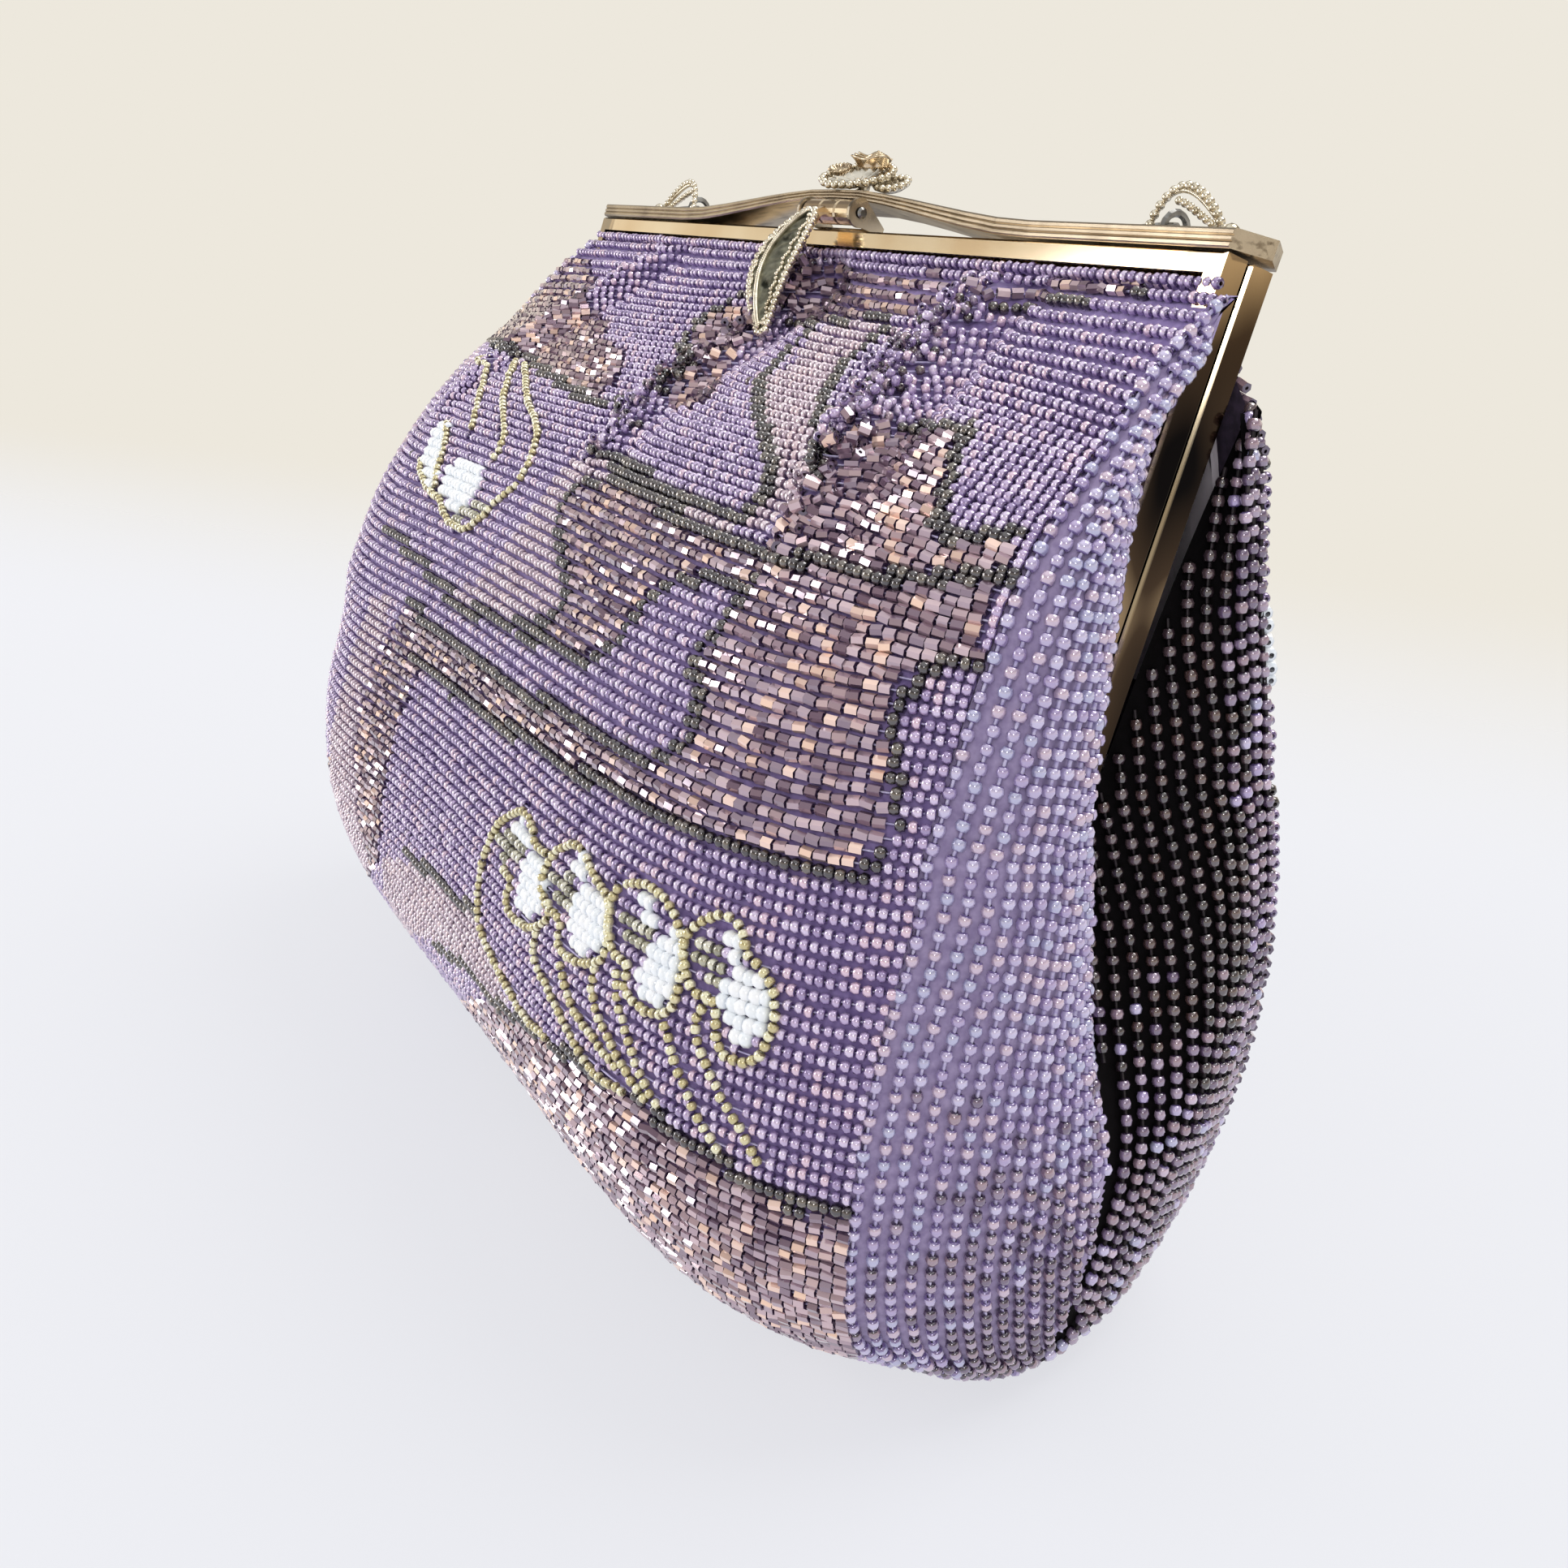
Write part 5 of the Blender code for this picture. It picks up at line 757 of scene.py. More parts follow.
def add_node(tree, kind, inputs=None, output=0, **settings):
    """Adds a node with its settings and inputs, and gives back one of its outputs."""
    node = tree.nodes.new(f"ShaderNode{kind}")
    for name, value in settings.items():
        setattr(node, name, value)
    feed(tree, node, inputs or {})
    return node.outputs[output]


def new_shader(name, inputs=None):
    """A material, its node tree and its shader."""
    material = bpy.data.materials.new(name)
    material.use_nodes = True
    tree = material.node_tree
    shader = tree.nodes["Principled BSDF"]
    feed(tree, shader, inputs or {})
    return material, tree, shader


def bead_material(name, colour, roughness, metallic, coat):
    return new_shader(name, {
        "Base Color": colour, "Roughness": roughness, "Metallic": metallic, "IOR": BEAD_IOR,
        "Coat Weight": coat, "Coat Roughness": COAT_ROUGHNESS, "Coat IOR": COAT_IOR})[0]


# Tones of each kind of bead, as shown, the tone of its ends, then roughness, metal and coat
BEAD_LOOKS = {
    "lavender": ([(192, 170, 210), (216, 198, 230), (156, 134, 182), (222, 192, 214)],
                 (96, 74, 126), 0.16, 0.30, 1.0),
    "side": ([(188, 174, 212), (202, 192, 226), (176, 158, 202), (206, 184, 206), (184, 182, 216)],
             (126, 108, 162), 0.16, 0.25, 1.0),
    "pink": ([(216, 194, 208), (234, 216, 226), (194, 170, 186), (226, 200, 208)],
             (128, 104, 126), 0.18, 0.25, 1.0),
    # The copper's bright third tone is partly the beads' copper lining and partly a painted glint on their
    # cut faces.
    "copper": ([(176, 150, 164), (132, 106, 126), (248, 212, 196), (204, 176, 184)],
               (76, 56, 86), 0.14, 0.42, 1.0),
    "gunmetal": ([(70, 62, 64), (52, 46, 52), (104, 96, 90)], (26, 20, 28), 0.16, 0.60, 1.0),
    "gold": ([(222, 212, 164), (202, 188, 134), (240, 234, 196)], (134, 118, 78), 0.18, 0.35, 1.0),
    "crystal": ([(176, 172, 148), (142, 138, 118), (226, 222, 204)], (92, 88, 74), 0.08, 0.25, 1.0),
    "white": ([(252, 253, 255), (244, 248, 252)], (226, 232, 240), 0.30, 0.0, 0.6),
    "mauve": ([(140, 120, 148), (170, 150, 174), (108, 88, 118), (156, 130, 146)],
              (58, 42, 68), 0.14, 0.25, 1.0),
    # shade: near-black beads that stand in for beads lying in shadow, painted shade
    "shade": ([(74, 58, 66), (96, 78, 84), (50, 38, 44), (86, 64, 64)], (10, 7, 9), 0.14, 0.20, 1.0),
}
TONE_CHANCES = {
    "copper": (0.34, 0.30, 0.14, 0.22),
    "lavender": (0.36, 0.22, 0.24, 0.18),
}


def bead_materials(kind):
    tones, end, roughness, metallic, coat = BEAD_LOOKS[kind]
    return [bead_material(f"{kind}_bead_{i + 1}", linear(*tone), roughness, metallic, coat)
            for i, tone in enumerate(tones + [end])]


looks = {kind: bead_materials(kind) for kind in KINDS}


def add_beads(name, kind, centres, tangents, normals, radius, length, finish, loose=None):
    """Pieces of beads of one kind, each few enough for one piece. loose is how far each is out of line."""
    template, quads, ends = bead_template(kind)
    tones = len(BEAD_LOOKS[kind][0])
    loose = np.zeros(len(centres)) if loose is None else loose
    for start in range(0, len(centres), MOST_BEADS_IN_PIECE):
        part = slice(start, start + MOST_BEADS_IN_PIECE)
        count = len(centres[part])
        slack = loose[part, None]
        tilt = random.normal(0, 1, (count, 3)) * (BEAD_TILT + LOOSE_TILT * slack)
        along = unit(unit(tangents[part]) + tilt)
        outward = unit(normals[part] - along * (normals[part] * along).sum(1)[:, None])
        jitter = random.normal(0, 1, (count, 3)) * (BEAD_JITTER + LOOSE_JITTER * slack)
        middle = centres[part] + jitter
        middle = middle + normals[part] * slack * random.random((count, 1)) * LOOSE_RISE
        across = np.cross(outward, along)
        spin = random.random(count)[:, None] * 2 * math.pi
        side_a = outward * np.cos(spin) + across * np.sin(spin)
        side_b = np.cross(along, side_a)
        size = (radius * random.normal(1, BEAD_SIZE_SPREAD, count))[:, None, None]
        stretch = (length * random.normal(1, BEAD_LENGTH_SPREAD, count))[:, None, None]
        ring = template[None, :, 1:2] * side_a[:, None] + template[None, :, 2:] * side_b[:, None]
        points = middle[:, None] + template[None, :, :1] * stretch * along[:, None]
        points = points + size * ring
        points[..., 2] = np.maximum(points[..., 2], FLOOR_GAP)
        faces = quads[None] + (np.arange(count) * len(template))[:, None, None]
        tone = random.choice(tones, count, p=TONE_CHANCES.get(kind))
        slots = np.where(ends[None, :], tones, tone[:, None])
        piece = mesh_object(
            f"{name}_{kind}_beads_{start // MOST_BEADS_IN_PIECE + 1}", points.reshape(-1, 3),
            faces.reshape(-1, 4), slots.ravel(), looks[kind], kind != "copper")
        finish(piece)


def turning(piece):
    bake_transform(piece)


def on_bag(piece):
    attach(piece, "bag")


# Materials with nodes
def object_coordinates(tree, scale=(1, 1, 1)):
    place = add_node(tree, "TexCoord", output="Object")
    return add_node(tree, "Mapping", {"Scale": scale, "Vector": place})


def colour_ramp(tree, factor, stops):
    """A factor turned into colours by a ramp of (place, colour) stops."""
    ramp = tree.nodes.new("ShaderNodeValToRGB")
    elements = ramp.color_ramp.elements
    while len(elements) < len(stops):
        elements.new(0.5)
    for element, (place, colour) in zip(elements, stops):
        element.position = place
        element.color = colour
    feed(tree, ramp, {"Fac": factor})
    return ramp.outputs["Color"]


def add_noise(tree, vector, scale, detail):
    return add_node(tree, "TexNoise", {"Scale": scale, "Detail": detail, "Vector": vector}, "Fac")


def noise_ramp(tree, vector, scale, detail, stops):
    """Noise turned into colours by a ramp."""
    return colour_ramp(tree, add_noise(tree, vector, scale, detail), stops)


def range_of(tree, value, low, high):
    return add_node(tree, "MapRange", {"Value": value, "To Min": low, "To Max": high})


def smooth_range(tree, value, start, end):
    """0 before start, 1 after end and smooth between them."""
    inputs = {"Value": value, "From Min": start, "From Max": end}
    return add_node(tree, "MapRange", inputs, interpolation_type="SMOOTHSTEP")


def dot_product(tree, vector, direction):
    return add_node(tree, "VectorMath", {0: vector, 1: direction}, "Value", operation="DOT_PRODUCT")


def add_bump(tree, shader, height, strength, distance):
    inputs = {"Strength": strength, "Distance": distance, "Height": height}
    feed(tree, shader, {"Normal": add_node(tree, "Bump", inputs)})


LEG_INNER_X = 0.0802
LEG_FADE = 0.0006
# The legs' long dark and golden bands below are painted reflections of the surroundings in the polished
# metal.
LEG_BAND_STRETCH = (200, 40, 24)
LEG_PAINTED_REFLECTION_BANDS = [
    (0.40, linear(16, 13, 12)), (0.48, linear(70, 55, 41)), (0.56, linear(184, 156, 118)),
    (0.65, linear(26, 21, 18)),
]
# The rail's own light metal tones; a share of them is also mixed over the legs as a painted highlight at
# their edges.
RAIL_TONES_AND_EDGE_HIGHLIGHTS = [(0.35, linear(255, 240, 210)), (0.65, linear(240, 216, 178))]
# Painted highlight across each leg's face: a share of the rail's tones in stripes at its edges, none between
# them.
PAINTED_EDGE_HIGHLIGHT = (0.4, 0.4, 0.4, 1)
NO_PAINTED_HIGHLIGHT = (0, 0, 0, 1)
LEG_PAINTED_EDGE_HIGHLIGHTS = [(0.0, PAINTED_EDGE_HIGHLIGHT), (0.08, PAINTED_EDGE_HIGHLIGHT), (0.13, NO_PAINTED_HIGHLIGHT), (0.84, NO_PAINTED_HIGHLIGHT), (0.91, PAINTED_EDGE_HIGHLIGHT)]


def painted_reflection_leg_material():
    """Polished legs with painted reflections in long dark and golden bands, and painted highlights in light
    stripes along their edges; the rail above them keeps its light metal tones.
    """
    material, tree, shader = new_shader("champagne_metal_legs_painted_reflections", {"Metallic": 1.0, "Roughness": 0.10})
    vector = object_coordinates(tree)
    bands = noise_ramp(tree, object_coordinates(tree, LEG_BAND_STRETCH), 1.0, 1.5, LEG_PAINTED_REFLECTION_BANDS)
    light = noise_ramp(tree, vector, 60.0, 2.0, RAIL_TONES_AND_EDGE_HIGHLIGHTS)
    x = add_node(tree, "SeparateXYZ", {"Vector": vector}, "X")
    side = add_node(tree, "Math", {0: x}, operation="ABSOLUTE")
    rail = smooth_range(tree, side, LEG_INNER_X + LEG_FADE, LEG_INNER_X - LEG_FADE)
    slant = dot_product(tree, vector, (0, math.cos(LEAN_ANGLE), -math.sin(LEAN_ANGLE)))
    offset = add_node(tree, "Math", {0: slant, 1: HINGE_HEIGHT * math.sin(LEAN_ANGLE)}, operation="ADD")
    away = add_node(tree, "Math", {0: offset}, operation="ABSOLUTE")
    share = add_node(tree, "MapRange", {"Value": away, "From Max": LEG_LIP})
    edges = colour_ramp(tree, share, LEG_PAINTED_EDGE_HIGHLIGHTS)
    either = add_node(tree, "Math", {0: rail, 1: edges}, operation="MAXIMUM")
    mixed = add_node(tree, "Mix", {"Factor": either, "A": bands, "B": light}, "Result", data_type="RGBA")
    feed(tree, shader, {"Base Color": mixed})
    return material


ROUGHNESS_SPREAD = 0.22
WEAR_RANGE = (-1.6, 1.9)


def metal_material(name, base, worn, stretch, roughness, wear_scale):
    """Plated metal with drawn lines, worn patches and a change of polish."""
    material, tree, shader = new_shader(name, {"Metallic": 1.0})
    base, worn = linear(*base), linear(*worn)
    lines = noise_ramp(
        tree, object_coordinates(tree, stretch), 1.0, 4.0, [(0.30, worn), (0.48, base), (0.75, base)])
    patch = add_noise(tree, object_coordinates(tree), wear_scale, 5.0)
    inputs = {"Factor": range_of(tree, patch, *WEAR_RANGE), "A": lines, "B": worn}
    feed(tree, shader, {
        "Base Color": add_node(tree, "Mix", inputs, "Result", data_type="RGBA"),
        "Roughness": range_of(tree, patch, roughness, roughness + ROUGHNESS_SPREAD)})
    return material


# Each metal's base and worn colour, the stretch of its drawn lines, roughness and scale of wear
champagne = metal_material(
    "champagne_metal_polished", (226, 206, 176), (176, 158, 132), (60, 60, 60), 0.08, 30.0)
bar_metal = metal_material(
    "champagne_metal_striped", (186, 172, 149), (124, 110, 91), (8, 1500, 1500), 0.13, 110.0)
leg_metal_painted_reflections = painted_reflection_leg_material()
bright = metal_material("bright_metal_worn", (216, 210, 198), (120, 112, 100), (260, 260, 260), 0.16, 200.0)
rope_metal = metal_material(
    "bright_metal_rope", (236, 228, 210), (168, 156, 132), (300, 300, 300), 0.12, 300.0)
leaf_face = metal_material("bright_metal_veined", (140, 140, 124), (48, 50, 42), (420, 420, 420), 0.20, 420.0)
bracket_metal = metal_material(
    "champagne_metal_worn", (196, 184, 164), (96, 92, 88), (180, 180, 180), 0.16, 160.0)
ring_steel = metal_material("ring_steel_grey", (160, 160, 158), (96, 92, 88), (300, 300, 300), 0.20, 240.0)

NODE_FINISHES = {
    "bow_bar": bar_metal, "bow_bar_rivet_left": bar_metal, "bow_bar_rivet_right": bar_metal,
    "front_frame": leg_metal_painted_reflections, "rear_frame": leg_metal_painted_reflections, "clasp_bracket": bracket_metal,
}
NODE_METALS = {"champagne_metal": champagne, "bright_metal": bright, "steel_ring": ring_steel}


def dress_metal():
    """Every metal CAD node gets its own finish by the slot that it has."""
    for name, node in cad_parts.items():
        for slot in node.material_slots:
            known = next((m for key, m in NODE_METALS.items() if slot.material.name.startswith(key)), None)
            if known is None:
                continue
            slot.material = NODE_FINISHES.get(name, known)


# Scale and roughness of the weaves, and the strength and height of their relief
WEAVES = {"cloth": (900.0, 0.8, 0.5, 0.0002), "thread": (1500.0, 0.6, 0.3, 0.0001)}


def woven_material(name, weave, dark, light, sheen=0.0, specular=0.5):
    """Ground cloth or thread with its weave."""
    scale, roughness, strength, height = WEAVES[weave]
    material, tree, shader = new_shader(
        name, {"Roughness": roughness, "Sheen Weight": sheen, "Specular IOR Level": specular})
    noise = add_noise(tree, object_coordinates(tree), scale, 2.0)
    stops = [(0.3, linear(*dark)), (0.7, linear(*light))]
    feed(tree, shader, {"Base Color": colour_ramp(tree, noise, stops)})
    add_bump(tree, shader, noise, strength, height)
    return material


SATIN_TONES = [(0.3, linear(176, 166, 178)), (0.7, linear(206, 198, 206))]
SATIN_STRETCH = (600, 600, 4000)
SATIN_RELIEF = 0.00012


def satin_material():
    material, tree, shader = new_shader("lining_satin_soft", {"Roughness": 0.36, "Sheen Weight": 0.4})
    feed(tree, shader, {"Base Color": noise_ramp(tree, object_coordinates(tree), 40.0, 4.0, SATIN_TONES)})
    fine = add_noise(tree, object_coordinates(tree, SATIN_STRETCH), 1.0, 3.0)
    add_bump(tree, shader, fine, 0.25, SATIN_RELIEF)
    return material


cloth = woven_material("purple_ground_cloth", "cloth", (124, 103, 160), (158, 137, 192), 0.3)
side_cloth = woven_material("purple_side_cloth", "cloth", (150, 134, 174), (180, 164, 200), 0.3)
back_ground = woven_material("purple_back_cloth", "cloth", (54, 42, 64), (82, 66, 94), 0.1)
# Painted shade: the rear gusset half's cloth and thread are made near black for the shadow in its fold.
painted_shade_cloth = woven_material("purple_cloth_painted_shade", "cloth", (3, 2, 3), (9, 6, 9), 0.0, 0.1)
thread = woven_material("lavender_thread", "thread", (176, 164, 212), (222, 214, 242))
painted_shade_thread = woven_material("shaded_thread", "thread", (18, 12, 16), (44, 34, 42))
satin = satin_material()


def grid_quads(rows, columns):
    """The quads between a grid's points."""
    index = np.arange(rows * columns).reshape(rows, columns)
    corners = (index[:-1, :-1], index[:-1, 1:], index[1:, 1:], index[1:, :-1])
    return np.stack(corners, axis=-1).reshape(-1, 4)


def grid_object(name, grid, material):
    made = plain_object(name, grid.reshape(-1, 3), grid_quads(*grid.shape[:2]), material)
    return made


def mirror(vectors, hand):
    turned = np.array(vectors)
    turned[..., 0] *= hand
    return turned


def thread_tube(points, normals, radius):
    """A thin three-sided thread along a row or column."""
    side = unit(np.cross(normals, unit(np.gradient(points, axis=0))))
    rings = [points + radius * (math.cos(a) * normals + math.sin(a) * side) for a in THREAD_TURNS]
    base = (np.arange(len(points) - 1) * 3)[:, None]
    turn = np.arange(3)[None, :]
    after = (turn + 1) % 3
    quads = np.stack((base + turn, base + after, base + 3 + after, base + 3 + turn), axis=-1)
    return np.stack(rings, axis=1).reshape(-1, 3), quads.reshape(-1, 4)


def threads_object(name, lines, radius, material, hand=1):
    """Threads along lines of points and normals, as one object."""
    grids, quads = [], []
    offset = 0
    for points, normals in lines:
        grid, faces = thread_tube(points, normals, radius)
        grids.append(grid)
        quads.append(faces + offset)
        offset += len(grid)
    made = plain_object(name, mirror(np.concatenate(grids), hand), np.concatenate(quads), material)
    return made


# Panels
def panel_cloth(name, surface, across_steps, down_steps, material):
    """A panel's ground cloth, just below its beads."""
    place = np.linspace(-CLOTH_EDGE_PLACE, CLOTH_EDGE_PLACE, across_steps)
    row = np.linspace(0.0, CLOTH_LAST_ROW, down_steps)
    grid = surface(place[None, :], row[:, None])
    return grid_object(name, grid - grid_normals(grid) * CLOTH_DEPTH, material)


front_cloth = panel_cloth("front_cloth", front_points, 160, 150, cloth)
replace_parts(front_cloth, "front_panel_upper", "front_panel_lower")
back_cloth = panel_cloth("back_cloth", back_points, 120, 120, back_ground)
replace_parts(back_cloth, "back_panel")
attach(back_cloth, "bag")
turning(front_cloth)


def second_layer(beads):
    """Beads bunched on top of the gathers, a share of those below them."""
    spots, tangents, outward, places, rows, kinds = beads
    slack = on_pleat(places, rows)
    chosen = random.random(len(slack)) < (slack - SECOND_LAYER_START) * SECOND_LAYER_GROWTH
    count = chosen.sum()
    rise = SECOND_LAYER_RISE * (SECOND_LAYER_LEAST_SHARE + random.random((count, 1)))
    aside = unit(np.cross(outward[chosen], tangents[chosen])) * random.normal(0, 1, (count, 1))
    moved = spots[chosen] + outward[chosen] * rise + aside * SECOND_LAYER_SPREAD
    kept = [np.concatenate((part, part[chosen])) for part in (tangents, outward, places, rows, kinds)]
    return [np.concatenate((spots, moved)), *kept]


def gather_painted_shade(beads):
    """Darker beads among the lavender ones of the gathers: mauve ones, partly the clumps' own darker glass
    and partly painted shade, and near-black ones that are painted shade.
    """
    spots, tangents, outward, places, rows, kinds = beads
    chance = random.random(len(kinds)) / np.maximum(on_pleat(places, rows), LEAST_PLEAT_SHARE)
    plain = kinds == KINDS.index("lavender")
    kinds = np.where(plain & (chance < GATHER_MAUVE_PAINTED_SHADE_SHARE), KINDS.index("mauve"), kinds)
    kinds = np.where(plain & (chance < GATHER_PAINTED_SHADE_SHARE), KINDS.index("shade"), kinds)
    return [spots, tangents, outward, places, rows, kinds]


def add_panel_beads(name, beads, slack, finish):
    """The pieces of a panel's beads, kind by kind."""
    spots, tangents, outward, _, _, kinds = beads
    for index, kind in enumerate(KINDS):
        chosen = kinds == index
        if not chosen.any():
            continue
        length = CUT_BEAD_LENGTH if kind == "copper" else BEAD_LENGTH
        size = KIND_SIZE_SHARES.get(kind, 1.0)
        add_beads(
            name, kind, (spots - outward * BEAD_RADIUS)[chosen], tangents[chosen], outward[chosen],
            BEAD_RADIUS * size, length * size, finish, slack[chosen])


def back_kinds(places, rows):
    """The back has the front's pattern, as seen from behind."""
    front_row = np.interp(rows, GUSSET_BACK_ROW_SHARES, GUSSET_ROW_SHARES)
    return pattern_kinds(-places, front_row)


def visible_places():
    """A tree of the front's places that the photograph shows, by their pixels."""
    place = np.linspace(-EDGE_PLACE, EDGE_PLACE, ACROSS_STEPS)
    row = np.linspace(*VISIBLE_ROWS)
    grid = front_points(place[None, :], row[:, None])
    spots, _ = to_photo(grid)
    facing = (grid_normals(grid) * (CAMERA_PLACE - grid)).sum(-1) > 0
    known = np.argwhere(facing)
    tree = KDTree(len(known))
    for index, (i, j) in enumerate(known):
        tree.insert((spots[i, j, 0], spots[i, j, 1], 0.0), index)
    tree.balance()
    return tree, np.stack((place[known[:, 1]], row[known[:, 0]]), axis=1)


def gold_strings(surface, to_place):
    """Strings of gold beads sewn on top along the pattern's gold lines."""
    tree, known = visible_places()
    parts = []
    average = np.ones(STRING_AVERAGE) / STRING_AVERAGE
    for line in PATTERN_LINES["gold"]:
        line = np.array(line, float)
        reach = arc_lengths(line)
        curve = smooth_table(reach, line, np.arange(0, reach[-1], STRING_STEP_PIXELS))
        matched = np.array([known[tree.find((x, y, 0.0))[1]] for x, y in curve])
        places, rows = to_place(*[np.convolve(matched[:, k], average, mode="valid") for k in (0, 1)])
        points = surface(places, rows)
        right = surface(places + MATCH_STEP_SHARE, rows) - points
        below = surface(places, rows + MATCH_STEP_SHARE) - points
        normals = unit(np.cross(right, below))
        normals *= np.sign((normals * (points - np.array(BODY_MIDDLE))).sum(1))[:, None]
        spots, tangents, outward, _, _ = thread_spots(points, normals, STRING_PITCH, STRING_START_SHARE)
        parts.append((spots, tangents, outward))
    return [np.concatenate([part[k] for part in parts]) for k in range(3)]


def add_strings(name, surface, to_place, finish):
    spots, tangents, outward = gold_strings(surface, to_place)
    centres = spots - outward * (BEAD_RADIUS - STRING_RISE)
    radius = BEAD_RADIUS * STRING_SIZE_SHARE
    add_beads(f"{name}_sewn", "gold", centres, tangents, outward, radius, BEAD_LENGTH, finish)


def front_place(places, rows):
    return places, rows


def back_place(places, rows):
    return -places, np.interp(rows, GUSSET_ROW_SHARES, GUSSET_BACK_ROW_SHARES)


def add_welt(name, surface, finish):
    """The row of beads tucked against the rail's lower edge."""
    place = np.linspace(-EDGE_PLACE, EDGE_PLACE, ACROSS_STEPS)
    grid = surface(place[None, :], np.array([[WELT_ROW_SHARE], [2 * WELT_ROW_SHARE]]))
    normals = grid_normals(grid)
    spots, tangents, outward, _, _ = thread_spots(grid[0], normals[0], BEAD_PITCH, WELT_START_SHARE)
    add_beads(f"{name}_welt", "lavender", spots, tangents, outward, BEAD_RADIUS, BEAD_LENGTH, finish)


def add_row_threads(name, grid, normals, finish):
    lines = [(line - way * BEAD_RADIUS, way) for line, way in zip(grid, normals)]
    finish(threads_object(f"{name}_row_threads", lines, ROW_THREAD_RADIUS, thread))


beads, thread_grid, thread_normals = panel_beads(front_points, pattern_kinds)
beads = gather_painted_shade(second_layer(beads))
add_panel_beads("front", beads, on_pleat(beads[3], beads[4]), turning)
add_strings("front", front_points, front_place, turning)
add_welt("front", front_points, turning)
add_row_threads("front", thread_grid, thread_normals, turning)
beads, thread_grid, thread_normals = panel_beads(back_points, back_kinds)
add_panel_beads("back", beads, np.zeros(len(beads[0])), on_bag)
add_strings("back", back_points, back_place, on_bag)
add_row_threads("back", thread_grid, thread_normals, on_bag)


# Gussets
# Where the mauve beads of the front half begin, and where the painted shade of near-black beads in the rear
# half's fold ends
LOWER_START_ROW = 0.60
LOWER_FADE_ROWS = 0.22
LOWER_PLACE = 0.25
LOWER_LEAST_SHARE = 0.2
PAINTED_SHADE_END_ROW = 0.66
PAINTED_SHADE_FADE_ROWS = 0.10
PAINTED_SHADE_END_PLACE = 0.93
PAINTED_SHADE_FADE_PLACES = 0.08


def gusset_kinds(half, rows, across):
    """Lavender near the front, mauve below and behind, and near-black beads in the fold beside the leg as
    painted shade.
    """
    chance = random.random(len(rows))
    kinds = np.full(len(rows), KINDS.index("side"))
    if half == "front":
        lower = np.clip((rows - LOWER_START_ROW) / LOWER_FADE_ROWS, 0, 1)
        lower = lower * np.clip(across / LOWER_PLACE, LOWER_LEAST_SHARE, 1)
        kinds[chance < lower] = KINDS.index("mauve")
        return kinds
    kinds[chance < REAR_MAUVE_SHARE] = KINDS.index("mauve")
    # Painted shade: near-black beads in the rear half's fold beside the leg.
    painted_shade = np.clip((PAINTED_SHADE_END_ROW - rows) / PAINTED_SHADE_FADE_ROWS, 0, 1)
    painted_shade = painted_shade * np.clip((PAINTED_SHADE_END_PLACE - across) / PAINTED_SHADE_FADE_PLACES, 0, 1)
    kinds[random.random(len(rows)) < painted_shade] = KINDS.index("shade")
    return kinds


def gusset_lines(half):
    """Beads and thread lines of the right gusset's half."""
    parts, lines = [], []
    for points, normals, column_rows, number in gusset_columns(half):
        spots, tangents, outward, share, _ = thread_spots(
            points, normals, GUSSET_BEAD_PITCH, COLUMN_START_SHARES[number % 2])
        if len(spots) == 0:
            continue
        lines.append((points - normals * GUSSET_BEAD_RADIUS, normals))
        rows = np.interp(share, np.linspace(0, 1, len(column_rows)), column_rows)
        parts.append((spots, tangents, outward, rows, np.full(len(rows), number)))
    beads = [np.concatenate([part[k] for part in parts]) for k in range(5)]
    return beads, lines


CLOTH_OVERLAP_SHARE = 0.004
GUSSET_CLOTH_END_ROW = 0.965

# The ends across, first row, cloth, sewing thread, channel, nodes and finish of each half
GUSSET_HALVES = {
    "front": ((0.0, VALLEY_PLACE_SHARE + CLOTH_OVERLAP_SHARE), GUSSET_FRONT_FIRST_ROW, side_cloth, thread,
              "front_frame", ("front", "lower"), turning),
    # The rear half's near-black cloth and thread are painted shade.
    "rear": ((VALLEY_PLACE_SHARE - CLOTH_OVERLAP_SHARE, GUSSET_REAR_EDGE_PLACE), GUSSET_REAR_FIRST_ROW,
             painted_shade_cloth, painted_shade_thread, "rear_frame", ("rear",), on_bag),
}


def add_gusset(half):
    """Both gussets' half: cloth, threads and beads."""
    ends, first, ground, sewing, channel, nodes, finish = GUSSET_HALVES[half]
    cloth_rows = np.linspace(first, GUSSET_CLOTH_END_ROW, GUSSET_CLOTH_STEPS[0])
    cloth_grid = gusset_points(np.linspace(*ends, GUSSET_CLOTH_STEPS[1]), cloth_rows, half)
    cloth_grid = cloth_grid - gusset_normals(cloth_grid, cloth_rows, half) * CLOTH_DEPTH
    (spots, tangents, outward, rows, numbers), lines = gusset_lines(half)
    across = numbers / numbers.max()
    if half == "front":
        across = across * VALLEY_PLACE_SHARE
    else:
        across = 1 - across * (1 - VALLEY_PLACE_SHARE)
    kinds = gusset_kinds(half, rows, across)
    for side_name, hand in (("left", -1), ("right", 1)):
        node = f"gusset_{side_name}"
        name = f"{node}_{half}"
        panel = grid_object(f"{name}_cloth", mirror(cloth_grid, hand), ground)
        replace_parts(panel, *[f"{node}_{part}" for part in nodes])
        finish(panel)
        finish(threads_object(f"{name}_threads", lines, GUSSET_THREAD_RADIUS, sewing, hand))
        for index, kind in enumerate(KINDS):
            chosen = kinds == index
            if chosen.any():
                add_beads(
                    name, kind, mirror((spots - outward * GUSSET_BEAD_RADIUS)[chosen], hand),
                    mirror(tangents[chosen], hand), mirror(outward[chosen], hand),
                    GUSSET_BEAD_RADIUS, GUSSET_BEAD_LENGTH, finish)


add_gusset("front")
add_gusset("rear")


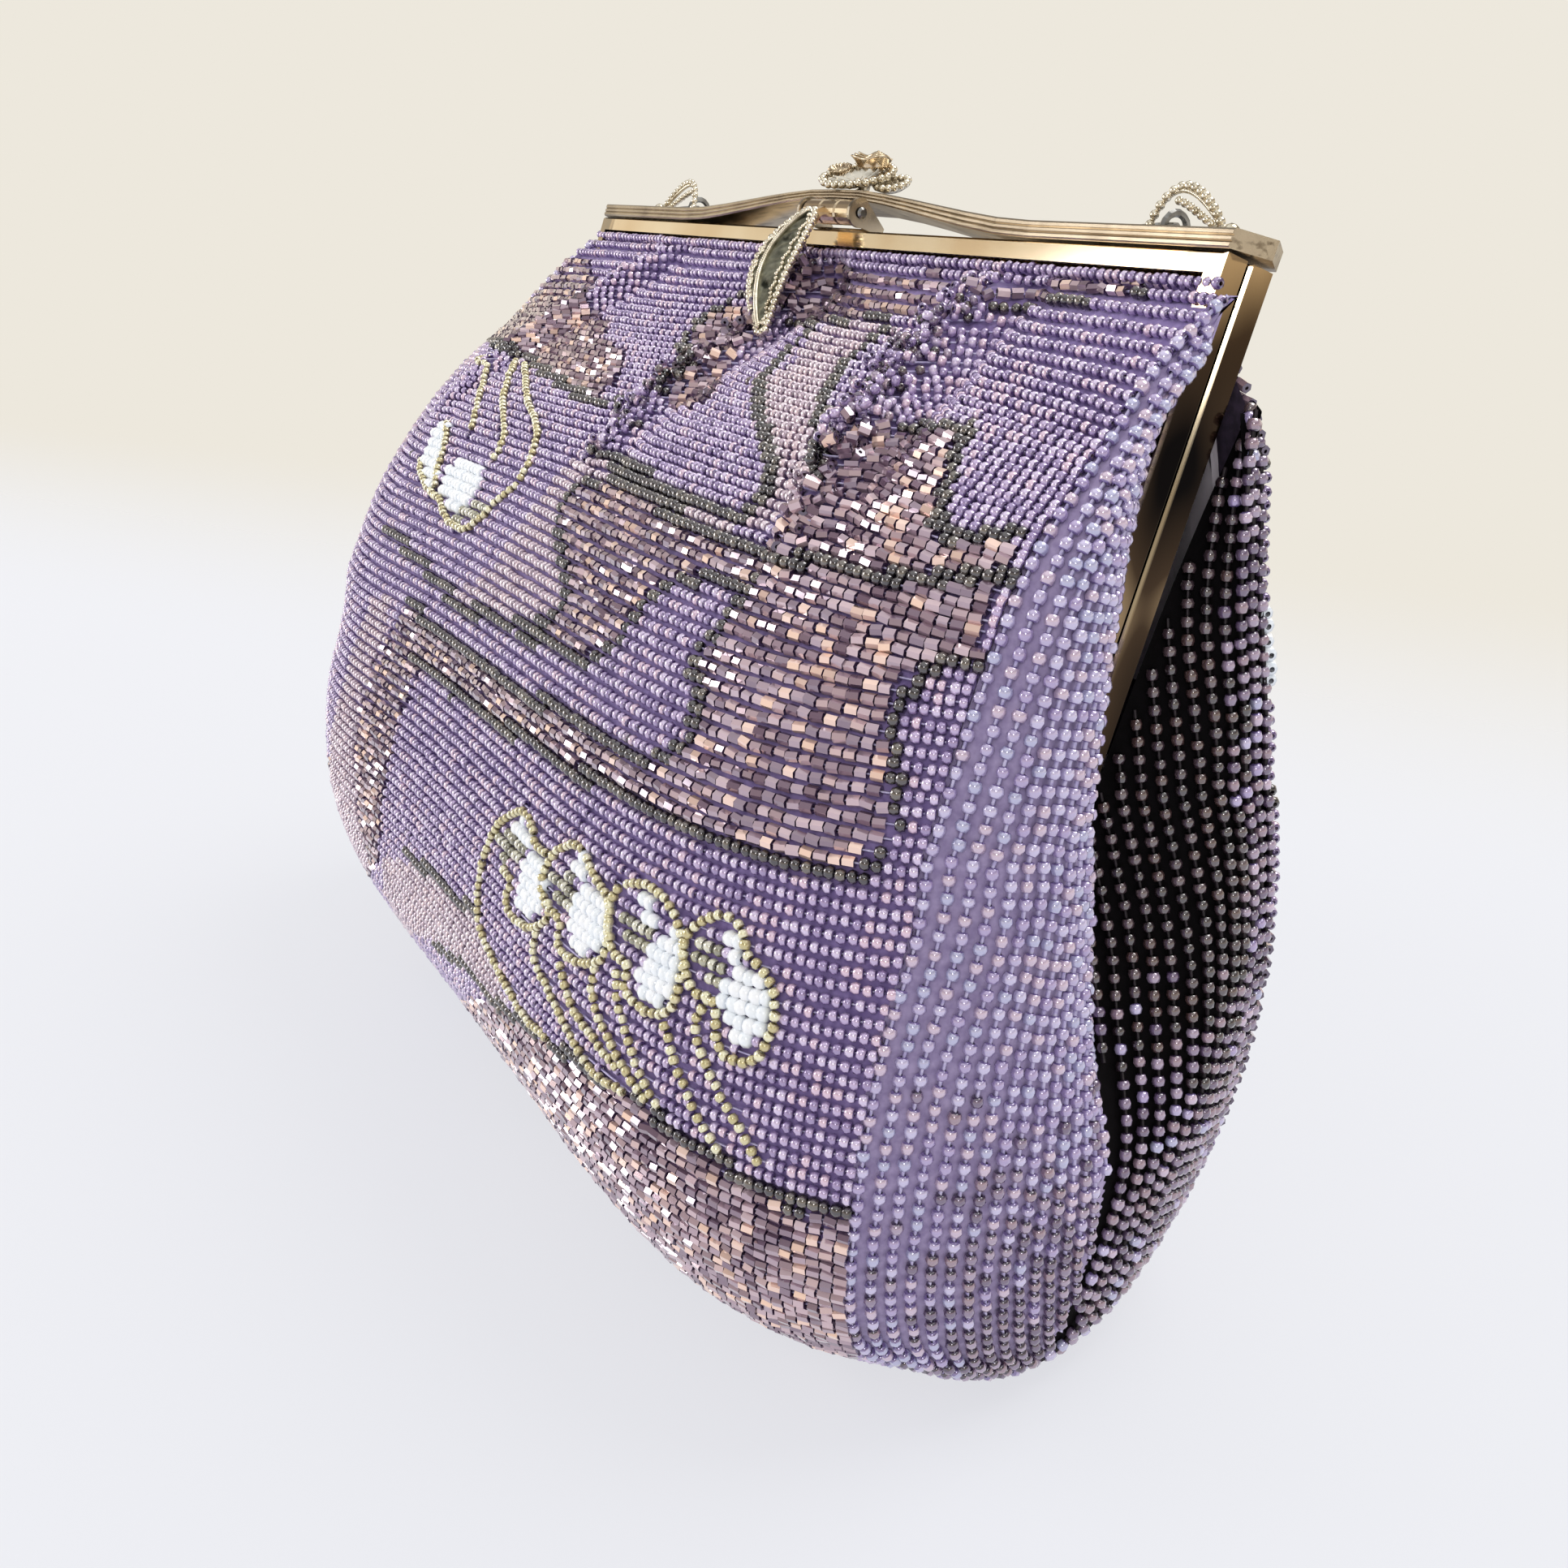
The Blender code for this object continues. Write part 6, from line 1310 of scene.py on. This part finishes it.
# Lining
LINING_FOLD_HEIGHT = 0.00022
LINING_FOLD_PITCH = 0.0065
LINING_FINE_PITCH = LINING_FOLD_PITCH * 0.43
LINING_SLANT = 0.3
LINING_SWAY = 90
LINING_FINE_SWAY = 160


def soft_copy(node_name, finish=on_bag):
    """The satin piece that stands for a lining solid, with soft folds down it."""
    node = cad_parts[node_name]
    mesh = node.data.copy()
    form = bmesh.new()
    form.from_mesh(mesh)
    form.transform(node.matrix_world)
    bmesh.ops.subdivide_edges(form, edges=form.edges[:], cuts=3, use_grid_fill=True)
    form.normal_update()
    for vertex in form.verts:
        x, y, z = vertex.co
        slant = x + LINING_SLANT * y
        wave = math.sin(2 * math.pi * slant / LINING_FOLD_PITCH + 3 * math.sin(z * LINING_SWAY))
        wave += 0.5 * math.sin(2 * math.pi * (x - y) / LINING_FINE_PITCH + z * LINING_FINE_SWAY)
        vertex.co = vertex.co + vertex.normal * wave * LINING_FOLD_HEIGHT
    form.to_mesh(mesh)
    form.free()
    for face in mesh.polygons:
        face.use_smooth = True
    mesh.materials.clear()
    mesh.materials.append(satin)
    piece = add_object(f"{node_name}_satin", mesh)
    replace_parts(piece, node_name)
    finish(piece)
    return piece


lining_body = soft_copy("lining_body")
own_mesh(lining_body)
soft_copy("lining_back_jaw")
soft_copy("lining_front_jaw", turning)
soft_copy("inner_pocket")


# Chain
CHAIN_TOP = (0.0655, 0.0288, 0.1354)
CHAIN_LENGTH = 0.290
CHAIN_PITCH = 0.00646
CHAIN_WIRE_RADIUS = 0.00045
CHAIN_LINK_WIDTH = 0.0046
CHAIN_CLEARANCE = 0.0034


def chain_route():
    """The hanging chain's points and the direction that it leans away from the back."""
    half_span = CHAIN_TOP[0]
    low, high = half_span / 8, half_span * 8
    for _ in range(60):
        scale = (low + high) / 2
        if 2 * scale * math.sinh(half_span / scale) > CHAIN_LENGTH:
            low = scale
        else:
            high = scale
    back_line = shares_to_places(np.array(BACK_MIDDLE_SHARES[2:8]))
    lean = max(math.atan2(y + CHAIN_CLEARANCE - CHAIN_TOP[1], CHAIN_TOP[2] - z) for _, y, z in back_line)
    x = np.linspace(-half_span, half_span, 401)
    depth = scale * (np.cosh(half_span / scale) - np.cosh(x / scale))
    route = np.stack(
        (x, CHAIN_TOP[1] + math.sin(lean) * depth, CHAIN_TOP[2] - math.cos(lean) * depth), axis=1)
    return route, np.array((0, math.cos(lean), math.sin(lean)))


def link_mesh(centre, along, other, half_length, half_width, wire, turns=20, sides=8):
    """One oval link of round wire."""
    normal = np.cross(along, other)
    straight = half_length - half_width
    half = turns // 2
    points = []
    for end in (1, -1):
        for i in range(half):
            angle = math.pi * (i / (half - 1) - 0.5)
            out = (along * math.cos(angle) + other * math.sin(angle)) * end
            middle = centre + out * half_width + along * (straight * end)
            for k in range(sides):
                turn = 2 * math.pi * k / sides
                points.append(middle + wire * (out * math.cos(turn) + normal * math.sin(turn)))
    rings = 2 * half
    quads = []
    for ring in range(rings):
        for k in range(sides):
            after = (ring + 1) % rings
            quads.append((ring * sides + k, ring * sides + (k + 1) % sides,
                          after * sides + (k + 1) % sides, after * sides + k))
    return points, quads


def add_chain():
    route, outward_way = chain_route()
    reach = arc_lengths(route)
    half_length = CHAIN_PITCH / 2 + CHAIN_WIRE_RADIUS
    count = int((reach[-1] - 2 * half_length) / CHAIN_PITCH) + 1
    count -= 1 - count % 2
    pitch = (reach[-1] - 2 * half_length) / (count - 1)
    half_length = pitch / 2 + CHAIN_WIRE_RADIUS
    points, quads = [], []
    for i in range(count):
        middle = reach[-1] / 2 + (i - (count - 1) / 2) * pitch
        ends = read_along(route, reach, middle + np.array((-pitch / 3, pitch / 3)))
        centre = (ends[0] + ends[1]) / 2
        along = unit(ends[1] - ends[0])
        across = unit(np.cross(outward_way, along))
        other = across if i % 2 == 0 else outward_way
        new_points, new_quads = link_mesh(
            centre, along, other, half_length, CHAIN_LINK_WIDTH / 2 - CHAIN_WIRE_RADIUS, CHAIN_WIRE_RADIUS)
        quads += [tuple(len(points) + k for k in quad) for quad in new_quads]
        points += new_points
    links = plain_object("chain_links", np.array(points), np.array(quads), ring_steel)
    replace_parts(links, "link_chain")
    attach(links, "chain")


# Ornaments with their rims of small balls
BALL_RADIUS = 0.00066
ROPE_PITCH = BALL_RADIUS * 1.7
FINE_ROPE_PITCH = BALL_RADIUS * 1.6
WIDE_ROPE_PITCH = BALL_RADIUS * 1.75
WIRE_PITCH = BALL_RADIUS * 0.45
SMALL_BALL_RADIUS = BALL_RADIUS * 0.9
LOWER_BALL_RADIUS = BALL_RADIUS * 0.8
KEEL_PITCH = BALL_RADIUS * 0.5
KEEL_RADIUS = BALL_RADIUS * 0.6
THIN_RADIUS = BALL_RADIUS * 0.5
LEAF_ROOT = (0.0022, 0.0142, 0.1370)
LEAF_DOWN = (0.0, -0.620, -0.785)
LEAF_ACROSS = (1.0, 0.0, 0.0)
LEAF_NORMAL = (0.0, -0.785, 0.620)
LEAF_STEPS = (70, 31)
LEAF_LENGTH = 0.0200
LEAF_WIDTH_START = 0.03
LEAF_WIDTH_SPAN = 0.94
LEAF_WIDTH_POWER = 0.75
LEAF_PEAK_POWER = 0.85
LEAF_KEEL_POWER = 0.9
LEAF_DRIFT_POWER = 1.3
LEAF_HALF_WIDTH = 0.0054
LEAF_DRIFT = 0.0046
LEAF_BOW = 0.0040
LEAF_KEEL = 0.0014
LEAF_VEIN = 0.00038
LEAF_VEINS = 8
LEAF_VEIN_SLANT = 1.1
LEAF_BEND = 0.0016
LEAF_ROPE_RISE = 0.0002
SHELL_THICKNESS = 0.0005
FLOWER_PLACE = (0.0004, 0.0232, 0.1419)
FLOWER_ALONG = (0.55, 0.82, 0.12)
FLOWER_ASIDE = (-0.80, 0.50, 0.33)
BIG_LEAF_SIZES = (0.0054, 0.0036)
SMALL_LEAF_PLACE = (0.0046, 0.0266, 0.1408)
SMALL_LEAF_SIZES = (0.0025, 0.0020)
DISH_DEPTH = 0.0010
DISH_RIDGE = 0.00012
DISH_RIDGES = 16
DISH_MIDDLE_SHARE = 0.02
DISH_STEPS = (10, 49)
ROSE_PLACE = (0.0017, 0.0249, 0.1428)
ROSE_RADIUS = 0.0031
ROSE_HEIGHT = 0.0019
ROSE_TURNS = 3.2
ROSE_STEPS = (150, 7)
ROSE_MIDDLE_SHARE = 0.18
ROSE_GROWTH_SHARE = 0.62
ROSE_LOBE_SHARE = 0.10
ROSE_FLARE_SHARE = 0.26
ROSE_SCROLL_SHARE = 0.4
ROSE_TOP_SHARE = 1.15
ROSE_SINK_SHARE = 0.35
ROSE_WAVE_SHARE = 0.12
ROSE_THICKNESS = 0.00022
ROSE_MIDDLE_RISE = (0, 0, 0.0012)
ROSE_MIDDLE_RADIUS = 0.0007
PETAL_PLACE = (-0.0012, 0.0210, 0.1432)
PETAL_SIZES = (0.0015, 0.0012)
LOOP_ROOT = (0.0634, 0.0257, 0.1352)
LOOP_LENGTH = 0.0134
LOOP_HEIGHT = 0.0055
LOOP_PEAK_POWER = 0.62
LOOP_ARCH_POWER = 0.8
LOOP_STEPS = 60
LOOP_BAND = 0.0020
LOOP_LEAN_SHARE = 0.36
LOOP_DROP_ASIDE_SHARE = 0.35
LOOP_DROP_BACK_SHARE = 0.25
LOOP_LOW_START = 17
LOOP_WIRE_END = 52
LOOP_WIRE_SHARE = 0.3
FINIAL_OFFSET = (0.0009, 0, 0.0006)
FINIAL_RADIUS = 0.00105


def shell(grid, thickness):
    """Points and quads of a thin closed shell on a grid of points."""
    normals = unit(np.cross(np.gradient(grid, axis=0), np.gradient(grid, axis=1)))
    rows, columns = grid.shape[:2]
    quads = grid_quads(rows, columns)
    index = np.arange(rows * columns).reshape(rows, columns)
    rim = np.concatenate((index[0, :-1], index[:-1, -1], index[-1, :0:-1], index[:0:-1, 0]))
    after = np.roll(rim, -1)
    total = rows * columns
    sides = np.stack((rim, after, after + total, rim + total), axis=1)
    points = np.concatenate((grid.reshape(-1, 3), (grid - normals * thickness).reshape(-1, 3)))
    return points, np.concatenate((quads[:, ::-1], quads + total, sides))


def metal_piece(name, grid, material, body, thickness=SHELL_THICKNESS):
    points, quads = shell(grid, thickness)
    piece = plain_object(name, points, quads, material)
    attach(piece, body)
    return piece


def ball_template():
    form = bmesh.new()
    bmesh.ops.create_icosphere(form, subdivisions=2, radius=1.0)
    points = np.array([vertex.co for vertex in form.verts])
    faces = np.array([[vertex.index for vertex in face.verts] for face in form.faces])
    form.free()
    return points, faces


def add_balls(name, centres, radius, body):
    """Small metal balls in a row, as one piece."""
    template, faces = ball_template()
    points = centres[:, None] + radius * template[None]
    faces = faces[None] + (np.arange(len(centres)) * len(template))[:, None, None]
    piece = plain_object(name, points.reshape(-1, 3), faces.reshape(-1, 3), rope_metal)
    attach(piece, body)
    return piece


def evenly(points, pitch):
    """Points about a pitch apart along a line, from its start to its end."""
    reach = arc_lengths(points)
    count = max(int(round(reach[-1] / pitch)), 2)
    return read_along(points, reach, np.linspace(0, reach[-1], count))


def leaf_grid():
    """The clasp's leaf from its root at the lever down to the tip, with keel and veins."""
    root, down, across, normal = (np.array(v) for v in (LEAF_ROOT, LEAF_DOWN, LEAF_ACROSS, LEAF_NORMAL))
    t = np.linspace(0, 1, LEAF_STEPS[0])[:, None, None]
    side = np.linspace(-1, 1, LEAF_STEPS[1])[None, :, None]
    drift = LEAF_DRIFT * t**LEAF_DRIFT_POWER - LEAF_BOW * np.sin(math.pi * t)
    middle = root + down * LEAF_LENGTH * t + across * drift
    swell = np.clip(LEAF_WIDTH_START + LEAF_WIDTH_SPAN * t**LEAF_PEAK_POWER, 0, 1)
    width = LEAF_HALF_WIDTH * np.sin(math.pi * swell) ** LEAF_WIDTH_POWER
    vein = np.sin(2 * math.pi * (LEAF_VEINS * t + LEAF_VEIN_SLANT * np.abs(side)))
    vein = vein * LEAF_VEIN * np.abs(side) * (1 - side**4)
    rise = LEAF_KEEL * (1 - np.abs(side) ** LEAF_KEEL_POWER) * np.sin(math.pi * t) ** 0.5 + vein
    bend = -LEAF_BEND * t**2
    return middle + across * width * side + normal * (rise + bend)


def add_leaf():
    grid = leaf_grid()
    piece = metal_piece("clasp_leaf_veined", grid, leaf_face, "clasp")
    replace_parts(piece, "clasp_leaf")
    rim = np.concatenate((grid[:, 0], grid[::-1, -1]))
    add_balls("clasp_leaf_rope", evenly(rim, ROPE_PITCH), BALL_RADIUS, "clasp")
    lift = np.array(LEAF_NORMAL) * LEAF_ROPE_RISE
    inner = np.concatenate((grid[4:-4, 4], grid[-5:3:-1, -5])) + lift
    add_balls("clasp_leaf_inner_rope", evenly(inner, BALL_RADIUS), THIN_RADIUS, "clasp")
    keel = grid[2:-2, LEAF_STEPS[1] // 2] + lift
    add_balls("clasp_leaf_keel", evenly(keel, KEEL_PITCH), KEEL_RADIUS, "clasp")


def dish_grid(place, sizes):
    """A shallow oval dish, tilted as the flower is."""
    along = unit(np.array(FLOWER_ALONG))
    aside = np.array(FLOWER_ASIDE)
    aside = unit(aside - along * (aside @ along))
    normal = np.cross(along, aside)
    ring = np.linspace(DISH_MIDDLE_SHARE, 1, DISH_STEPS[0])[:, None, None]
    turn = np.linspace(0, 2 * math.pi, DISH_STEPS[1])[None, :, None]
    flat = along * sizes[0] * ring * np.cos(turn) + aside * sizes[1] * ring * np.sin(turn)
    ridge = DISH_RIDGE * np.cos(turn * DISH_RIDGES) * ring
    return np.array(place) + flat + normal * (DISH_DEPTH * (ring**2 - 1) + ridge)


def rose_grid():
    """One strip wound into a rose, flaring outwards, with scrolled petals."""
    turn = np.linspace(0, ROSE_TURNS * 2 * math.pi, ROSE_STEPS[0])[:, None, None]
    up = np.linspace(0, 1, ROSE_STEPS[1])[None, :, None]
    share = turn / (ROSE_TURNS * 2 * math.pi)
    radius = ROSE_RADIUS * (ROSE_MIDDLE_SHARE + ROSE_GROWTH_SHARE * share)
    radius = radius * (1 + ROSE_LOBE_SHARE * np.cos(3 * turn + 2 * share))
    radius = radius + ROSE_RADIUS * ROSE_FLARE_SHARE * up**2 * (1 + ROSE_SCROLL_SHARE * np.cos(3 * turn))
    top = ROSE_TOP_SHARE - ROSE_SINK_SHARE * share + ROSE_WAVE_SHARE * np.cos(3 * turn)
    height = ROSE_HEIGHT * up * top
    x = radius * np.cos(turn)
    y = radius * np.sin(turn)
    return np.array(ROSE_PLACE) + np.concatenate((x, y, height + 0 * x), axis=-1)


def add_dish(name, place, sizes, pitch, radius):
    """A flower's leaf with its rim of balls."""
    grid = dish_grid(place, sizes)
    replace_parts(metal_piece(f"{name}_dish", grid, bright, "bag"), name)
    add_balls(f"{name}_rope", evenly(grid[-1], pitch)[:-1], radius, "bag")


def add_flower():
    add_dish("flower_leaf_large", FLOWER_PLACE, BIG_LEAF_SIZES, WIDE_ROPE_PITCH, BALL_RADIUS)
    add_dish("flower_leaf_small", SMALL_LEAF_PLACE, SMALL_LEAF_SIZES, FINE_ROPE_PITCH, SMALL_BALL_RADIUS)
    rose = metal_piece("flower_rose", rose_grid(), champagne, "bag", ROSE_THICKNESS)
    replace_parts(rose, "flower_petals")
    petal = metal_piece("flower_round_petal", dish_grid(PETAL_PLACE, PETAL_SIZES), champagne, "bag")
    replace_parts(petal, "flower_bud_small")
    middle = np.array([ROSE_PLACE]) + np.array(ROSE_MIDDLE_RISE)
    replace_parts(add_balls("flower_rose_middle", middle, ROSE_MIDDLE_RADIUS, "bag"), "flower_bud")


def loop_line(hand, drop):
    """The arch of a chain loop; drop lowers it towards its lower edge."""
    t = np.linspace(0, 1, LOOP_STEPS)
    swell = np.sin(math.pi * t) ** LOOP_ARCH_POWER
    x = LOOP_ROOT[0] + LOOP_LENGTH * t
    rise = LOOP_HEIGHT * np.sin(math.pi * t**LOOP_PEAK_POWER) ** LOOP_ARCH_POWER
    x = x - LOOP_DROP_ASIDE_SHARE * drop * swell
    rise = rise - drop * swell
    y = LOOP_ROOT[1] + LOOP_LEAN_SHARE * rise + LOOP_DROP_BACK_SHARE * drop
    return np.stack((hand * x, y, LOOP_ROOT[2] + rise), axis=1)


def add_loop(name, hand):
    top, low = loop_line(hand, 0.0), loop_line(hand, LOOP_BAND)
    piece = add_balls(f"{name}_rope", evenly(top, ROPE_PITCH), SMALL_BALL_RADIUS, "bag")
    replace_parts(piece, name)
    lower = evenly(low[LOOP_LOW_START:], FINE_ROPE_PITCH)
    add_balls(f"{name}_lower_rope", lower, LOWER_BALL_RADIUS, "bag")
    wire = (top * (1 - LOOP_WIRE_SHARE) + low * LOOP_WIRE_SHARE)[:LOOP_WIRE_END]
    add_balls(f"{name}_wire", evenly(wire, WIRE_PITCH), THIN_RADIUS, "bag")
    add_balls(f"{name}_finial", top[-1:] + mirror(FINIAL_OFFSET, hand), FINIAL_RADIUS, "bag")


add_leaf()
add_flower()
add_loop("chain_loop_right", 1)
add_loop("chain_loop_left", -1)
add_chain()
dress_metal()

# Camera
camera_data = bpy.data.cameras.new("camera")
camera_data.sensor_width = SENSOR_WIDTH
camera_data.lens = SENSOR_WIDTH * FOCAL_PIXELS / PHOTO_SIDE
camera_data.clip_start = 0.01
camera_data.clip_end = 20
camera = add_object("camera", camera_data)
turn = Matrix([CAMERA_RIGHT, CAMERA_UP, CAMERA_BACK]).transposed()
camera.matrix_world = Matrix.Translation(Vector(CAMERA_PLACE)) @ turn.to_4x4()
bpy.context.scene.camera = camera

# Floor, which fades into the wall's colour behind the object
FLOOR_HALF_SIDE = 3.0
FLOOR_END = 0.270
FLOOR_FADE = 0.150
WALL_DIRECTION = (-0.5196, 0.8544, 0.0)
WALL_COLOUR = linear(237, 232, 221)
FLOOR_COLOUR = linear(110, 111, 114)
FLOOR_GLOW_COLOUR = linear(236, 237, 242)
FLOOR_GLOW = 0.775


def add_floor():
    material, tree, shader = new_shader("pale_floor", {
        "Base Color": FLOOR_COLOUR, "Roughness": 0.55, "Specular IOR Level": 0.25,
        "Emission Color": FLOOR_GLOW_COLOUR, "Emission Strength": FLOOR_GLOW})
    away = dot_product(tree, add_node(tree, "TexCoord", output="Object"), WALL_DIRECTION)
    fade = smooth_range(tree, away, FLOOR_END - FLOOR_FADE, FLOOR_END + FLOOR_FADE)
    clear = add_node(tree, "BsdfTransparent")
    mixed = add_node(tree, "MixShader", {"Fac": fade, 1: shader.outputs["BSDF"], 2: clear})
    feed(tree, tree.nodes["Material Output"], {"Surface": mixed})
    side = FLOOR_HALF_SIDE
    corners = np.array([(-side, -side, 0), (side, -side, 0), (side, side, 0), (-side, side, 0)])
    plain_object("floor", corners, np.array([(0, 1, 2, 3)]), material, False)


add_floor()


# Light: each lamp's name, place, aim, size, power and colour
LAMPS = [
    ("window", (0.15, 0.55, 1.05), (0, 0, 0.06), 0.70, 6.5, (1.0, 0.99, 0.97)),
    ("front_soft", (-0.80, -0.85, 0.42), (0, 0, 0.05), 0.60, 5.0, (0.99, 0.98, 1.0)),
    ("side_small", (0.75, -0.55, 0.60), (0, 0, 0.06), 0.25, 1.6, (1.0, 1.0, 1.0)),
]


def add_area_light(name, place, aim, size, power, colour):
    data = bpy.data.lights.new(name, "AREA")
    data.shape = "DISK"
    data.size = size
    data.energy = power
    data.color = colour
    light = add_object(name, data)
    light.location = place
    light.rotation_mode = "QUATERNION"
    light.rotation_quaternion = (Vector(aim) - Vector(place)).to_track_quat("-Z", "Y")


for lamp in LAMPS:
    add_area_light(*lamp)

WORLD_STRENGTH = 0.72
# What shines in the metal, from straight below to straight above
MIRRORED_STOPS = [
    (0.0, linear(60, 52, 48)), (0.35, linear(60, 52, 48)), (0.495, linear(250, 240, 222)),
    (0.59, linear(250, 240, 222)), (0.76, linear(120, 110, 104)), (0.90, linear(255, 255, 252)),
]


def add_world():
    """Diffuse light at a plain level; camera, glossy and transmitted rays see the pale surroundings."""
    world = bpy.data.worlds.new("surroundings")
    bpy.context.scene.world = world
    world.use_nodes = True
    tree = world.node_tree
    plain = tree.nodes["Background"]
    feed(tree, plain, {"Color": (1, 1, 1, 1), "Strength": WORLD_STRENGTH})
    seen = add_node(tree, "Background", {"Color": WALL_COLOUR, "Strength": 1.0})
    up = add_node(tree, "SeparateXYZ", {"Vector": add_node(tree, "TexCoord", output="Generated")}, "Z")
    height = add_node(tree, "MapRange", {"Value": up, "From Min": -1.0})
    mirrored = add_node(tree, "Background", {"Color": colour_ramp(tree, height, MIRRORED_STOPS)})
    glossy, camera_ray, passed_ray = (
        add_node(tree, "LightPath", output=f"Is {kind} Ray") for kind in ("Glossy", "Camera", "Transmission"))
    first = add_node(tree, "MixShader", {"Fac": glossy, 1: plain.outputs["Background"], 2: mirrored})
    either = add_node(tree, "Math", {0: camera_ray, 1: passed_ray}, operation="MAXIMUM")
    second = add_node(tree, "MixShader", {"Fac": either, 1: first, 2: seen})
    feed(tree, tree.nodes["World Output"], {"Surface": second})


add_world()
bpy.context.scene.view_settings.view_transform = "Standard"
